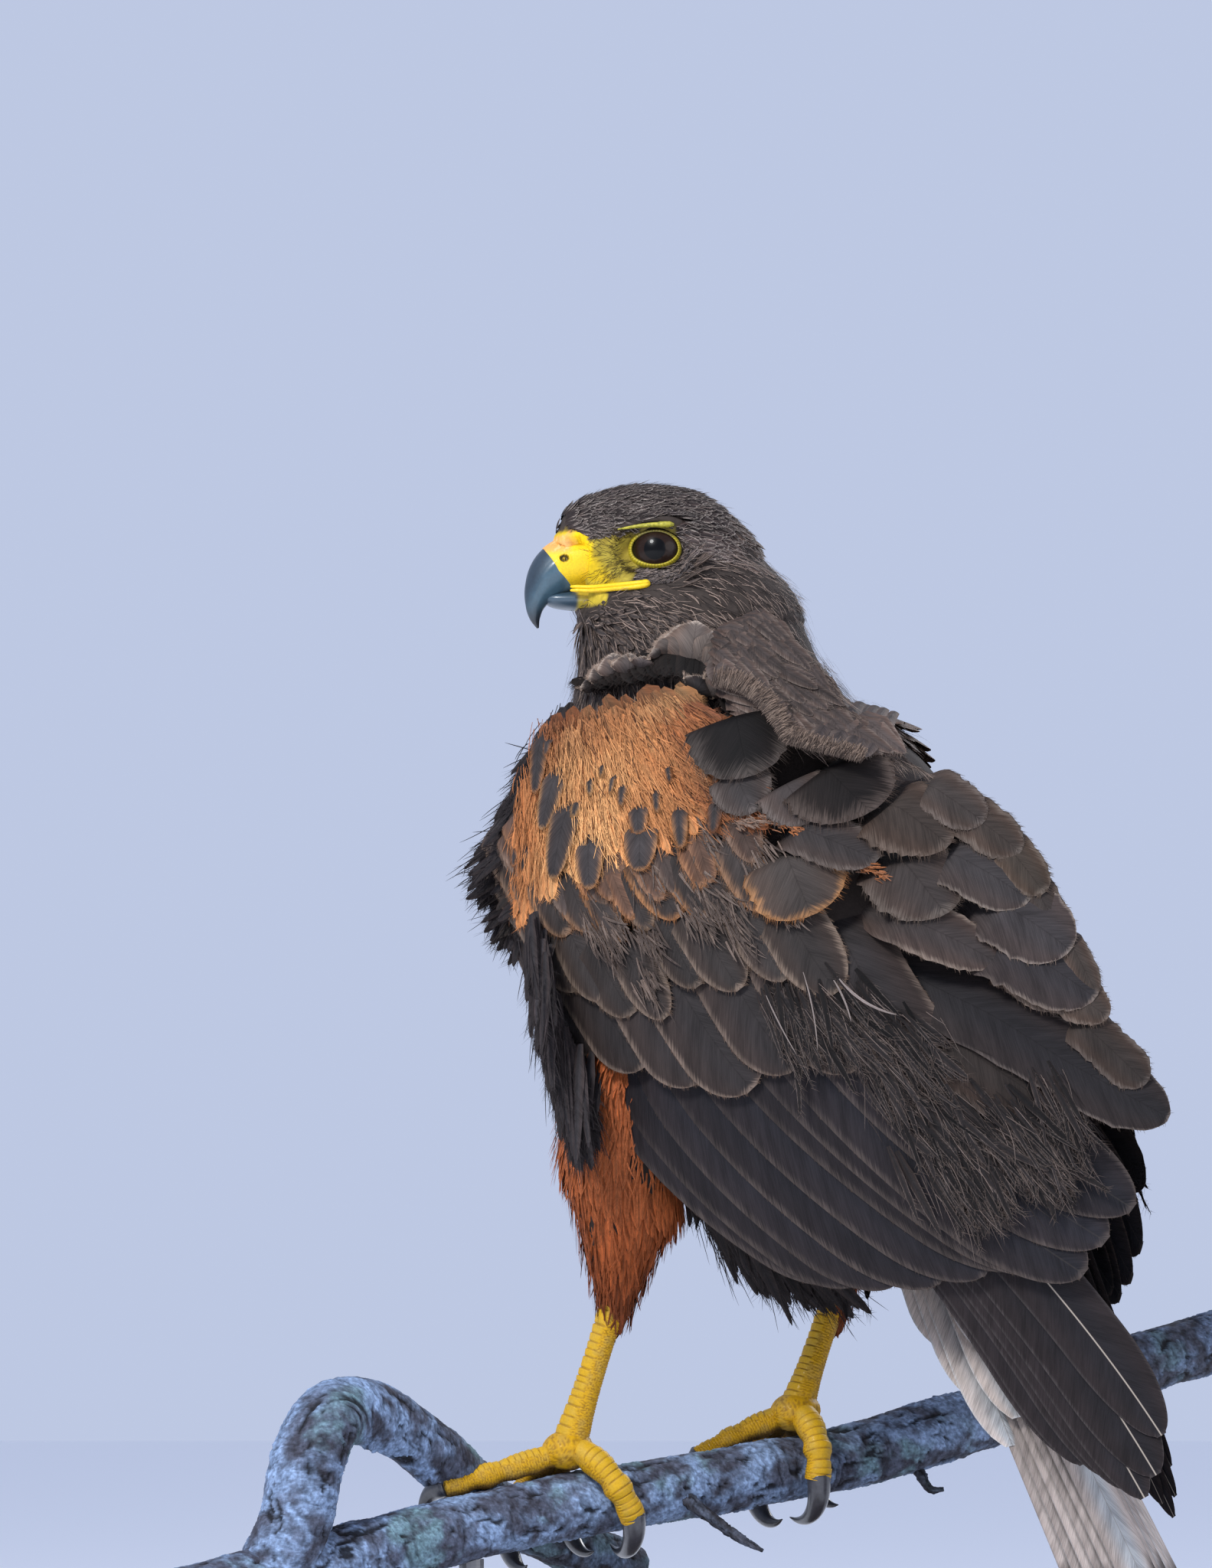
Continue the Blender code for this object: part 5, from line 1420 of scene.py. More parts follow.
def wing_vanes(side, roots, tips, half, height, thick_tilt, bow, rows, columns, lift_tip=0.0, base=0.45,
               tip_start=0.6, least=0.16, camber=0.5, ragged=0.0, root_height=-2.0):
    """Feathers that lie on a wing's surface from roots to tips."""
    roots, tips = np.asarray(roots, float), np.asarray(tips, float)
    count = len(roots)
    half, height, bow, lift_tip = (np.broadcast_to(v, count).astype(float)
                                   for v in (half, height, bow, lift_tip))
    t = feather_rows(rows)
    x = np.linspace(-1, 1, columns)
    chord = tips - roots
    length = np.linalg.norm(chord, axis=1)
    square = np.stack([-chord[:, 1], chord[:, 0]], axis=1) / length[:, None]
    square = square * np.where(square[:, 1:] < 0, -1.0, 1.0)
    middle = (roots + tips) / 2 - square * bow[:, None] * 2
    tt = t[None, :, None]
    place = (1 - tt) ** 2 * roots[:, None] + 2 * tt * (1 - tt) * middle[:, None] + tt**2 * tips[:, None]
    along = 2 * (1 - tt) * (middle - roots)[:, None] + 2 * tt * (tips - middle)[:, None]
    across = np.stack([-along[..., 1], along[..., 0]], axis=-1)
    across = across / np.linalg.norm(across, axis=-1, keepdims=True)
    across = across * np.sign((across * square[:, None]).sum(-1, keepdims=True))
    share = feather_shape(t, base, tip_start, least)
    wide = half[:, None] * share
    if ragged:
        wide = wide * (1 + ragged * rng.normal(size=wide.shape) * (t > 0.3))
    sd = place[:, :, None] + across[:, :, None] * (wide[:, :, None] * x)[..., None]
    h = (root_height + (height[:, None] - root_height) * smooth(t / 0.4)[None]
         + lift_tip[:, None] * t[None] ** 2.2)
    h = h[:, :, None] - thick_tilt * wide[:, :, None] * x + camber * (1 - x**2) * share[:, None]
    points, _ = wing_point(side, sd[..., 0], sd[..., 1], h)
    return {"points": points, "t": t, "x": x, "half": wide, "length": length, "width": half}


def wing_bake(side, roots):
    s = (np.asarray(roots)[:, 0] + 20.0) / 230.0
    d = (np.asarray(roots)[:, 1] + 90.0) / 190.0
    return chart("wing_left" if side > 0 else "wing_right", d, s)


def tier(side, count, roots, tips, half, height, tilt=0.13, bow=0.0, rows=14, columns=7, jitter=0.6, **more):
    share = np.linspace(0, 1, count)
    r = curve(share, np.linspace(0, 1, len(roots)), np.array(roots, float))
    p = curve(share, np.linspace(0, 1, len(tips)), np.array(tips, float))
    r = r + rng.normal(size=r.shape) * jitter * 0.5
    p = p + rng.normal(size=p.shape) * jitter
    w = lerp(half[0], half[1], share) * (1 + 0.04 * rng.normal(size=count))
    batch = wing_vanes(side, r, p, w, height, tilt, bow, rows, columns, **more)
    return batch, wing_bake(side, r)


def on_wing(side, s, d, h, ds, dd):
    """Places on a wing, the ways out, and the ways that a step of (ds, dd) leads."""
    place, normal = wing_point(side, s, d, h)
    length = np.hypot(ds, dd)
    ahead, _ = wing_point(side, s + ds / length, d + dd / length, h)
    return place, normal, unit(ahead - place)


# The single feathers of the shoulder blade and the inner wing: root, tip, half width, height, bow,
# colour of the middle, colour of the rim, rim's width
SLATE_DARK = srgb(50, 47, 49)
BROWN_DARK = srgb(68, 60, 56)
BROWN_SOFT = srgb(84, 74, 68)
SCAPULARS = (
    ((63.7, 37.1), (-17.6, 80.8), 11.0, 8.6, 3.0, SLATE_DARK, srgb(128, 116, 108), 0.7),
    ((46.8, 34.5), (-2.5, 56.9), 12.0, 7.6, 1.0, srgb(62, 54, 50), srgb(104, 92, 84), 1.2),
    ((32.3, 67.1), (-4.1, 80.2), 7.5, 9.0, 0.0, BROWN_DARK, srgb(120, 108, 100), 1.2),
    ((53.8, 57.8), (27.9, 69.2), 7.0, 9.6, 0.0, BROWN_SOFT, srgb(140, 124, 112), 1.2),
    ((46.9, 64.1), (17.0, 79.7), 8.0, 9.8, 0.0, BROWN_SOFT, srgb(140, 124, 112), 1.2),
    ((64.9, 53.3), (23.7, 78.7), 13.0, 10.6, -1.0, srgb(66, 62, 64), srgb(152, 136, 124), 1.0),
    ((84.9, 33.7), (47.3, 58.2), 8.0, 10.4, 0.0, srgb(80, 72, 70), srgb(160, 142, 128), 1.0),
    ((73.7, 56.6), (42.8, 77.3), 12.5, 11.6, -1.0, srgb(76, 71, 72), srgb(170, 154, 142), 0.9),
    ((52.6, 80.1), (27.4, 79.5), 5.0, 10.4, 0.0, BROWN_SOFT, srgb(130, 118, 108), 1.0),
    ((74.5, 76.8), (43.9, 79.0), 6.5, 11.0, 0.0, srgb(76, 68, 64), srgb(130, 118, 108), 1.2),
    ((98.2, 45.2), (66.7, 50.1), 12.0, 11.6, 0.0, srgb(80, 72, 69), srgb(126, 114, 104), 2.2),
    ((93.0, 52.1), (61.8, 72.7), 10.5, 12.4, -1.0, srgb(76, 71, 71), srgb(158, 144, 132), 0.9),
    ((88.2, 72.7), (61.2, 78.8), 7.5, 12.0, 0.0, srgb(82, 72, 64), srgb(134, 120, 108), 1.4),
    ((112.1, 21.8), (81.5, 24.1), 12.5, 12.8, 0.0, srgb(84, 76, 72), srgb(206, 148, 96), 1.9),
    ((102.6, 64.3), (75.9, 78.7), 8.0, 12.6, 0.0, srgb(82, 72, 66), srgb(128, 116, 106), 1.6),
    ((118.3, 21.4), (90.5, 42.6), 7.5, 13.4, 0.0, srgb(70, 64, 63), srgb(126, 114, 106), 1.4),
    ((131.1, 28.0), (107.6, 30.9), 9.0, 13.6, 0.0, srgb(84, 76, 74), srgb(124, 114, 108), 2.2),
    ((141.2, 17.9), (120.9, 19.0), 8.0, 13.0, 0.0, srgb(76, 70, 69), srgb(118, 108, 102), 2.2),
    ((113.0, 46.0), (85.8, 59.0), 12.0, 13.8, 0.0, srgb(78, 68, 62), srgb(130, 114, 102), 2.2),
    ((114.2, 57.8), (89.4, 70.5), 8.0, 13.4, 0.0, srgb(80, 72, 68), srgb(126, 114, 106), 1.6),
    # the last two lie under the hem: their near-black middles are their own dark colour and the hem's painted
    # shadow
    ((131.6, 38.6), (104.3, 44.6), 14.0, 14.2, 0.0, srgb(38, 33, 32), srgb(110, 96, 88), 3.4),
    ((160.9, 26.1), (130.5, 21.1), 14.0, 14.6, 0.0, srgb(26, 22, 22), srgb(104, 94, 88), 3.8),
)
# Locks of loose barbs over the inner wing: root, tip, how far they spread
LOCKS = (
    ((46.5, 25.4), (19.4, 31.7), 4.0),
    ((55.7, 18.3), (29.5, 23.1), 4.0),
    ((64.1, 12.9), (34.1, 15.0), 4.0),
    ((69.7, 3.1), (41.9, 1.5), 3.0),
    ((24.0, 23.7), (-1.8, 27.1), 4.0),
    ((16.8, 31.6), (-15.0, 36.6), 4.5),
    ((9.8, 39.4), (-25.4, 45.0), 4.5),
    ((-2.7, 42.4), (-28.6, 45.8), 4.0),
    ((37.2, 18.7), (12.8, 20.4), 3.5),
    ((-4.8, 27.9), (-25.3, 26.7), 3.5),
    ((9.7, 21.2), (-23.2, 23.0), 4.0),
    ((12.5, 53.2), (-18.9, 52.3), 4.0),
)
# Dark middles of the orange shoulder's feathers: upper end, lower end, half width
OVALS = (
    (180.4, -37.2, 165.3, -44.4, 2.7),
    (165.9, -35.3, 151.9, -44.2, 3.7),
    (154.2, -34.3, 137.9, -46.3, 4.7),
    (162.0, -53.3, 149.4, -61.8, 2.1),
    (140.3, -11.8, 130.9, -15.9, 2.9),
    (134.3, -12.0, 120.2, -18.8, 5.2),
    (142.8, -4.0, 134.8, -6.0, 1.0),
    (129.5, 11.4, 120.6, 8.1, 1.7),
    (149.6, -14.2, 143.1, -17.7, 1.1),
    (158.2, -23.7, 152.8, -25.5, 0.8),
    (155.1, -17.5, 148.8, -19.3, 0.5),
    (158.9, -19.4, 154.2, -20.5, 0.5),
    (147.2, 1.1, 141.9, -0.1, 0.6),
    (131.4, 18.3, 126.5, 16.8, 0.6),
    (153.3, -52.9, 145.0, -58.6, 1.4),
    (153.3, -31.0, 148.7, -34.0, 1.2),
    (177.7, -34.5, 173.9, -37.2, 1.0),
    (140.0, -30.0, 126.0, -36.0, 4.4),
    (133.0, 0.0, 121.0, -4.0, 2.2),
)
# The lower edge of the dark hollow under the turned neck feathers, in points of the image
HOLLOW = ((745, 760, 800, 830, 860, 890, 905, 930, 980), (912, 905, 897, 890, 884, 882, 894, 910, 940))
ORANGE_FRONT = ((112, 128, 147, 164, 181, 200), (-68, -70, -64, -52, -39, -25))
ORANGE_REAR = ((108, 118, 127, 157, 181, 200), (20, 17, 15, 15, 8, -14))
ORANGE_LOW = ((-70, -62, -33, -13, 14, 22), (132, 130, 127, 122, 113, 112))


def orange_colour(s, d):
    """The shoulder's colour: a painted highlight in the middle; redder and darker to the top and back, its
    own red and painted shade.
    """
    s, d = np.asarray(s, float), np.asarray(d, float)
    q = np.stack([s * 0.07, d * 0.07, 0 * s], axis=-1)
    cloud = layered(q, 3, 15)
    # painted highlight in the middle of the shoulder
    painted_highlight = np.exp(-(((s - 150.0) / 24.0) ** 2) - ((d + 26.0) / 24.0) ** 2)
    # redder and darker to the top and the back: partly the feathers' own red, partly painted shade
    red_and_shade = smooth((s - 160.0) / 26.0) * 0.75 + smooth((d + 6.0) / 20.0) * 0.8
    red_and_shade = np.clip(red_and_shade + 0.5 * cloud, 0, 1)[..., None]
    painted_highlight = np.clip(painted_highlight + 0.5 * cloud, 0, 1)[..., None]
    colour = lerp(srgb(172, 108, 58), srgb(104, 56, 36), red_and_shade)
    return (colour * (1 - 0.75 * painted_highlight) + srgb(224, 166, 98) * 0.8 * painted_highlight) * (0.9, 1.02, 1.36)


def hollow_depth(side, s, d):
    """How much lower the orange feathers lie where they go in under the neck's turned ones; it also sets
    their painted shade there.
    """
    if side < 0:
        return 4.0 * smooth((np.asarray(s, float) - 176.0) / 16.0)
    px, py = seen(wing_point(side, s, d, 11.0 + 0 * s)[0])
    return 4.5 * (1 - smooth((py - np.interp(px, HOLLOW[0], HOLLOW[1])) / 44.0))


def far_edge(height, d):
    """Feathers lie closer at the wing's front edge, where the surface turns away."""
    return height * (0.35 + 0.65 * smooth((np.asarray(d, float) + 84.0) / 34.0))


def tier_feathers(side, roots, tips, half, height, core, rim, rim_mm, bow=0.0, rows=20, columns=9, loose=0,
                  reach=1.2, **more):
    """A row of feathers at given places, with its colours and loose barb ends."""
    roots, tips = np.asarray(roots, float), np.asarray(tips, float)
    count = len(roots)
    roots = roots + rng.normal(size=roots.shape) * 0.7
    tips = tips + rng.normal(size=tips.shape) * 0.9
    tilt = 0.13 + 0.02 * rng.normal()
    height = far_edge(height, tips[:, 1])
    more.setdefault("lift_tip", rng.uniform(0.0, 1.1, count))
    core, rim = np.asarray(core) * 0.46, np.asarray(rim) * 0.6
    rim_mm = rim_mm * 1.45
    batch = wing_vanes(side, roots, tips, half, height, tilt, bow, rows, columns, **more)
    dress(batch, core, rim, rim_mm, 0.62, more.get("shaft", 0.0), wing_bake(side, roots))
    return [batch, loose_barbs(batch, loose * 2 // 3, reach, thick=0.07, pale=0.62)] if loose else [batch]


def flight_feathers(side):
    """The primaries and the secondaries."""
    out = []
    batch, bake = tier(side, 8, ((64, -12), (60, 0)),
                       ((-94, 9), (-102, 12), (-113, 19), (-121, 26), (-106, 37)),
                       (9.0, 10.0), 0.0, 0.12, -5.0, 44, 9, 0.5, tip_start=0.8, camber=0.4)
    dress(batch, vary(srgb(30, 28, 31), 8, 0.05), vary(srgb(67, 62, 61), 8), 1.2, 0.45, 1.0, bake)
    out.append(batch)
    batch, bake = tier(side, 10, ((100, -64), (112, 16)),
                       ((-14, -22), (-24, -12), (-35, 12), (-42, 32), (-48, 42), (-38, 60)),
                       (12.0, 14.0), 3.6, 0.12, 9.0, 44, 11, 0.8, tip_start=0.8, camber=0.8,
                       lift_tip=0.8)
    dress(batch, vary(srgb(30, 29, 33), 10, 0.1), vary(srgb(88, 78, 72), 10), 2.8, 0.42, 0.1, bake)
    out += [batch, loose_barbs(batch, 120, 0.8, 0.1, 0.06, pale=0.7)]
    return out


def greater_coverts(side):
    """The large rounded row."""
    out = []
    tips = np.array([(114, -72), (101, -68), (84, -61), (72, -49), (57, -31), (46, -18), (45, -3), (34, 14),
                     (22, 31)])
    roots = tips + np.array([(42, 0), (44, -2), (50, -4), (54, -5), (60, -6), (64, -6), (62, -4), (66, -4),
                             (70, -4)])
    half = np.array([6.5, 8.5, 10.5, 11.5, 13.0, 13.0, 12.0, 12.0, 12.0])
    out += tier_feathers(side, roots, tips, half, 6.6, vary(srgb(62, 57, 57), 9, 0.07),
                         vary(srgb(150, 130, 116), 9, 0.12), 1.7, 2.0, 26, 11, 170, 1.1, tip_start=0.72,
                         camber=1.0)
    return out


def median_coverts(side):
    """Two rows of median coverts."""
    out = []
    index = np.linspace(0, 1, 11)
    tips = curve(index, np.linspace(0, 1, 9),
                 np.array([(136, -66), (124, -64), (107, -58), (98, -50), (89, -41), (81, -26), (77, -11),
                           (70, 5), (62, 20)], float))
    tips = tips + rng.normal(size=tips.shape) * (2.6, 1.2)
    roots = tips + np.stack([36 + 8 * index, -4 + 2 * index], axis=1)
    out += tier_feathers(side, roots, tips, 8.4 * rng.uniform(0.85, 1.1, 11), 9.0,
                         vary(srgb(68, 62, 60), 11, 0.12),
                         vary(srgb(150, 130, 114), 11, 0.14), 2.0, 1.0, 22, 9, 160, 1.6, tip_start=0.6,
                         camber=1.0)
    tips = curve(index, np.linspace(0, 1, 7),
                 np.array([(146, -64), (128, -60), (113, -48), (106, -34), (101, -20), (97, -5), (92, 12)],
                          float))
    tips = tips + rng.normal(size=tips.shape) * (3.4, 1.6)
    roots = tips + np.stack([34 + 4 * index, -3 + 2 * index], axis=1)
    mixed = rng.random((11, 1)) * 0.8
    core = vary(srgb(78, 70, 67), 11, 0.14)
    rim = lerp(vary(srgb(150, 132, 116), 11), vary(srgb(206, 140, 84), 11), mixed)
    out += tier_feathers(side, roots, tips, 7.2 * rng.uniform(0.75, 1.15, 11), 10.2, core, rim, 2.4, 0.5,
                         20, 9, 170, 2.2, tip_start=0.5, camber=1.0, least=0.1)
    return out


def loose_coverts(side):
    """A looser row of soft feathers under the orange ones."""
    out = []
    index = rng.random(16)
    tips = curve(index, np.linspace(0, 1, 7),
                 np.array([(152, -63), (138, -57), (124, -46), (116, -30), (110, -14), (108, 0), (104, 14)],
                          float))
    tips = tips + rng.normal(size=tips.shape) * 2.0
    roots = tips + np.stack([rng.uniform(20, 28, 16), -2 + 3 * index], axis=1)
    mixed = rng.random((16, 1))
    core = vary(srgb(84, 75, 72), 16, 0.14) * (1 - 0.35 * mixed) + srgb(190, 124, 76) * 0.35 * mixed
    rim = lerp(vary(srgb(140, 126, 116), 16), vary(srgb(206, 140, 84), 16), mixed)
    out += tier_feathers(side, roots, tips, rng.uniform(4.0, 6.4, 16), 11.0, core, rim, 2.2, 0.5, 18, 9, 130,
                         2.6, tip_start=0.4, camber=0.8, least=0.08)
    return out


def wing_down(side):
    """Down that shows between the coverts."""
    out = []
    count = 560 if side > 0 else 260
    centre = rng.integers(0, 16, count)
    s = rng.uniform(92, 130, 16)[centre] + rng.normal(size=count) * 3.0
    d = rng.uniform(-44, 16, 16)[centre] + rng.normal(size=count) * 2.2
    p, n, f = on_wing(side, s, d, far_edge(11.0, d) + rng.random(count), -np.ones(count),
                      0.1 + 0.2 * rng.normal(size=count))
    down = lay_feathers(p, n, f, rng.uniform(5, 12, count), rng.uniform(0.12, 0.4, count),
                        rng.uniform(0.02, 0.16, count), -0.15, 0.2, rng.normal(size=count) * 0.3, 7, 2,
                        0.8, 0.3, 0.1)
    tone = rng.random((count, 1)) ** 2
    dress(down, lerp(srgb(60, 53, 50), srgb(108, 97, 90), tone), srgb(100, 90, 83), 0.4, 0.3, 0.0,
          wing_bake(side, np.stack([s, d], axis=1)))
    out.append(down)
    return out


def orange_shoulder(side):
    """The lesser coverts."""
    out = []
    spots_s, spots_d = np.meshgrid(np.arange(106, 206, 3.9), np.arange(-70, 26, 3.9), indexing="ij")
    s = spots_s.ravel() + rng.normal(size=spots_s.size) * 1.3
    d = spots_d.ravel() + rng.normal(size=spots_s.size) * 1.3
    keep = (d > np.interp(s, *ORANGE_FRONT) - 1.0) & (d < np.interp(s, *ORANGE_REAR) + 2.0)
    keep &= (s > np.interp(d, *ORANGE_LOW) + 12.0) & (s < 203)
    if side > 0:
        px, py = seen(wing_point(side, s, d, 11.0 + 0 * s)[0])
        keep &= py > np.interp(px, HOLLOW[0], HOLLOW[1])
    s, d = s[keep], d[keep]
    count = len(s)
    turn = 0.55 * (d + 16.0) / 40.0 + 0.12 * rng.normal(size=count)
    height = far_edge(11.2, d) - 4.0 * smooth((s - 186.0) / 16.0) + rng.uniform(-0.5, 0.6, count)
    height = height - hollow_depth(side, s, d)
    p, n, f = on_wing(side, s, d, height, -np.ones(count), turn)
    fluff = lay_feathers(p, n, f, rng.uniform(11, 16, count), rng.uniform(2.2, 3.4, count),
                         rng.uniform(0.02, 0.09, count), -0.12, 0.1, rng.normal(size=count) * 0.15, 10, 5,
                         0.5, 0.25, 0.06, 0.1)
    # painted shade where the feathers go in under the hollow
    shade = (1 - 0.13 * hollow_depth(side, s, d))[:, None]
    colour = orange_colour(s, d) * (1 + 0.07 * rng.normal(size=(count, 1))) * shade
    bake = wing_bake(side, np.stack([s, d], axis=1))
    dress(fluff, np.clip(colour, 0, 1), np.clip(colour * 1.08, 0, 1), 0.9, 0.5, 0.0, bake)
    out += [fluff, loose_barbs(fluff, 34 if side > 0 else 10, 2.4, 0.35, 0.08, 0.2, 1.05)]
    reps = 12 if side > 0 else 3
    ss = np.repeat(s, reps) + rng.normal(size=count * reps) * 2.4
    dd = np.repeat(d, reps) + rng.normal(size=count * reps) * 2.4
    turn = 0.55 * (dd + 16.0) / 40.0 + 0.2 * rng.normal(size=len(ss))
    deep = hollow_depth(side, ss, dd)
    ss, dd, turn, deep = ss[deep < 3.2], dd[deep < 3.2], turn[deep < 3.2], deep[deep < 3.2]
    lie = far_edge(12.0, dd) - 4.0 * smooth((ss - 186.0) / 16.0) - deep + rng.uniform(0.0, 1.2, len(ss))
    p, n, f = on_wing(side, ss, dd, lie, -np.ones(len(ss)), turn)
    hairs = lay_feathers(p, n, f, rng.uniform(5, 12, len(ss)), 0.13, rng.uniform(0.02, 0.13, len(ss)), -0.2,
                         0.0, rng.normal(size=len(ss)) * 0.25, 5, 2, 0.8, 0.3, 0.1)
    # the hairs also take painted shade in the hollow
    colour = orange_colour(ss, dd) * (1 + 0.22 * rng.normal(size=(len(ss), 1))) * (1 - 0.13 * deep)[:, None]
    dark = rng.random((len(ss), 1)) < 0.07
    colour = np.where(dark, srgb(70, 44, 30), np.clip(colour, 0, 1))
    dress(hairs, colour, np.clip(colour * 1.2, 0, 1), 0.5, 0.4, 0.0,
          wing_bake(side, np.stack([ss, dd], axis=1)))
    out.append(hairs)
    return out


def dark_ovals(side):
    """The shoulder's feathers with dark middles."""
    out = []
    ovals = np.array(OVALS)
    roots, tips, half = ovals[:, 0:2], ovals[:, 2:4], ovals[:, 4] * 0.95 + 0.45
    rim = orange_colour(tips[:, 0], tips[:, 1]) * 1.3
    height = np.where(half > 2.0, 13.5, 13.2)
    out += tier_feathers(side, roots + (roots - tips) * 0.2, tips, half, height,
                         vary(srgb(78, 72, 72), len(tips), 0.08), rim, 1.4, 0.0,
                         20, 11, 70, 1.6, tip_start=0.42, camber=0.5, least=0.06, base=0.3,
                         root_height=11.4, lift_tip=0.2)
    return out


def scapulars(side):
    """The shoulder blade's feathers, one by one."""
    out = []
    for root, tip, half, height, bow, core, rim, rim_mm in SCAPULARS:
        loose = (190 if rim_mm > 1.3 else 100) if side > 0 else 30
        root, tip = np.array(root), np.array(tip)
        if side < 0:
            root, tip, height = root - (0.0, 13.0), tip - (0.0, 15.0), height * 0.6
        fan = rim_mm > 1.9
        out += tier_feathers(side, [root], [tip], [half], height, core[None], rim[None], rim_mm * 1.3, bow,
                             30, 13, loose, 0.7 + rim_mm * 0.8,
                             tip_start=0.5 if fan else (0.62 if tip[0] > 0 else 0.78),
                             camber=1.3, ragged=0.03, base=0.3 if fan else 0.42, least=0.12)
    return out


def hanging_locks(side):
    """Ruffled feathers whose barbs hang in locks over the inner wing."""
    out = []
    for root, tip, wide in LOCKS:
        count = 34 if side > 0 else 9
        root, tip = np.array(root), np.array(tip)
        step = tip - root
        length = np.hypot(*step)
        a = root + rng.normal(size=(count, 2)) * (2.0, wide) + step * rng.uniform(-0.1, 0.35, (count, 1))
        turn = np.arctan2(step[1], -step[0]) + rng.normal(size=count) * 0.13
        p, n, f = on_wing(side, a[:, 0], a[:, 1], rng.uniform(8.4, 10.6, count), -np.cos(turn), np.sin(turn))
        locks = lay_feathers(p, n, f, length * rng.uniform(0.55, 0.95, count), rng.uniform(0.5, 1.6, count),
                             rng.uniform(0.02, 0.1, count), rng.uniform(-0.15, 0.0, count), 0.4,
                             rng.normal(size=count) * 0.14, 10, 3, 0.5, 0.2, 0.05, 0.08)
        core = vary(srgb(30, 27, 27), count, 0.35)
        dress(locks, core, vary(srgb(96, 87, 82), count), 0.5, 0.6, 0.0, wing_bake(side, a))
        out += [locks, loose_barbs(locks, 14, 3.0, 0.1, 0.06, 0.12, 0.85)]
        count = 50 if side > 0 else 20
        a = root + rng.normal(size=(count, 2)) * (2.0, wide * 1.2) + step * rng.uniform(0.0, 0.7, (count, 1))
        turn = np.arctan2(step[1], -step[0]) + rng.normal(size=count) * 0.16
        p, n, f = on_wing(side, a[:, 0], a[:, 1], rng.uniform(9.0, 11.2, count), -np.cos(turn), np.sin(turn))
        wisps = lay_feathers(p, n, f, rng.uniform(7, 16, count), 0.11, rng.uniform(0.0, 0.12, count), -0.1,
                             0.0, rng.normal(size=count) * 0.2, 7, 2, 0.8, 0.3, 0.1)
        tone = rng.random((count, 1)) ** 2
        colour = lerp(srgb(22, 19, 19), srgb(112, 103, 98), tone)
        dress(wisps, colour, colour * 1.1, 0.4, 0.4, 0.0, wing_bake(side, a))
        out.append(wisps)
    return out


def fold_tufts(side):
    """Orange and pale tufts that stand up along the fold over the round feather."""
    out = []
    fold = np.array([(119.0, 13.0), (117.5, 18.0), (113.0, 24.0), (107.0, 28.5), (100.0, 32.5),
                     (92.0, 37.0), (84.5, 41.5)])
    count = 300 if side > 0 else 70
    index = rng.random(count) * (len(fold) - 1)
    a = curve(index, np.arange(len(fold)), fold) + rng.normal(size=(count, 2)) * 0.8
    turn = 0.75 + 0.3 * rng.normal(size=count)
    p, n, f = on_wing(side, a[:, 0], a[:, 1], rng.uniform(13.2, 14.6, count), -np.cos(turn), np.sin(turn))
    tufts = lay_feathers(p, n, f, rng.uniform(1.6, 4.0, count), rng.uniform(0.12, 0.3, count),
                         rng.uniform(-0.1, 0.06, count), -0.3, 0.2, rng.normal(size=count) * 0.25, 6, 2,
                         0.7, 0.3, 0.1)
    warm = np.clip(smooth((index - 1.2) / 1.0) + 0.2 * rng.normal(size=count), 0, 1)[:, None]
    colour = lerp(srgb(128, 112, 101), srgb(158, 102, 64), warm) * (0.5 + 0.5 * rng.random((count, 1)))
    dress(tufts, colour, colour * 1.3, 0.5, 0.4, 0.0, wing_bake(side, a))
    out.append(tufts)
    return out


def bent_quills(side):
    """Pale bent quills among the tufts."""
    out = []
    for root, tip, bend, wide in (((68.1, 1.2), (46.9, 0.0), -0.15, 0.22),
                                  ((68.8, 13.2), (43.8, 10.0), 0.25, 0.22),
                                  ((62.5, 19.1), (48.2, 20.4), 0.35, 0.3),
                                  ((62.1, 20.5), (40.5, 23.9), -0.7, 0.42)):
        step = np.array(tip) - np.array(root)
        p, n, f = on_wing(side, np.array([root[0]]), np.array([root[1]]), np.array([13.0]), step[:1],
                          step[1:])
        bent = lay_feathers(p, n, f, float(np.hypot(*step)), wide, 0.02, -0.02, 0.2, bend, 16, 3, 0.5, 0.3,
                            0.05)
        dress(bent, srgb(116, 110, 110), srgb(140, 134, 134), 0.2, 0.1, 0.3,
              wing_bake(side, np.array([root])))
        out.append(bent)
    return out


def wing_coat(side):
    flight = (flight_feathers(side) + greater_coverts(side) + median_coverts(side) + loose_coverts(side)
              + wing_down(side))
    shoulder = (orange_shoulder(side) + dark_ovals(side) + scapulars(side) + hanging_locks(side)
                + fold_tufts(side) + bent_quills(side))
    return flight, shoulder


# The mantle on a wing's surface: its lower and its upper edge
MANTLE_HEM = (
    (112.0, 115.5, 123.0, 129.0, 133.5, 144.0, 157.5, 162.0, 166.5, 178.0, 195.0),
    (76.0, 68.5, 49.0, 43.0, 37.0, 32.5, 29.5, 28.0, 29.0, 37.0, 42.0),
)
MANTLE_TOP = (
    (100.5, 118.5, 132.0, 144.0, 160.5, 171.0, 195.0),
    (74.5, 64.0, 57.5, 55.5, 52.0, 49.0, 44.0),
)


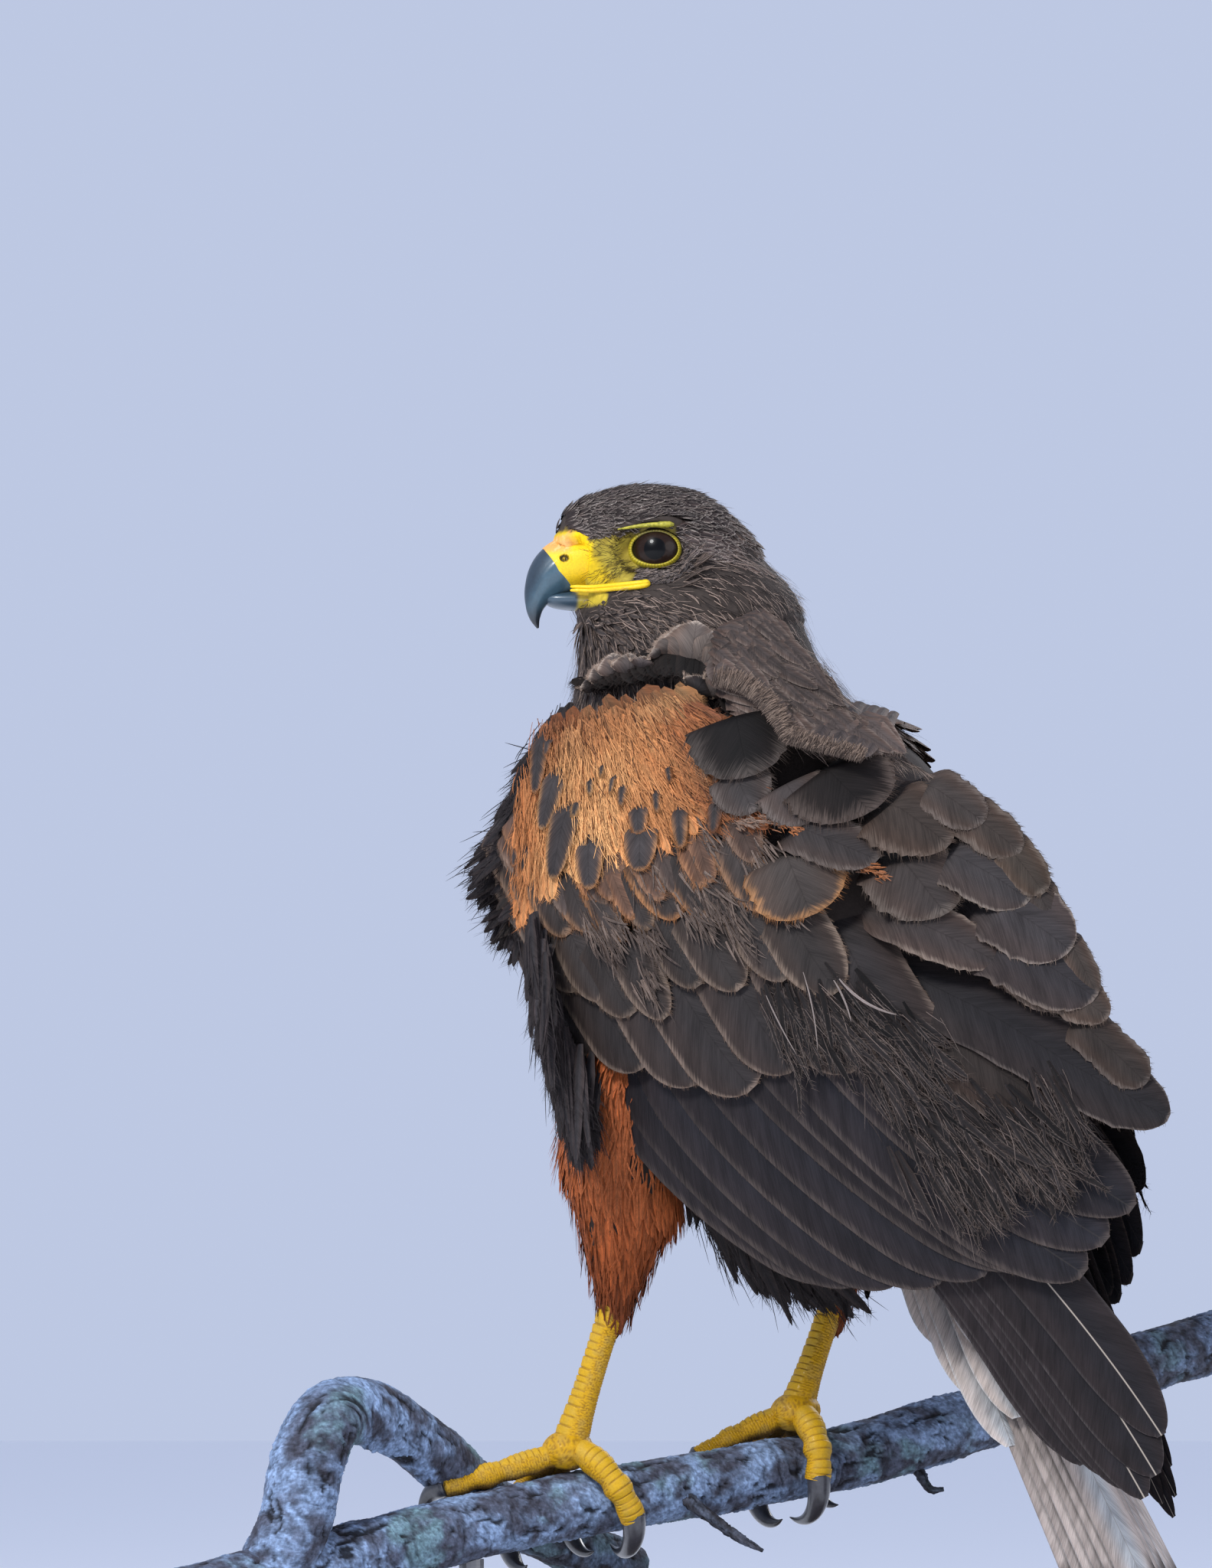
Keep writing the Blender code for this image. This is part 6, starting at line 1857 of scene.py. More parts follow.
def mantle_coat(side):
    """Smooth feathers from the neck down over the shoulder, whose last ones the wind lifts."""
    count = 900 if side > 0 else 260
    s = rng.uniform(110.0 if side > 0 else 138.0, 177.0, count)
    low, high = np.interp(s, *MANTLE_HEM), np.interp(s, *MANTLE_TOP)
    d = low + (high - 5.0 - low) * rng.random(count)
    keep = high - low > 4.0
    s, d, low = s[keep], d[keep], low[keep]
    count = len(s)
    near = np.exp(-(d - low) / 5.0) * (1 - smooth((s - 158.0) / 10.0))
    length = rng.uniform(13.0, 18.0, count) + 4.0 * near
    turn = 0.42 + 0.12 * rng.normal(size=count)
    way = np.stack([-np.cos(turn), np.sin(turn)], axis=1)
    tips = np.stack([s, d], axis=1)
    roots = tips - way * length[:, None]
    roots[:, 0] = np.minimum(roots[:, 0], 187.0)
    height = 10.0 + 2.4 * near - 3.2 * smooth((s - 158.0) / 26.0) + 0.5 * rng.normal(size=count)
    if side < 0:
        height = height * 0.5
        roots, tips = roots - (0.0, 9.0), tips - (0.0, 9.0)
    half = rng.uniform(1.2, 2.2, count) + 1.5 * near
    batch = wing_vanes(side, roots, tips, half, height, 0.1, 0.0, 9, 3, lift_tip=0.3 + 1.6 * near, base=0.5,
                       tip_start=0.3, least=0.06, camber=0.5, root_height=5.0)
    light = (0.85 + 0.35 * near)[:, None]
    core = vary(srgb(66, 58, 55), count, 0.12) * light
    bake = wing_bake(side, roots)
    dress(batch, core, vary(srgb(112, 102, 95), count) * light, 1.1, 0.5, 0.0, bake)
    out = [batch, loose_barbs(batch, 10 if side > 0 else 4, 1.6, 0.2, 0.06, 0.2, 0.85)]
    pick = np.repeat(np.arange(count), 2 if side > 0 else 1)
    k = len(pick)
    ss, dd = s[pick] + rng.normal(size=k) * 5.0, d[pick] + rng.normal(size=k) * 2.0
    dd = np.clip(dd, np.interp(ss, *MANTLE_HEM) - 0.5, np.interp(ss, *MANTLE_TOP) - 4.5)
    h = 10.3 - 3.2 * smooth((ss - 158.0) / 26.0) + rng.uniform(0.0, 0.6, k)
    if side < 0:
        h, dd = h * 0.5, dd - 9.0
    p, n, f = on_wing(side, ss, dd, h, -np.ones(k), 0.42 + 0.15 * rng.normal(size=k))
    hairs = lay_feathers(p, n, f, rng.uniform(3.0, 9.0, k), 0.07, rng.uniform(0.0, 0.08, k), -0.1, 0.0,
                         rng.normal(size=k) * 0.2, 5, 2, 0.8, 0.3, 0.1)
    tone = rng.random((k, 1)) ** 1.5
    dress(hairs, lerp(srgb(40, 35, 33), srgb(140, 128, 120), tone), srgb(120, 110, 102), 0.2, 0.2, 0.0,
          wing_bake(side, np.stack([ss, dd], axis=1)))
    return out + [hairs]


def seen(p):
    """Where the camera sees places, in points of the image."""
    way = np.asarray(p, float) - CAMERA_PLACE
    far = way @ LOOK
    px = IMAGE_MIDDLE[0] + way[..., 0] / far * IMAGE_SCALE
    py = IMAGE_MIDDLE[1] - way @ LOOK_UP / far * IMAGE_SCALE
    return px, py


def front(tree, px, py, missing=-45.0):
    """The depth at which the camera first meets the skin at a point of the image."""
    near, far = at(px, py, -300.0), at(px, py, 200.0)
    place = tree.ray_cast(Vector(near), Vector(unit(far - near)))[0]
    return place[1] if place is not None else missing


def at(px, py, y):
    """The place at depth y that the camera sees at a point of the image."""
    across, high = (px - IMAGE_MIDDLE[0]) / IMAGE_SCALE, (IMAGE_MIDDLE[1] - py) / IMAGE_SCALE
    way = LOOK + np.array([1.0, 0, 0]) * across + LOOK_UP * high
    return CAMERA_PLACE + way * (y - CAMERA_PLACE[1]) / way[1]


def ruff_coat(tree):
    """The neck's long feathers, which the wind from behind has lifted and turned over on the near side."""
    out = []
    view = np.array([0.0, -1.0, 0.1])
    # dark feathers lining the hollow: a painted shadow
    x = np.linspace(762, 1010, 34) + rng.normal(size=34) * 2.0
    low = np.interp(x, *HOLLOW) + rng.normal(size=34) * 2.0
    high = low - np.interp(x, (762, 850, 900, 950, 1010), (14, 34, 46, 60, 44))
    a = np.array([at(q, v, front(tree, q, v) - 6.5) for q, v in zip(x, high)])
    b = np.array([at(q - 4, v, front(tree, q, v) - 8.5) for q, v in zip(x, low)])
    hollow_shadow = free_feathers(a, b, view, 4.2, 0.5, 0.0, 0.2, 12, 5, 0.6, 0.5, 0.2)
    dress(hollow_shadow, vary(srgb(20, 17, 16), 34, 0.2), srgb(34, 28, 26), 0.8, 0.4, 0.0,
          chart("trunk", np.full(34, 0.86), np.full(34, 0.25)))
    out += [hollow_shadow, loose_barbs(hollow_shadow, 50, 2.6, 0.3, 0.08, 0.25)]
    # feathers turned right over, their tips up against the neck
    # the ones nearest the hollows are painted darker, as the hollows' shade
    flipped = (
        ((893, 856), (888, 815), 8.2, srgb(96, 86, 80)),
        ((878, 852), (866, 828), 6.4, srgb(88, 79, 74)),
        ((920, 868), (944, 848), 6.8, srgb(104, 93, 86)),
        ((911, 862), (932, 824), 8.4, srgb(104, 93, 86)),
        ((903, 860), (910, 810), 10.2, srgb(100, 90, 84)),
        ((862, 858), (852, 846), 4.0, srgb(84, 76, 72)),
        ((930, 878), (950, 872), 6.0, srgb(100, 90, 84)),
        ((806, 888), (800, 852), 6.0, srgb(84, 76, 73)),
        ((822, 884), (822, 852), 6.2, srgb(84, 76, 73)),
        ((838, 876), (842, 856), 5.0, srgb(78, 70, 68)),
        ((790, 896), (781, 866), 4.6, srgb(70, 64, 62)),
        ((774, 904), (765, 884), 3.6, srgb(60, 55, 54)),
        ((906, 908), (924, 884), 6.2, srgb(46, 42, 42)),
        ((926, 906), (944, 892), 5.4, srgb(84, 76, 72)),
    )
    for k, (root, tip, half, core) in enumerate(flipped):
        deep = front(tree, *root) - 7.5 - (4.0 if k > 11 else 0.0)
        batch = free_feathers([at(*root, deep)], [at(*tip, front(tree, *tip) - 8.0 - 0.2 * k)], view, half,
                              3.2, -0.8, 0.35, 20, 15, 0.62, 0.3, 0.15)
        dress(batch, core[None] * 0.8, srgb(150, 136, 124)[None], 2.2, 1.0, 0.0,
              chart("trunk", [0.9], [0.25]))
        out += [batch, loose_barbs(batch, 260, 2.0, 0.1, 0.07, 0.2)]
    # the hem between neck and shoulder, lifted so that its tips stand off
    path = np.array([(930, 896), (958, 899), (981, 912), (998, 930), (1014, 952), (1026, 968), (1050, 976),
                     (1084, 984), (1124, 994)], float)
    depth = np.array([-70, -75, -80, -84, -88, -89.5, -90.5, -91.5, -92.0])
    steps = np.arange(len(path))
    index = np.linspace(0, len(path) - 1, 30)
    tips = curve(index, steps, path) + rng.normal(size=(30, 2)) * 1.5 + (4, -4)
    y = np.interp(index, steps, depth) + 1.0
    a = np.array([at(*t, v + 0.5 * rng.normal()) for t, v in zip(tips, y)])
    r = np.array([at(t[0] + 40, t[1] - 62, max(front(tree, t[0] + 40, t[1] - 62) - 6.0, v))
                  for t, v in zip(tips, y)])
    batch = free_feathers(r, a, view + np.array([0, 0, 0.3]), np.interp(index, (3, 8), (6.0, 2.6)), 2.0,
                          1.2, 0.3, 16, 7, 0.6, 0.5, 0.2)
    dress(batch, vary(srgb(64, 57, 55), 30, 0.06), vary(srgb(96, 88, 83), 30), 3.0, 0.5, 0.0,
          chart("trunk", 0.8 + 0.15 * rng.random(30), 0.2 + 0.1 * rng.random(30)))
    out += [batch, loose_barbs(batch, 60, 2.2, 0.3, 0.07, 0.2)]
    count = 2300
    index = rng.random(count) ** 0.85 * (len(path) - 1)
    tips = curve(index, steps, path) + rng.normal(size=(count, 2)) * 1.6
    slope = (curve(np.minimum(index + 0.2, len(path) - 1), steps, path)
             - curve(np.maximum(index - 0.2, 0), steps, path))
    square = np.stack([slope[:, 1], -slope[:, 0]], axis=1) / np.hypot(*slope.T)[:, None]
    reach = rng.uniform(10.0, 26.0, (count, 1)) * (1 - 0.35 * index[:, None] / len(path))
    roots = tips + square * reach + rng.normal(size=(count, 2)) * 2.0 + (4, 0)
    y = np.interp(index, steps, depth)
    a = np.array([at(*t, v) for t, v in zip(tips, y + 0.6 * rng.normal(size=count))])
    r = np.array([at(*t, v) for t, v in zip(roots, y - 1.6 + 0.5 * rng.normal(size=count))])
    hairs = free_feathers(r, a, view + np.array([0, 0, 0.3]), 0.12, 0.8, -0.6, 0.0, 5, 2, 0.8, 0.4, 0.2)
    tone = rng.random((count, 1))
    core = lerp(srgb(54, 47, 44), srgb(128, 114, 103), tone)
    dress(hairs, core, core * 1.3, 0.4, 0.5, 0.0,
          chart("trunk", 0.8 + 0.15 * rng.random(count), 0.2 + 0.1 * rng.random(count)))
    return out + [hairs]


def tail_vanes(roots, tips, half, height, rows, columns, root_height=0.0, tip_start=0.85):
    roots, tips = np.asarray(roots, float), np.asarray(tips, float)
    count = len(roots)
    half, height, root_height = (np.broadcast_to(v, count).astype(float) for v in (half, height, root_height))
    t = feather_rows(rows)
    x = np.linspace(-1, 1, columns)
    along = unit(tips - roots)
    across = np.stack([-along[:, 1], along[:, 0]], axis=1)
    place = roots[:, None] + (tips - roots)[:, None] * t[None, :, None]
    share = feather_shape(t, 0.5, tip_start, 0.2)
    wide = half[:, None] * share
    qc = place[:, :, None] + across[:, None, None] * (wide[:, :, None] * x)[..., None]
    h = root_height[:, None] + (height - root_height)[:, None] * smooth(t / 0.35)[None]
    h = h[:, :, None] + 0.5 * (1 - x**2)
    return {
        "points": tail_point(qc[..., 0], qc[..., 1], h),
        "t": t, "x": x, "half": wide, "length": np.linalg.norm(tips - roots, axis=1), "width": half,
    }


def tail_coat():
    """Twelve tail feathers, white at the root, dark beyond and white at the tip, and their coverts."""
    out = []
    for k in range(6):
        for side in (1, -1):
            batch = tail_vanes([(12.0, side * (1.0 + (1.4 if side > 0 else 2.6) * k))],
                               [(TAIL_LENGTH - 0.35 * k * k, side * (2.0 + (4.0 if side > 0 else 9.2) * k))],
                               10.0, 2.6 - 1.1 * k - (0.5 if side < 0 else 0.0), 48, 9, -1.0)
            bake = chart("tail", [0.5 + side * (k + 0.5) / 13.0], [0.5])
            t, x = batch["t"][None, :, None], batch["x"][None, None, :]
            q = 12.0 + (TAIL_LENGTH - 12.0) * t * np.ones_like(x)
            wave = 5.0 * noise(np.stack([q * 0.05, x * 1.5 + 3 * k + 0 * q, 0 * q + side], axis=-1), 8)
            band = (smooth((q - 150.0 - wave + 10.0 * np.abs(x)) / 7.0)
                    * (1 - smooth((q - 203.0 - 0.3 * wave) / 3.0)))
            shade = (1 + 0.05 * rng.normal()) * (
                0.93 + 0.07 * noise(np.stack([q * 0.1, x * 4 + 0 * q, 0 * q + k], axis=-1), 9)
            )
            pale = (srgb(158, 160, 162) * (1 - 0.4 * (x[..., None] ** 2))
                    + srgb(92, 82, 78) * 0.4 * x[..., None] ** 2)
            core = (pale * (1 - band[..., None]) + srgb(46, 42, 42) * band[..., None]) * shade[..., None]
            dress(batch, core, core * 0.8, 0.7, 0.7, 0.3, bake)
            out.append(batch)
    coverts = []
    for count, length, width, height, start in ((7, 100.0, 10.5, -9.5, -8.0), (6, 82.0, 10.0, -12.5, -9.0),
                                                (5, 62.0, 9.5, -15.5, -10.0)):
        c = np.linspace(-18, 18, count)
        roots = np.stack([np.full(count, 4.0), c * 0.8], axis=1)
        tips = np.stack([length - 0.4 * np.abs(c), c * 1.25], axis=1)
        batch = tail_vanes(roots, tips, width, height + 0.02 * c * c, 16, 7, start, 0.7)
        bake = chart("tail", (c + 30) / 60.0, np.full(count, 0.15))
        dress(batch, vary(srgb(170, 172, 174), count, 0.05), vary(srgb(190, 192, 192), count, 0.03), 1.0,
              0.6, 0.3, bake)
        coverts.append(batch)
    for count, length, width, height, start in ((6, 92.0, 10.0, 6.5, 4.0), (5, 70.0, 9.5, 8.5, 5.0)):
        c = np.linspace(-16, 16, count)
        roots = np.stack([np.full(count, 4.0), c * 0.8], axis=1)
        tips = np.stack([length - 0.4 * np.abs(c), c * 1.25], axis=1)
        batch = tail_vanes(roots, tips, width, height - 0.02 * c * c, 16, 7, start, 0.7)
        bake = chart("tail", (c + 30) / 60.0, np.full(count, 0.85))
        dress(batch, vary(srgb(166, 166, 166), count, 0.05), vary(srgb(190, 190, 190), count, 0.03), 1.0,
              0.6, 0.3, bake)
        coverts.append(batch)
    return out, coverts


# Bill, cere, eyes and lids


def bill_rings(table_rows, start, end, steps, sides, extra=0.0, sharp=0.78, back=1.2):
    index = np.arange(len(table_rows))
    turn = np.arange(sides) * 2 * math.pi / sides
    rings = []
    for u in np.linspace(start, end, steps):
        f, h, deep, wide = curve(u, index, table_rows)
        a = curve(min(u + 0.05, index[-1]), index, table_rows)
        b = curve(max(u - 0.05, 0.0), index, table_rows)
        along = unit([a[0] - b[0], a[1] - b[1]])
        up = np.array([-along[1], along[0]])
        c, s = np.cos(turn), np.sin(turn)
        rise = (deep + extra) * c
        spread = (wide + extra) * np.sign(s) * np.abs(s) * np.where(c > 0.4, sharp + (1 - c) * 0.3, 1)
        rings.append(head(f - back + up[0] * rise, spread, h + up[1] * rise))
    return np.array(rings)


def paint_object(name, points, faces, material, colour, *nodes, slot=None):
    obj = mesh_object(name, points, faces, material, colours={"paint": colour})
    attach(obj, "root")
    if nodes:
        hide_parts(*nodes)
    return obj


def make_bill():
    rings = bill_rings(BILL_ROWS, 1.3, 7.0, 100, 72)
    f, _, u = head_coords(rings.reshape(-1, 3))
    sink = 3.0 * smooth((np.interp(u, *CERE_EDGE) - f - 1.0) / 1.2).reshape(rings.shape[:2] + (1,))
    rings = rings + unit(rings.mean(axis=1, keepdims=True) - rings) * sink
    points, faces = tube(rings)
    f, _, u = head_coords(points)
    tip = smooth((-13.0 - u) / 10.0)[:, None]
    ridge = smooth((f - 40.5 + 0.45 * (u + 4.0)) / 5.0)[:, None]
    colour = lerp(srgb(60, 86, 100), srgb(36, 50, 62), ridge)
    colour = colour * (1 - tip) + srgb(30, 33, 40) * tip
    pale = (smooth((38.0 - f) / 2.5) * smooth((-6.0 - u) / 3.0))[:, None]
    colour = colour * (1 - 0.45 * pale) + srgb(120, 144, 156) * 0.45 * pale
    colour = colour * (1 + 0.1 * layered(points * 0.5, 3, 5)[:, None])
    paint_object("bill_upper_look", points, faces, HORN, np.clip(colour, 0, 1), "bill_upper",
                 slot="bill_horn")

    rings = bill_rings(BILL_ROWS, 0.0, 2.95, 130, 120, 0.2)
    f, _, u = head_coords(rings.reshape(-1, 3))
    sink = 0.9 * smooth((f - np.interp(u, *CERE_EDGE) + 0.15) / 0.6).reshape(rings.shape[:2] + (1,))
    rings = rings + unit(rings.mean(axis=1, keepdims=True) - rings) * sink
    points, faces = tube(rings)
    f, l, u = head_coords(points)
    hole = np.hypot((f - 37.5) / 1.5, (u + 1.5) / 1.25)
    knob = np.hypot((f - 37.5) / 0.5, (u + 1.5) / 0.5)
    inward = np.sign(l) * (np.abs(l) > 4.0)
    depth = 1.5 * (1 - smooth((hole - 0.75) / 0.35)) - 0.9 * (1 - smooth((knob - 0.6) / 0.5))
    lip = 0.25 * np.exp(-((hole - 1.25) / 0.22) ** 2)
    points = points - (inward * (depth - lip))[:, None] * HEAD_LEFT
    colour = cere_colour(points)
    # the nostril's hollow painted dark: painted shade, lighter on its middle knob
    dark = (1 - smooth((hole - 0.85) / 0.3))[:, None] * np.where(knob > 0.9, 1.0, 0.6)[:, None]
    colour = colour * (1 - 0.92 * dark) + srgb(40, 26, 12) * 0.92 * dark
    paint_object("cere_look", points, faces, FACE_SKIN, np.clip(colour, 0, 1), "cere", slot="cere_skin")

    rings = bill_rings(LOWER_BILL_ROWS, 0.3, 4.0, 60, 48, back=0.6)
    points, faces = tube(rings)
    f, _, u = head_coords(points)
    back = smooth((33.5 - f) / 1.6)[:, None]
    colour = lerp(srgb(54, 74, 88), srgb(190, 168, 60), back)
    paint_object("bill_lower_look", points, faces, HORN, colour, "bill_lower", slot="bill_horn")


def make_eyes():
    material, tree, shader = new_material("eye_surface")
    place = attribute(tree, "look").outputs["Vector"]
    off, around, _ = split(tree, place)
    rays = noise_node(tree, combine(tree, math_node(tree, "MULTIPLY", around, 9.0),
                                    math_node(tree, "MULTIPLY", off, 0.6), 0.0), 1.0, 3.0)
    iris = mix(tree, rays, tuple(srgb(20, 13, 10)), tuple(srgb(44, 28, 20)))
    pupil = ramp(tree, off, 3.4, 3.75)
    colour = mix(tree, pupil, tuple(srgb(3, 3, 4)), iris)
    edge = ramp(tree, off, 6.0, 7.4)
    colour = mix(tree, edge, colour, tuple(srgb(10, 7, 6)))
    tree.links.new(colour, shader.inputs["Base Color"])
    shader.inputs["Roughness"].default_value = 0.3
    shader.inputs["Specular IOR Level"].default_value = 0.1
    shader.inputs["Coat Weight"].default_value = 0.22
    shader.inputs["Coat Roughness"].default_value = 0.02
    shader.inputs["Coat IOR"].default_value = 1.4
    for side, word in ((1, "left"), (-1, "right")):
        f, l, u = EYE_PLACE
        centre = head(f, side * l, u)
        look = eye_out(side)
        first = unit(np.cross(look, UP))
        second = np.cross(first, look)
        turn = np.arange(72) * 2 * math.pi / 72
        rings = []
        for b in np.linspace(0.02, math.pi - 0.02, 60):
            bulge = 1.0 + 0.03 * np.exp(-((b / 0.5) ** 2))
            ring = centre + EYE_RADIUS * 0.985 * bulge * math.cos(b) * look
            ring = ring + EYE_RADIUS * 0.985 * math.sin(b) * (
                np.cos(turn)[:, None] * first + np.sin(turn)[:, None] * second
            )
            rings.append(ring)
        points, faces = tube(np.array(rings))
        q = points - centre
        a, b = q @ first, q @ second
        off = np.hypot(a, b) + 20.0 * (q @ look < 0)
        obj = mesh_object("eye_look_" + word, points, faces, material,
                          vectors={"look": np.stack([off, np.arctan2(b, a), 0 * a], axis=1)})
        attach(obj, "root")
        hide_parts("eye_" + word)


# An eye's ring: how far out each of its circles is, and how high
LID_OUT = np.array([-0.35, 0.0, 0.2, 0.5, 0.8, 1.15, 1.45, 1.75, 2.1, 2.6, 3.1])
LID_RISE = np.array([-0.4, 0.05, 0.42, 0.66, 0.72, 0.6, 0.34, 0.0, -0.7, -2.0, -3.8])
LID_SIDES = 160
LID_BEADS = 24


def eye_ring(side):
    """The beaded ring that lies on one eye."""
    turn = np.linspace(0, 2 * math.pi, LID_SIDES, endpoint=False)
    centre, look, ahead, high = eye_frame(side)
    front = smooth((np.cos(turn) - 0.1) / 0.8)
    wide, tall, scale = lid_line(turn)
    edge = np.stack([wide * np.cos(turn), tall * np.sin(turn)], axis=1)
    away = unit(np.stack([np.cos(turn) / wide, np.sin(turn) / tall], axis=1))
    beads = np.abs(np.sin(turn * LID_BEADS))
    ball = np.sqrt(np.maximum(EYE_RADIUS**2 - np.minimum(np.linalg.norm(edge, axis=1), 8.6) ** 2, 0))
    rings = []
    for reach, rise in zip(LID_OUT, LID_RISE):
        flat = edge + away * (reach * np.maximum(scale, 0.5))[:, None]
        level = ball - 0.55 * np.maximum(reach, 0) + rise * (1 + 0.5 * beads - 0.25)
        rings.append(centre + flat[:, :1] * ahead + flat[:, 1:] * high + level[:, None] * look)
    faces = grid_faces(len(rings), LID_SIDES, True)
    share = LID_OUT[:, None] * np.ones(LID_SIDES)
    gold = srgb(180, 162, 34) * (0.5 + 0.5 * beads)[None, :, None]
    outside = np.where(front[:, None] > 0.35, srgb(150, 138, 58), srgb(62, 56, 54))[None]
    far = smooth((share - 1.6) / 0.5)[..., None]
    # the ring's inner edge dark where it meets the eye: painted shade in the crease
    near = smooth((0.25 - share) / 0.4)[..., None]
    # the ring's top darkened: painted shade of the brow
    upper = (smooth((np.sin(turn) - 0.45) / 0.4)[None] * np.ones_like(share))[..., None]
    colour = lerp(lerp(gold, outside, far), srgb(74, 68, 40), 0.8 * upper)
    colour = lerp(colour, srgb(26, 20, 16), near)
    return np.array(rings).reshape(-1, 3), faces if side > 0 else faces[:, ::-1], colour.reshape(-1, 3)


def brow_stripe(side):
    path = [head(21.5, side * 18.4, 7.2), head(16.0, side * 21.2, 8.0), head(10.0, side * 23.0, 8.5),
            head(5.2, side * 23.7, 8.6), head(4.2, side * 23.5, 8.6)]
    centres, radii, _ = resample(path, (0.25, 0.6, 0.8, 0.85, 0.5), 90)
    rings = round_path(centres, radii, UP, 18, 1.5)
    lump = 1 + 0.1 * noise(rings * 1.3, 5)
    rings = centres[:, None] + (rings - centres[:, None]) * lump[..., None]
    points, faces = tube(rings)
    tone = smooth(layered(points * 1.4, 2, 3) * 0.5 + 0.5)[:, None]
    return points, faces, lerp(srgb(132, 128, 36), srgb(178, 168, 54), tone)


def mouth_edges(tree, side):
    """The two fleshy edges of the mouth, from the cere back to its corner."""
    ends = np.array(GAPE)[::-1]
    fs = np.linspace(35.5, 13.2, 14)
    us = np.interp(fs, ends[:, 0], ends[:, 1])
    reaches = np.array([9.2] + [side_reach(tree, f, u, side) for f, u in zip(fs[1:], us[1:])])
    around = np.convolve(np.pad(reaches, 1, mode="edge"), (0.3, 0.4, 0.3), "valid")
    reaches = np.maximum(reaches, around) + 0.45
    reaches[0] = 9.3
    path = [head(f, side * reach, u) for f, reach, u in zip(fs, reaches, us)]
    path.append(path[-1] - HEAD_FORWARD * 1.0 - UP * 0.1 - HEAD_LEFT * side * 0.3)
    shares = np.append(np.ones(12), (0.85, 0.6, 0.25))
    thicks = np.concatenate([[0.5], np.linspace(0.75, 1.0, 11), (1.1, 1.1, 0.4)])
    out = []
    for drop, thick, warm in ((0.55, 0.8, 0.0), (-0.65, 0.85, 0.3)):
        centres, radii, _ = resample(np.array(path) + UP * drop * shares[:, None], thicks, 100)
        points, faces = tube(round_path(centres, radii * thick, UP, 16, 1.25))
        tone = smooth(layered(points * 0.9, 2, 13) * 0.6 + 0.4)[:, None] * warm
        out.append((points, faces, lerp(YELLOW, srgb(226, 150, 30), tone)))
    return out


def make_lids(tree):
    """Eye rings that lie on the eyes, brow stripes and the fleshy edges of the mouth."""
    pieces = []
    for side in (1, -1):
        pieces += [eye_ring(side), brow_stripe(side)] + mouth_edges(tree, side)
    points, faces = join_parts([(p, f) for p, f, _ in pieces])
    paint = np.concatenate([paint for _, _, paint in pieces])
    paint_object("lids_and_gape", points, faces, FACE_SKIN, paint, slot="cere_skin")


def bristles(tree):
    """The hairs over the bare skin before the eye, round the eye and under the chin."""
    total = 5600
    f = rng.uniform(10.0, 35.0, total)
    u = rng.uniform(-11.0, 11.0, total)
    side = np.where(rng.random(total) < 0.5, 1.0, -1.0)
    row = np.interp(f, HEAD_ROWS[:, 0], HEAD_INDEX)
    r = curve(row, HEAD_INDEX, HEAD_ROWS)
    c = np.clip((u - r[:, 1]) / np.where(u > r[:, 1], r[:, 2], r[:, 3]), -0.95, 0.95)
    raw = head(f, side * r[:, 4] * np.sqrt(1 - c * c), u)
    p, n, keep = on_skin(tree, raw, 4.0)
    keep &= lore_mask(p) > 0.2
    hf, _, hu = head_coords(p)
    keep &= rng.random(total) < np.clip(0.85 - 0.7 * smooth((hf - 15.0) / 12.0) + 0.3 * smooth(hu / 8.0),
                                        0.22, 0.9)
    keep &= (eye_distance(p) > 9.6) & (gape_distance(p) > 1.2) & (hf < 30.5)
    p, n = p[keep], n[keep]
    hf, _, hu = head_coords(p)
    count = len(p)
    fan = np.stack([0.55 + 0 * hf, 0.05 + (hu + 1.0) * 0.07], axis=1)
    flow = HEAD_FORWARD * fan[:, :1] + UP * fan[:, 1:] + rng.normal(size=(count, 3)) * 0.12
    back = rng.random(count) < 0.35
    flow[back] = flow[back] * 0.3 - HEAD_FORWARD * 0.6 + UP * 0.2
    batch = lay_feathers(p, n, flow, rng.uniform(1.2, 4.2, count), 0.05, rng.uniform(0.12, 0.45, count),
                         -0.4, 0.0, rng.normal(size=count) * 0.3, 5, 2, 0.9, 0.2, 0.1)
    dress(batch, vary(srgb(58, 50, 32), count, 0.25), srgb(60, 54, 40), 0.1, 0.3, 0.0,
          chart("face", (hf - 8) / 30.0, (hu + 12) / 24.0))
    return [batch]


# The legs and the perch
PERCH_RADIUS = 10.8
PERCH_SLOPE_Y = 0.6
PERCH_Y = 10.0
PERCH_X = (-188.0, -150.0, -110.0, -65.0, -40.0, -3.0, 21.0, 62.0, 100.0, 128.0, 158.0)
PERCH_Z = (-37.0, -27.0, -17.5, -8.2, -4.0, 1.5, 5.8, 16.6, 27.5, 37.5, 46.0)
FORK = np.array(
    (
        (-158.0, -86.0, -30.0),
        (-150.0, -84.0, -12.0),
        (-146.0, -80.0, 8.0),
        (-138.0, -72.0, 22.0),
        (-124.0, -60.0, 21.0),
        (-108.0, -44.0, 10.0),
        (-90.0, -20.0, -7.0),
        (-66.0, 8.0, -20.0),
        (-44.0, 26.0, -30.0),
    )
)
FORK_RADII = (11.5, 11.5, 11.5, 11.0, 10.5, 10.0, 9.5, 9.0, 8.5)


def perch_middle(x):
    z = curve(x, PERCH_X, PERCH_Z)
    wave = 1.6 * np.sin(np.asarray(x) * 0.045)
    return np.stack([x + 0 * z, PERCH_Y + PERCH_SLOPE_Y * x + wave, REST_Z + z], axis=-1)


def perch_frame(x):
    middle = perch_middle(x)
    along = unit(perch_middle(x + 1.0) - perch_middle(x - 1.0))
    far = unit(np.cross(UP, along))
    return middle, along, far, np.cross(along, far)


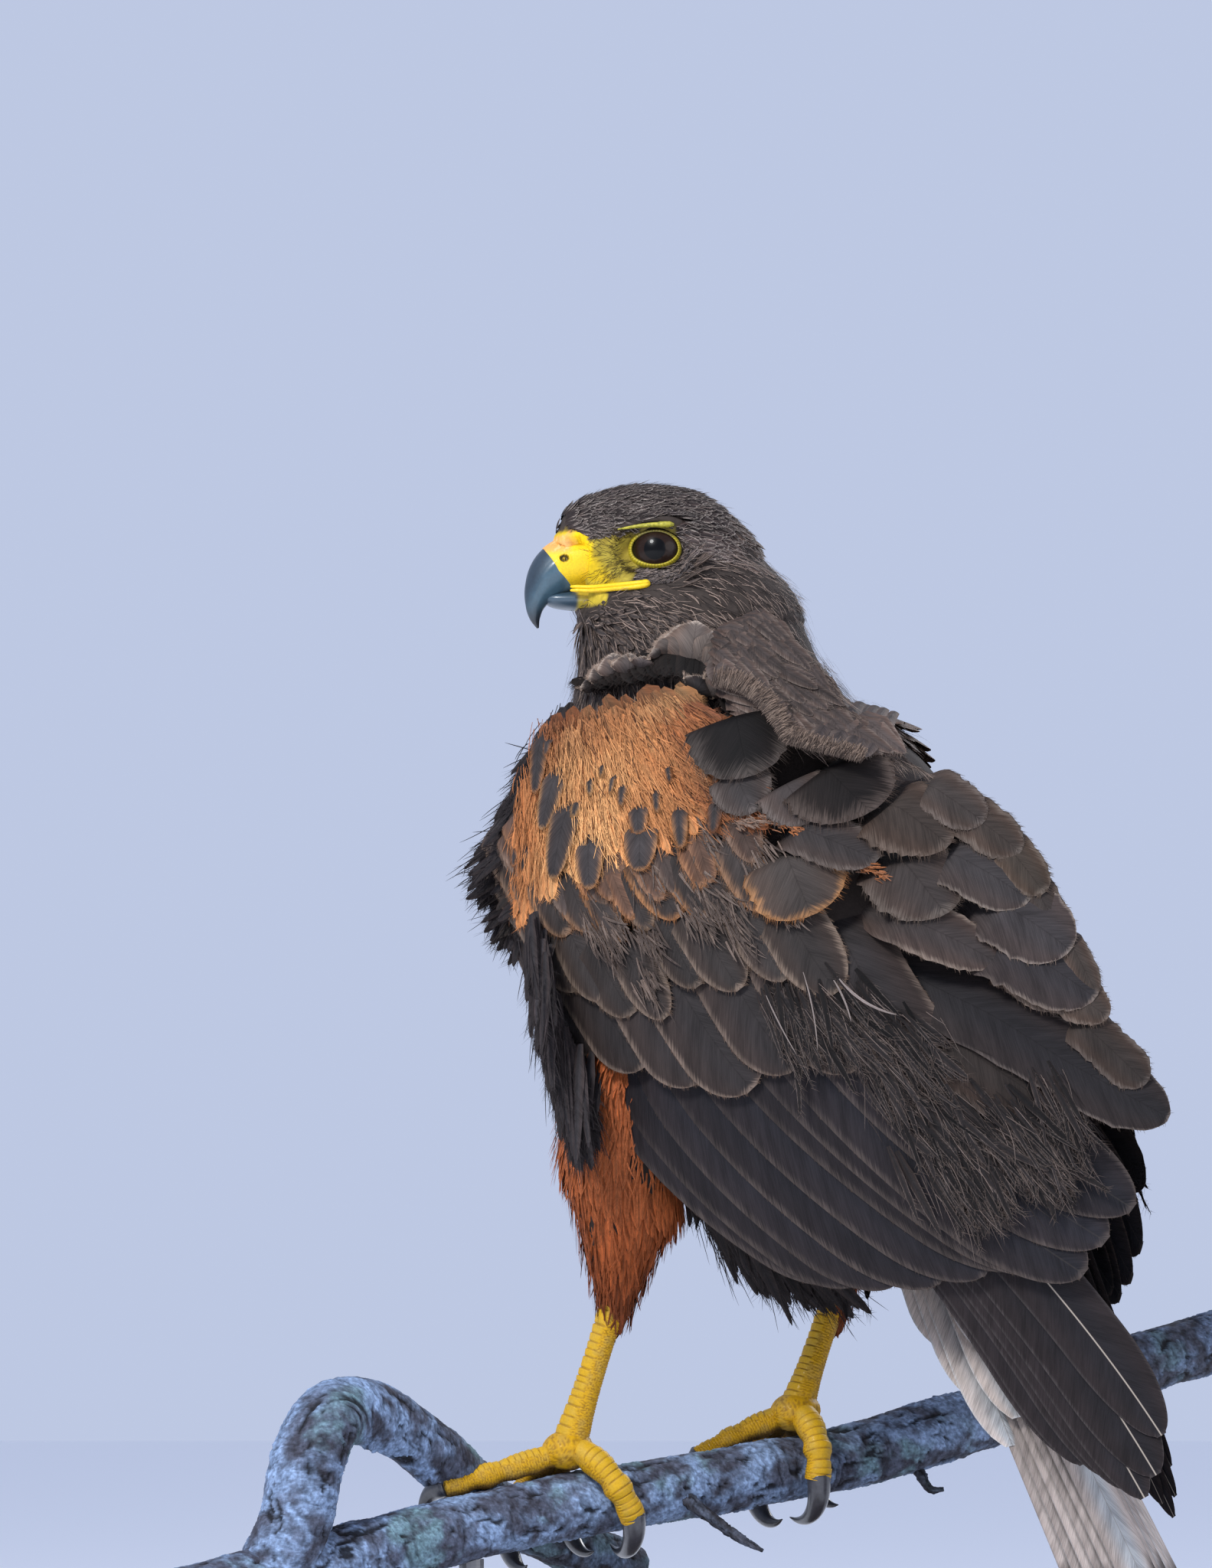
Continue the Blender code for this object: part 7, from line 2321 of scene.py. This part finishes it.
def bark_form(centres, radii, hint, sides, seed):
    """A branch's surface with cracks, rings of scars, knots and lichen."""
    _, first, other = path_frames(centres, hint)
    turn = np.arange(sides) * 2 * math.pi / sides
    reach = path_reach(centres)
    out = np.cos(turn)[None, :, None] * first[:, None] + np.sin(turn)[None, :, None] * other[:, None]
    one = np.ones((len(centres), 1))
    q = np.stack([reach[:, None] * np.ones(sides), np.cos(turn)[None] * 10.8 * one,
                  np.sin(turn)[None] * 10.8 * one],
                 axis=-1)
    swell = 0.75 * layered(q * 0.045, 3, seed)
    warp = q + 2.5 * np.stack([layered(q * 0.12, 2, seed + k) for k in (40, 41, 42)], axis=-1)
    long_crack = layered(warp * (0.10, 0.42, 0.42), 4, seed + 7)
    rings_round = layered(warp * (0.75, 0.10, 0.10), 3, seed + 11)
    fine = layered(q * 1.1, 3, seed + 23)
    crack = -0.75 * smooth((long_crack - 0.42) / 0.4) - 0.35 * smooth((rings_round - 0.45) / 0.35)
    knots = 1.3 * smooth((layered(q * 0.16, 2, seed + 51) - 0.72) / 0.4)
    patch = smooth((layered(warp * 0.14, 5, seed + 31) + 0.55) / 1.1)
    crust = patch * (0.25 + 0.2 * fine)
    radius = np.asarray(radii)[:, None] - 0.3 + swell + crack + crust + 0.14 * fine + knots
    rings = centres[:, None] + radius[..., None] * out
    return rings, crack, patch, fine


def bark_paint(rings, crack, patch, fine, brown):
    """Dark bark with blue-white and green lichen. brown is how bare the bark is, from 0 to 1."""
    brown = brown[..., None]
    mottle = smooth(layered(rings * 0.5, 4, 91) * 0.7 + 0.5)[..., None]
    grain = layered(rings * (1.6, 0.8, 1.6), 3, 17)[..., None]
    bark = lerp(srgb(94, 92, 104), srgb(66, 60, 66), mottle)
    bark = bark * (1 - brown) + (lerp(srgb(72, 66, 70), srgb(42, 36, 36), mottle)) * brown
    pale = srgb(150, 160, 184) * (1 - 0.6 * mottle) + srgb(108, 116, 134) * 0.6 * mottle
    green = smooth((layered(rings * 0.045, 3, 77) - 0.05) / 0.35)[..., None]
    pale = pale * (1 - 0.7 * green) + srgb(112, 134, 128) * 0.7 * green
    cover = np.clip(patch[..., None] * (1.0 - 0.7 * brown) * (1 + 0.4 * grain), 0, 1)
    colour = bark * (1 - cover) + pale * cover
    # cracks darker with their depth: the inner bark's own dark and painted shade in them
    dark = np.clip(-crack * 1.4, 0, 0.92)[..., None]
    colour = colour * (1 - dark) + srgb(26, 21, 21) * dark
    return np.clip(colour * (0.74, 0.9, 1.02) * (1 + 0.3 * fine[..., None] + 0.2 * grain), 0.006, 0.95)


def make_perch():
    parts, paints = [], []
    xs = np.linspace(PERCH_X[0], PERCH_X[-1], 640)
    centres = perch_middle(xs)
    rings, crack, patch, fine = bark_form(centres, np.full(len(xs), PERCH_RADIUS), UP, 96, 3)
    brown = np.broadcast_to(0.1 + 0.7 * smooth((xs - 20.0) / 100.0)[:, None], crack.shape)
    parts.append(tube(rings))
    paint = bark_paint(rings, crack, patch, fine, brown)
    paints.append(with_caps(paint))
    index = np.arange(len(FORK))
    steps = np.linspace(0, len(FORK) - 1, 360)
    centres = curve(steps, index, FORK) + (0.0, 0.0, REST_Z)
    rings, crack, patch, fine = bark_form(centres, curve(steps, index, FORK_RADII), [0.5, 0.85, 0.0], 88, 8)
    brown = 0.2 + 0.5 * smooth((rings[..., 1] + 40) / 50.0)
    parts.append(tube(rings))
    paint = bark_paint(rings, crack, patch, fine, brown)
    paints.append(with_caps(paint))
    base = perch_middle(-28.0)
    path = [base + (0, -7, -2), base + (9, -14, -9), base + (19, -20, -16), base + (26, -24, -20)]
    c, r, _ = resample(path, (2.6, 2.0, 1.6, 1.0), 60)
    base = perch_middle(50.0)
    path = [base + (0, -2, -8), base + (2, -3, -13), base + (5, -4, -17), base + (9, -5, -17)]
    c2, r2, _ = resample(path, (2.2, 1.6, 1.2, 0.7), 40)
    for centres, radii in ((c, r), (c2, r2)):
        rings, crack, patch, fine = bark_form(centres, radii, [0.3, 0.9, 0.1], 24, 12)
        rings = centres[:, None] + (rings - centres[:, None]) * 0.9
        parts.append(tube(rings))
        paint = bark_paint(rings, crack, patch * 0.3, fine, np.full(crack.shape, 0.9))
        paints.append(with_caps(paint))
    points, faces = join_parts(parts)
    paint_object("perch_look", points, faces, BARK, np.concatenate(paints), "perch", slot="bark")


TARSUS_TOP_SHARE = 0.16
HUB_HEIGHT = 7.4
TARSUS_RADII = (4.3, 4.3, 4.15, 4.1, 4.2, 4.4, 4.8, 5.4, 5.6)
CLAW_SHARES = (0.80, 0.80, 0.76, 0.68, 0.58, 0.46, 0.32, 0.18, 0.04)
CLAW_RINGS = 60
CLAW_SIDES = 28
# Each toe: the angle round the perch at its end, its shift along the perch, its radius, its claw's length
TOES = {
    "left": {
        "hind": (-112.0, 11.0, 4.6, 25.0),
        "inner": (112.0, 3.0, 4.0, 20.0),
        "middle": (122.0, -17.0, 4.2, 19.0),
        "outer": (24.0, -37.0, 3.9, 16.0),
    },
    "right": {
        "hind": (-102.0, -4.0, 4.6, 24.0),
        "inner": (60.0, -26.0, 4.0, 20.0),
        "middle": (122.0, -9.0, 4.2, 19.0),
        "outer": (112.0, 10.0, 3.9, 16.0),
    },
}


def hub_place(leg):
    middle, _, _, up = perch_frame(leg["foot_x"])
    return middle + up * (PERCH_RADIUS + HUB_HEIGHT)


def toe_path(leg, end_angle, shift, radius, steps=8):
    x0 = leg["foot_x"]
    hub = hub_place(leg)
    points = [hub - (hub - perch_frame(x0)[0]) * 0.08]
    for t in np.linspace(0.18, 1, steps):
        middle, _, far, up = perch_frame(x0 + shift * t)
        angle = math.radians(end_angle) * t
        reach = PERCH_RADIUS + radius * (1.0 - 0.08 * t) + 0.4 + 3.0 * (1 - t) ** 2
        points.append(middle + reach * (far * math.sin(angle) + up * math.cos(angle)))
    t = np.linspace(0, 1, len(points))
    radii = radius * (1.02 - 0.16 * t + 0.10 * np.cos(t * 2 * math.pi * 3.2))
    return np.array(points), radii


def claw_path(leg, end_angle, shift, radius, length, steps=9):
    x0 = leg["foot_x"]
    turn = math.degrees(length / (PERCH_RADIUS + 5.0)) * math.copysign(1, end_angle)
    points = []
    for t in np.linspace(-0.08, 1, steps):
        middle, _, far, up = perch_frame(x0 + shift * (1 + 0.12 * t))
        angle = math.radians(end_angle + turn * t)
        reach = PERCH_RADIUS + radius + 0.4 + 1.6 * math.sin(max(t, 0) * math.pi) + 0.2 * t
        points.append(middle + reach * (far * math.sin(angle) + up * math.cos(angle)))
    return np.array(points)


def scaled_tube(path, radii, outward, sides=56, pitch=2.1, step=0.22, sole=0.0, scutes=1.15):
    """A toe or shank with plates on the side that outward points to, and small scales elsewhere."""
    total = np.linalg.norm(np.diff(path, axis=0), axis=1).sum()
    count = int(total / step)
    centres, r, places = resample(path, radii, count)
    tangents = unit(np.gradient(centres, axis=0))
    hint = np.stack([np.interp(np.linspace(0, 1, count), np.linspace(0, 1, len(outward)), outward[:, k])
                     for k in range(3)], axis=1)
    first = unit(hint - tangents * (hint * tangents).sum(-1, keepdims=True))
    other = np.cross(tangents, first)
    turn = np.arange(sides) * 2 * math.pi / sides
    away = np.abs((turn + math.pi) % (2 * math.pi) - math.pi)
    plate = 1 - smooth((away - scutes + 0.15) / 0.3)
    warp = 0.5 * noise(np.stack([places * 0.2, 0 * places, 0 * places], axis=1), 4)
    phase = ((places / pitch + warp)[:, None] + 0.1 * np.cos(turn)[None]) % 1.0
    step_shape = (0.34 * (1 - phase)
                  - 0.45 * np.exp(-((np.minimum(phase, 1 - phase) / 0.07) ** 2))) * plate[None]
    around = turn[None, :] * r[:, None]
    cell = np.stack([np.broadcast_to(places[:, None], around.shape) * 1.05, around * 1.05,
                     0 * around + 3.3], axis=-1)
    pebble = cells(cell)
    pebbles = (0.30 * pebble) * (1 - plate[None])
    radius = r[:, None] + step_shape + pebbles - 0.15
    under = smooth((away - 2.1) / 0.6)[None]
    radius = radius + sole * under * (0.5 + 0.5 * np.sin(places / 9.0 * 2 * math.pi))[:, None]
    rings = centres[:, None] + radius[..., None] * (
        np.cos(turn)[None, :, None] * first[:, None] + np.sin(turn)[None, :, None] * other[:, None]
    )
    groove = np.clip(np.exp(-((np.minimum(phase, 1 - phase) / 0.09) ** 2)) * plate[None]
                     + (1 - smooth(pebble / 0.35)) * (1 - plate[None]), 0, 1)
    return rings, groove, under * np.ones_like(groove), plate[None] * np.ones_like(groove)


def cells(p):
    """Rounded cells: 0 in the grooves between them and 1 on their tops."""
    shape = p.shape[:-1]
    q = p.reshape(-1, 3)[:, :2]
    base = np.floor(q).astype(np.int64)
    near = np.full(len(q), 9.0)
    second = np.full(len(q), 9.0)
    for dx in (-1, 0, 1):
        for dy in (-1, 0, 1):
            c = base + (dx, dy)
            k = (c[:, 0] * 73856093) ^ (c[:, 1] * 19349663)
            k = ((k ^ (k >> 13)) * 2246822519) & 0xFFFFFFFF
            jx = ((k >> 4) & 0xFFF) / 4095.0
            jy = ((k >> 16) & 0xFFF) / 4095.0
            d = np.hypot(c[:, 0] + 0.2 + 0.6 * jx - q[:, 0], c[:, 1] + 0.2 + 0.6 * jy - q[:, 1])
            second = np.minimum(second, np.maximum(near, d))
            near = np.minimum(near, d)
    return smooth((second - near) / 0.45).reshape(shape)


def leg_paint(rings, groove, under, plate):
    base = srgb(190, 144, 12)
    grey = srgb(150, 132, 78)
    mottle = smooth(layered(rings * 0.35, 3, 21) * 0.8 + 0.3)[..., None]
    colour = base * (1 - 0.35 * mottle) + grey * 0.35 * mottle
    colour = colour * (1 - 0.3 * plate[..., None]) + srgb(196, 160, 40) * 0.3 * plate[..., None]
    # the grooves between plates and scales darker: their own skin colour and painted shade in them
    colour = colour * (1 - 0.6 * groove[..., None]) + srgb(104, 68, 24) * 0.6 * groove[..., None]
    # under darkens the side away from the plates: on the toes the soles' own browner skin and painted shade,
    # on the shank painted shade on its back
    return colour * (1 - 0.72 * under[..., None]) + srgb(76, 54, 40) * 0.72 * under[..., None]


def make_tarsus(key, leg, hub):
    """The bare shank, from the thigh's feathers down to the foot."""
    ankle = np.array(leg["ankle"]) + (0, 0, REST_Z)
    bottom = hub + unit(ankle - hub) * 5.0
    top = lerp(ankle, bottom, TARSUS_TOP_SHARE)
    top = top + unit(ankle - bottom) * 6.0
    path = np.array([lerp(top, hub, t) for t in np.linspace(0, 1, len(TARSUS_RADII))])
    front = unit(HEAD_FORWARD + np.array([0.0, -0.25, 0.0]))
    rings, groove, under, plate = scaled_tube(path, np.array(TARSUS_RADII), np.array([front, front]), 60, 2.9,
                                              0.24, 0.0, 1.0)
    # the shank's back side is darkened a little: painted shade
    paint = with_caps(leg_paint(rings, groove, under * 0.35, plate))
    points, faces = tube(rings)
    paint_object("tarsus_look_" + key, points, faces, LEG_SKIN, np.clip(paint, 0, 1), "tarsus_" + key,
                 slot="leg_skin")


def foot_ball(leg, hub):
    """The rounded middle of the foot, where the toes meet."""
    _, along, far, up = perch_frame(leg["foot_x"])
    turn = np.arange(48) * 2 * math.pi / 48
    rings = []
    for b in np.linspace(0.05, math.pi - 0.05, 40):
        rings.append(hub + 8.2 * math.cos(b) * along
                     + math.sin(b) * (7.8 * np.cos(turn)[:, None] * far + 6.2 * np.sin(turn)[:, None] * up))
    q = np.array(rings) - hub
    pebble = cells(np.stack([q @ along, np.arctan2(q @ up, q @ far) * 7.0, 0 * q[..., 0]], axis=-1))
    rings = hub + q * (1 + 0.04 * pebble)[..., None]
    return tube(rings), with_caps(leg_paint(rings, 1 - smooth(pebble / 0.35), 0 * pebble, 0 * pebble))


def foot_toe(leg, angle, shift, radius):
    path, radii = toe_path(leg, angle, shift, radius)
    outward = []
    for t in np.linspace(0.0, 1, len(path)):
        _, _, far, up = perch_frame(leg["foot_x"] + shift * t)
        a = math.radians(angle) * t
        outward.append(far * math.sin(a) + up * math.cos(a))
    rings, groove, under, plate = scaled_tube(path, radii, np.array(outward), 52, 2.3, 0.22, 0.35)
    return tube(rings), with_caps(leg_paint(rings, groove, under, plate))


def make_claw(name, leg, angle, shift, radius, length):
    _, along, _, _ = perch_frame(leg["foot_x"])
    line = claw_path(leg, angle, shift, radius, length)
    centres, radii, _ = resample(line, np.array(CLAW_SHARES) * radius, CLAW_RINGS)
    points, faces = tube(round_path(centres, radii, along, CLAW_SIDES, 1.08))
    tone = np.repeat(np.linspace(0, 1, CLAW_RINGS + 2), CLAW_SIDES)[:, None]
    shade = lerp(srgb(58, 58, 64), srgb(26, 26, 30), tone) * (1 + 0.2 * layered(points * 0.9, 3, 6)[:, None])
    paint_object(name + "_look", points, faces, CLAW, np.clip(shade, 0, 1), name, slot="claw")


def make_feet():
    for key, leg in LEGS.items():
        hub = hub_place(leg)
        make_tarsus(key, leg, hub)
        pieces = [foot_ball(leg, hub)]
        for toe, (angle, shift, radius, length) in TOES[key].items():
            pieces.append(foot_toe(leg, angle, shift, radius))
            make_claw(f"claw_{key}_{toe}", leg, angle, shift, radius, length)
        points, faces = join_parts([part for part, _ in pieces])
        paint = np.concatenate([paint for _, paint in pieces])
        paint_object("foot_look_" + key, points, faces, LEG_SKIN, np.clip(paint, 0, 1), "foot_" + key,
                     slot="leg_skin")


def carried_materials():
    """Finishes for the stand's own nodes, which are shown as they are."""
    wood, tree, shader = new_material("dark_wood")
    place = object_place(tree)
    x, y, z = split(tree, place)
    grain = combine(tree, math_node(tree, "MULTIPLY", x, 14.0), math_node(tree, "MULTIPLY", y, 90.0),
                    math_node(tree, "MULTIPLY", z, 90.0))
    rings = noise_node(tree, grain, 1.0, 5.0, 0.6)
    tree.links.new(mix(tree, ramp(tree, rings, 0.3, 0.7), tuple(srgb(46, 34, 28)), tuple(srgb(86, 62, 46))),
                   shader.inputs["Base Color"])
    shader.inputs["Roughness"].default_value = 0.45
    bump(tree, shader, rings, 0.08, 0.0005)
    metal, tree, shader = new_material("brushed_rod")
    place = object_place(tree)
    x, y, z = split(tree, place)
    streak = noise_node(tree, combine(tree, math_node(tree, "MULTIPLY", x, 60.0),
                                      math_node(tree, "MULTIPLY", y, 60.0),
                                      math_node(tree, "MULTIPLY", z, 2500.0)), 1.0, 3.0, 0.6)
    tree.links.new(mix(tree, streak, tuple(srgb(92, 92, 94)), tuple(srgb(128, 128, 130))),
                   shader.inputs["Base Color"])
    shader.inputs["Metallic"].default_value = 1.0
    shader.inputs["Roughness"].default_value = 0.38
    for name, material in (("stand_base", wood), ("stand_rod_left", metal), ("stand_rod_right", metal)):
        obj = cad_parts[name]
        obj.data.materials.clear()
        obj.data.materials.append(material)


# Floor, light and camera


def plain_material(name, colour, roughness):
    material, _, shader = new_material(name)
    shader.inputs["Base Color"].default_value = (*colour, 1.0)
    shader.inputs["Roughness"].default_value = roughness
    shader.inputs["Specular IOR Level"].default_value = 0.2
    return material


def make_stage():
    size = 12000.0
    points = np.array([(-size, -size, 0), (size, -size, 0), (size, size, 0), (-size, size, 0)], float)
    floor = mesh_object("floor", points, np.array([[0, 1, 2, 3]]),
                        plain_material("floor_pale", (0.93, 0.94, 0.97), 0.9))
    world = bpy.data.worlds.new("studio")
    world.use_nodes = True
    bpy.context.scene.world = world
    background = world.node_tree.nodes["Background"]
    background.inputs["Color"].default_value = (0.60, 0.68, 0.90, 1.0)
    background.inputs["Strength"].default_value = 0.85
    for name, place, aim, size, power in (
        ("key", (-1.4, -1.9, 2.1), (0.0, 0.0, 0.3), 0.8, 84.0),
        ("fill", (1.9, -1.5, 0.9), (0.0, 0.0, 0.25), 1.8, 16.0),
        ("rim", (1.2, 1.9, 1.5), (0.0, 0.0, 0.3), 1.2, 26.0),
    ):
        data = bpy.data.lights.new(name, "AREA")
        data.shape = "DISK"
        data.size = size
        data.energy = power
        lamp = bpy.data.objects.new(name, data)
        lamp.location = place
        lamp.rotation_euler = (Vector(aim) - Vector(place)).to_track_quat("-Z", "Y").to_euler()
        bpy.context.scene.collection.objects.link(lamp)
    data = bpy.data.cameras.new("camera")
    data.sensor_width = SENSOR
    data.sensor_fit = "AUTO"
    data.lens = SENSOR * IMAGE_SCALE / IMAGE_HEIGHT
    data.clip_end = 100.0
    camera = bpy.data.objects.new("camera", data)
    target = Vector(CAMERA_AIM * MM)
    camera.location = target - Vector(LOOK) * (CAMERA_DISTANCE * MM)
    camera.rotation_euler = (target - camera.location).to_track_quat("-Z", "Y").to_euler()
    bpy.context.scene.collection.objects.link(camera)
    bpy.context.scene.camera = camera
    bpy.context.scene.view_settings.view_transform = "Standard"


def main():
    tree = make_skin()
    head_piece = coat_object("coat_head", head_coat(tree) + bristles(tree))
    neck_piece = coat_object("coat_neck", neck_coat(tree))
    ruff_piece = coat_object("coat_ruff", ruff_coat(tree) + mantle_coat(1) + mantle_coat(-1))
    body_piece = coat_object("coat_body", body_coat(tree) + breast_fluff(tree))
    near, far = hanging_coat()
    for word, batches in (("near", near), ("far", far)):
        piece = coat_object("coat_fringe_" + word, batches)
    for key in LEGS:
        piece = coat_object("coat_thigh_" + key, thigh_coat(tree, key))
    for side, word in ((1, "left"), (-1, "right")):
        flight, shoulder = wing_coat(side)
        piece = coat_object("coat_wing_" + word, flight)
        piece = coat_object("coat_shoulder_" + word, shoulder)
    feathers, coverts = tail_coat()
    piece = coat_object("coat_tail", feathers + coverts)
    make_bill()
    make_eyes()
    make_lids(tree)
    make_feet()
    make_perch()
    carried_materials()
    make_stage()


main()
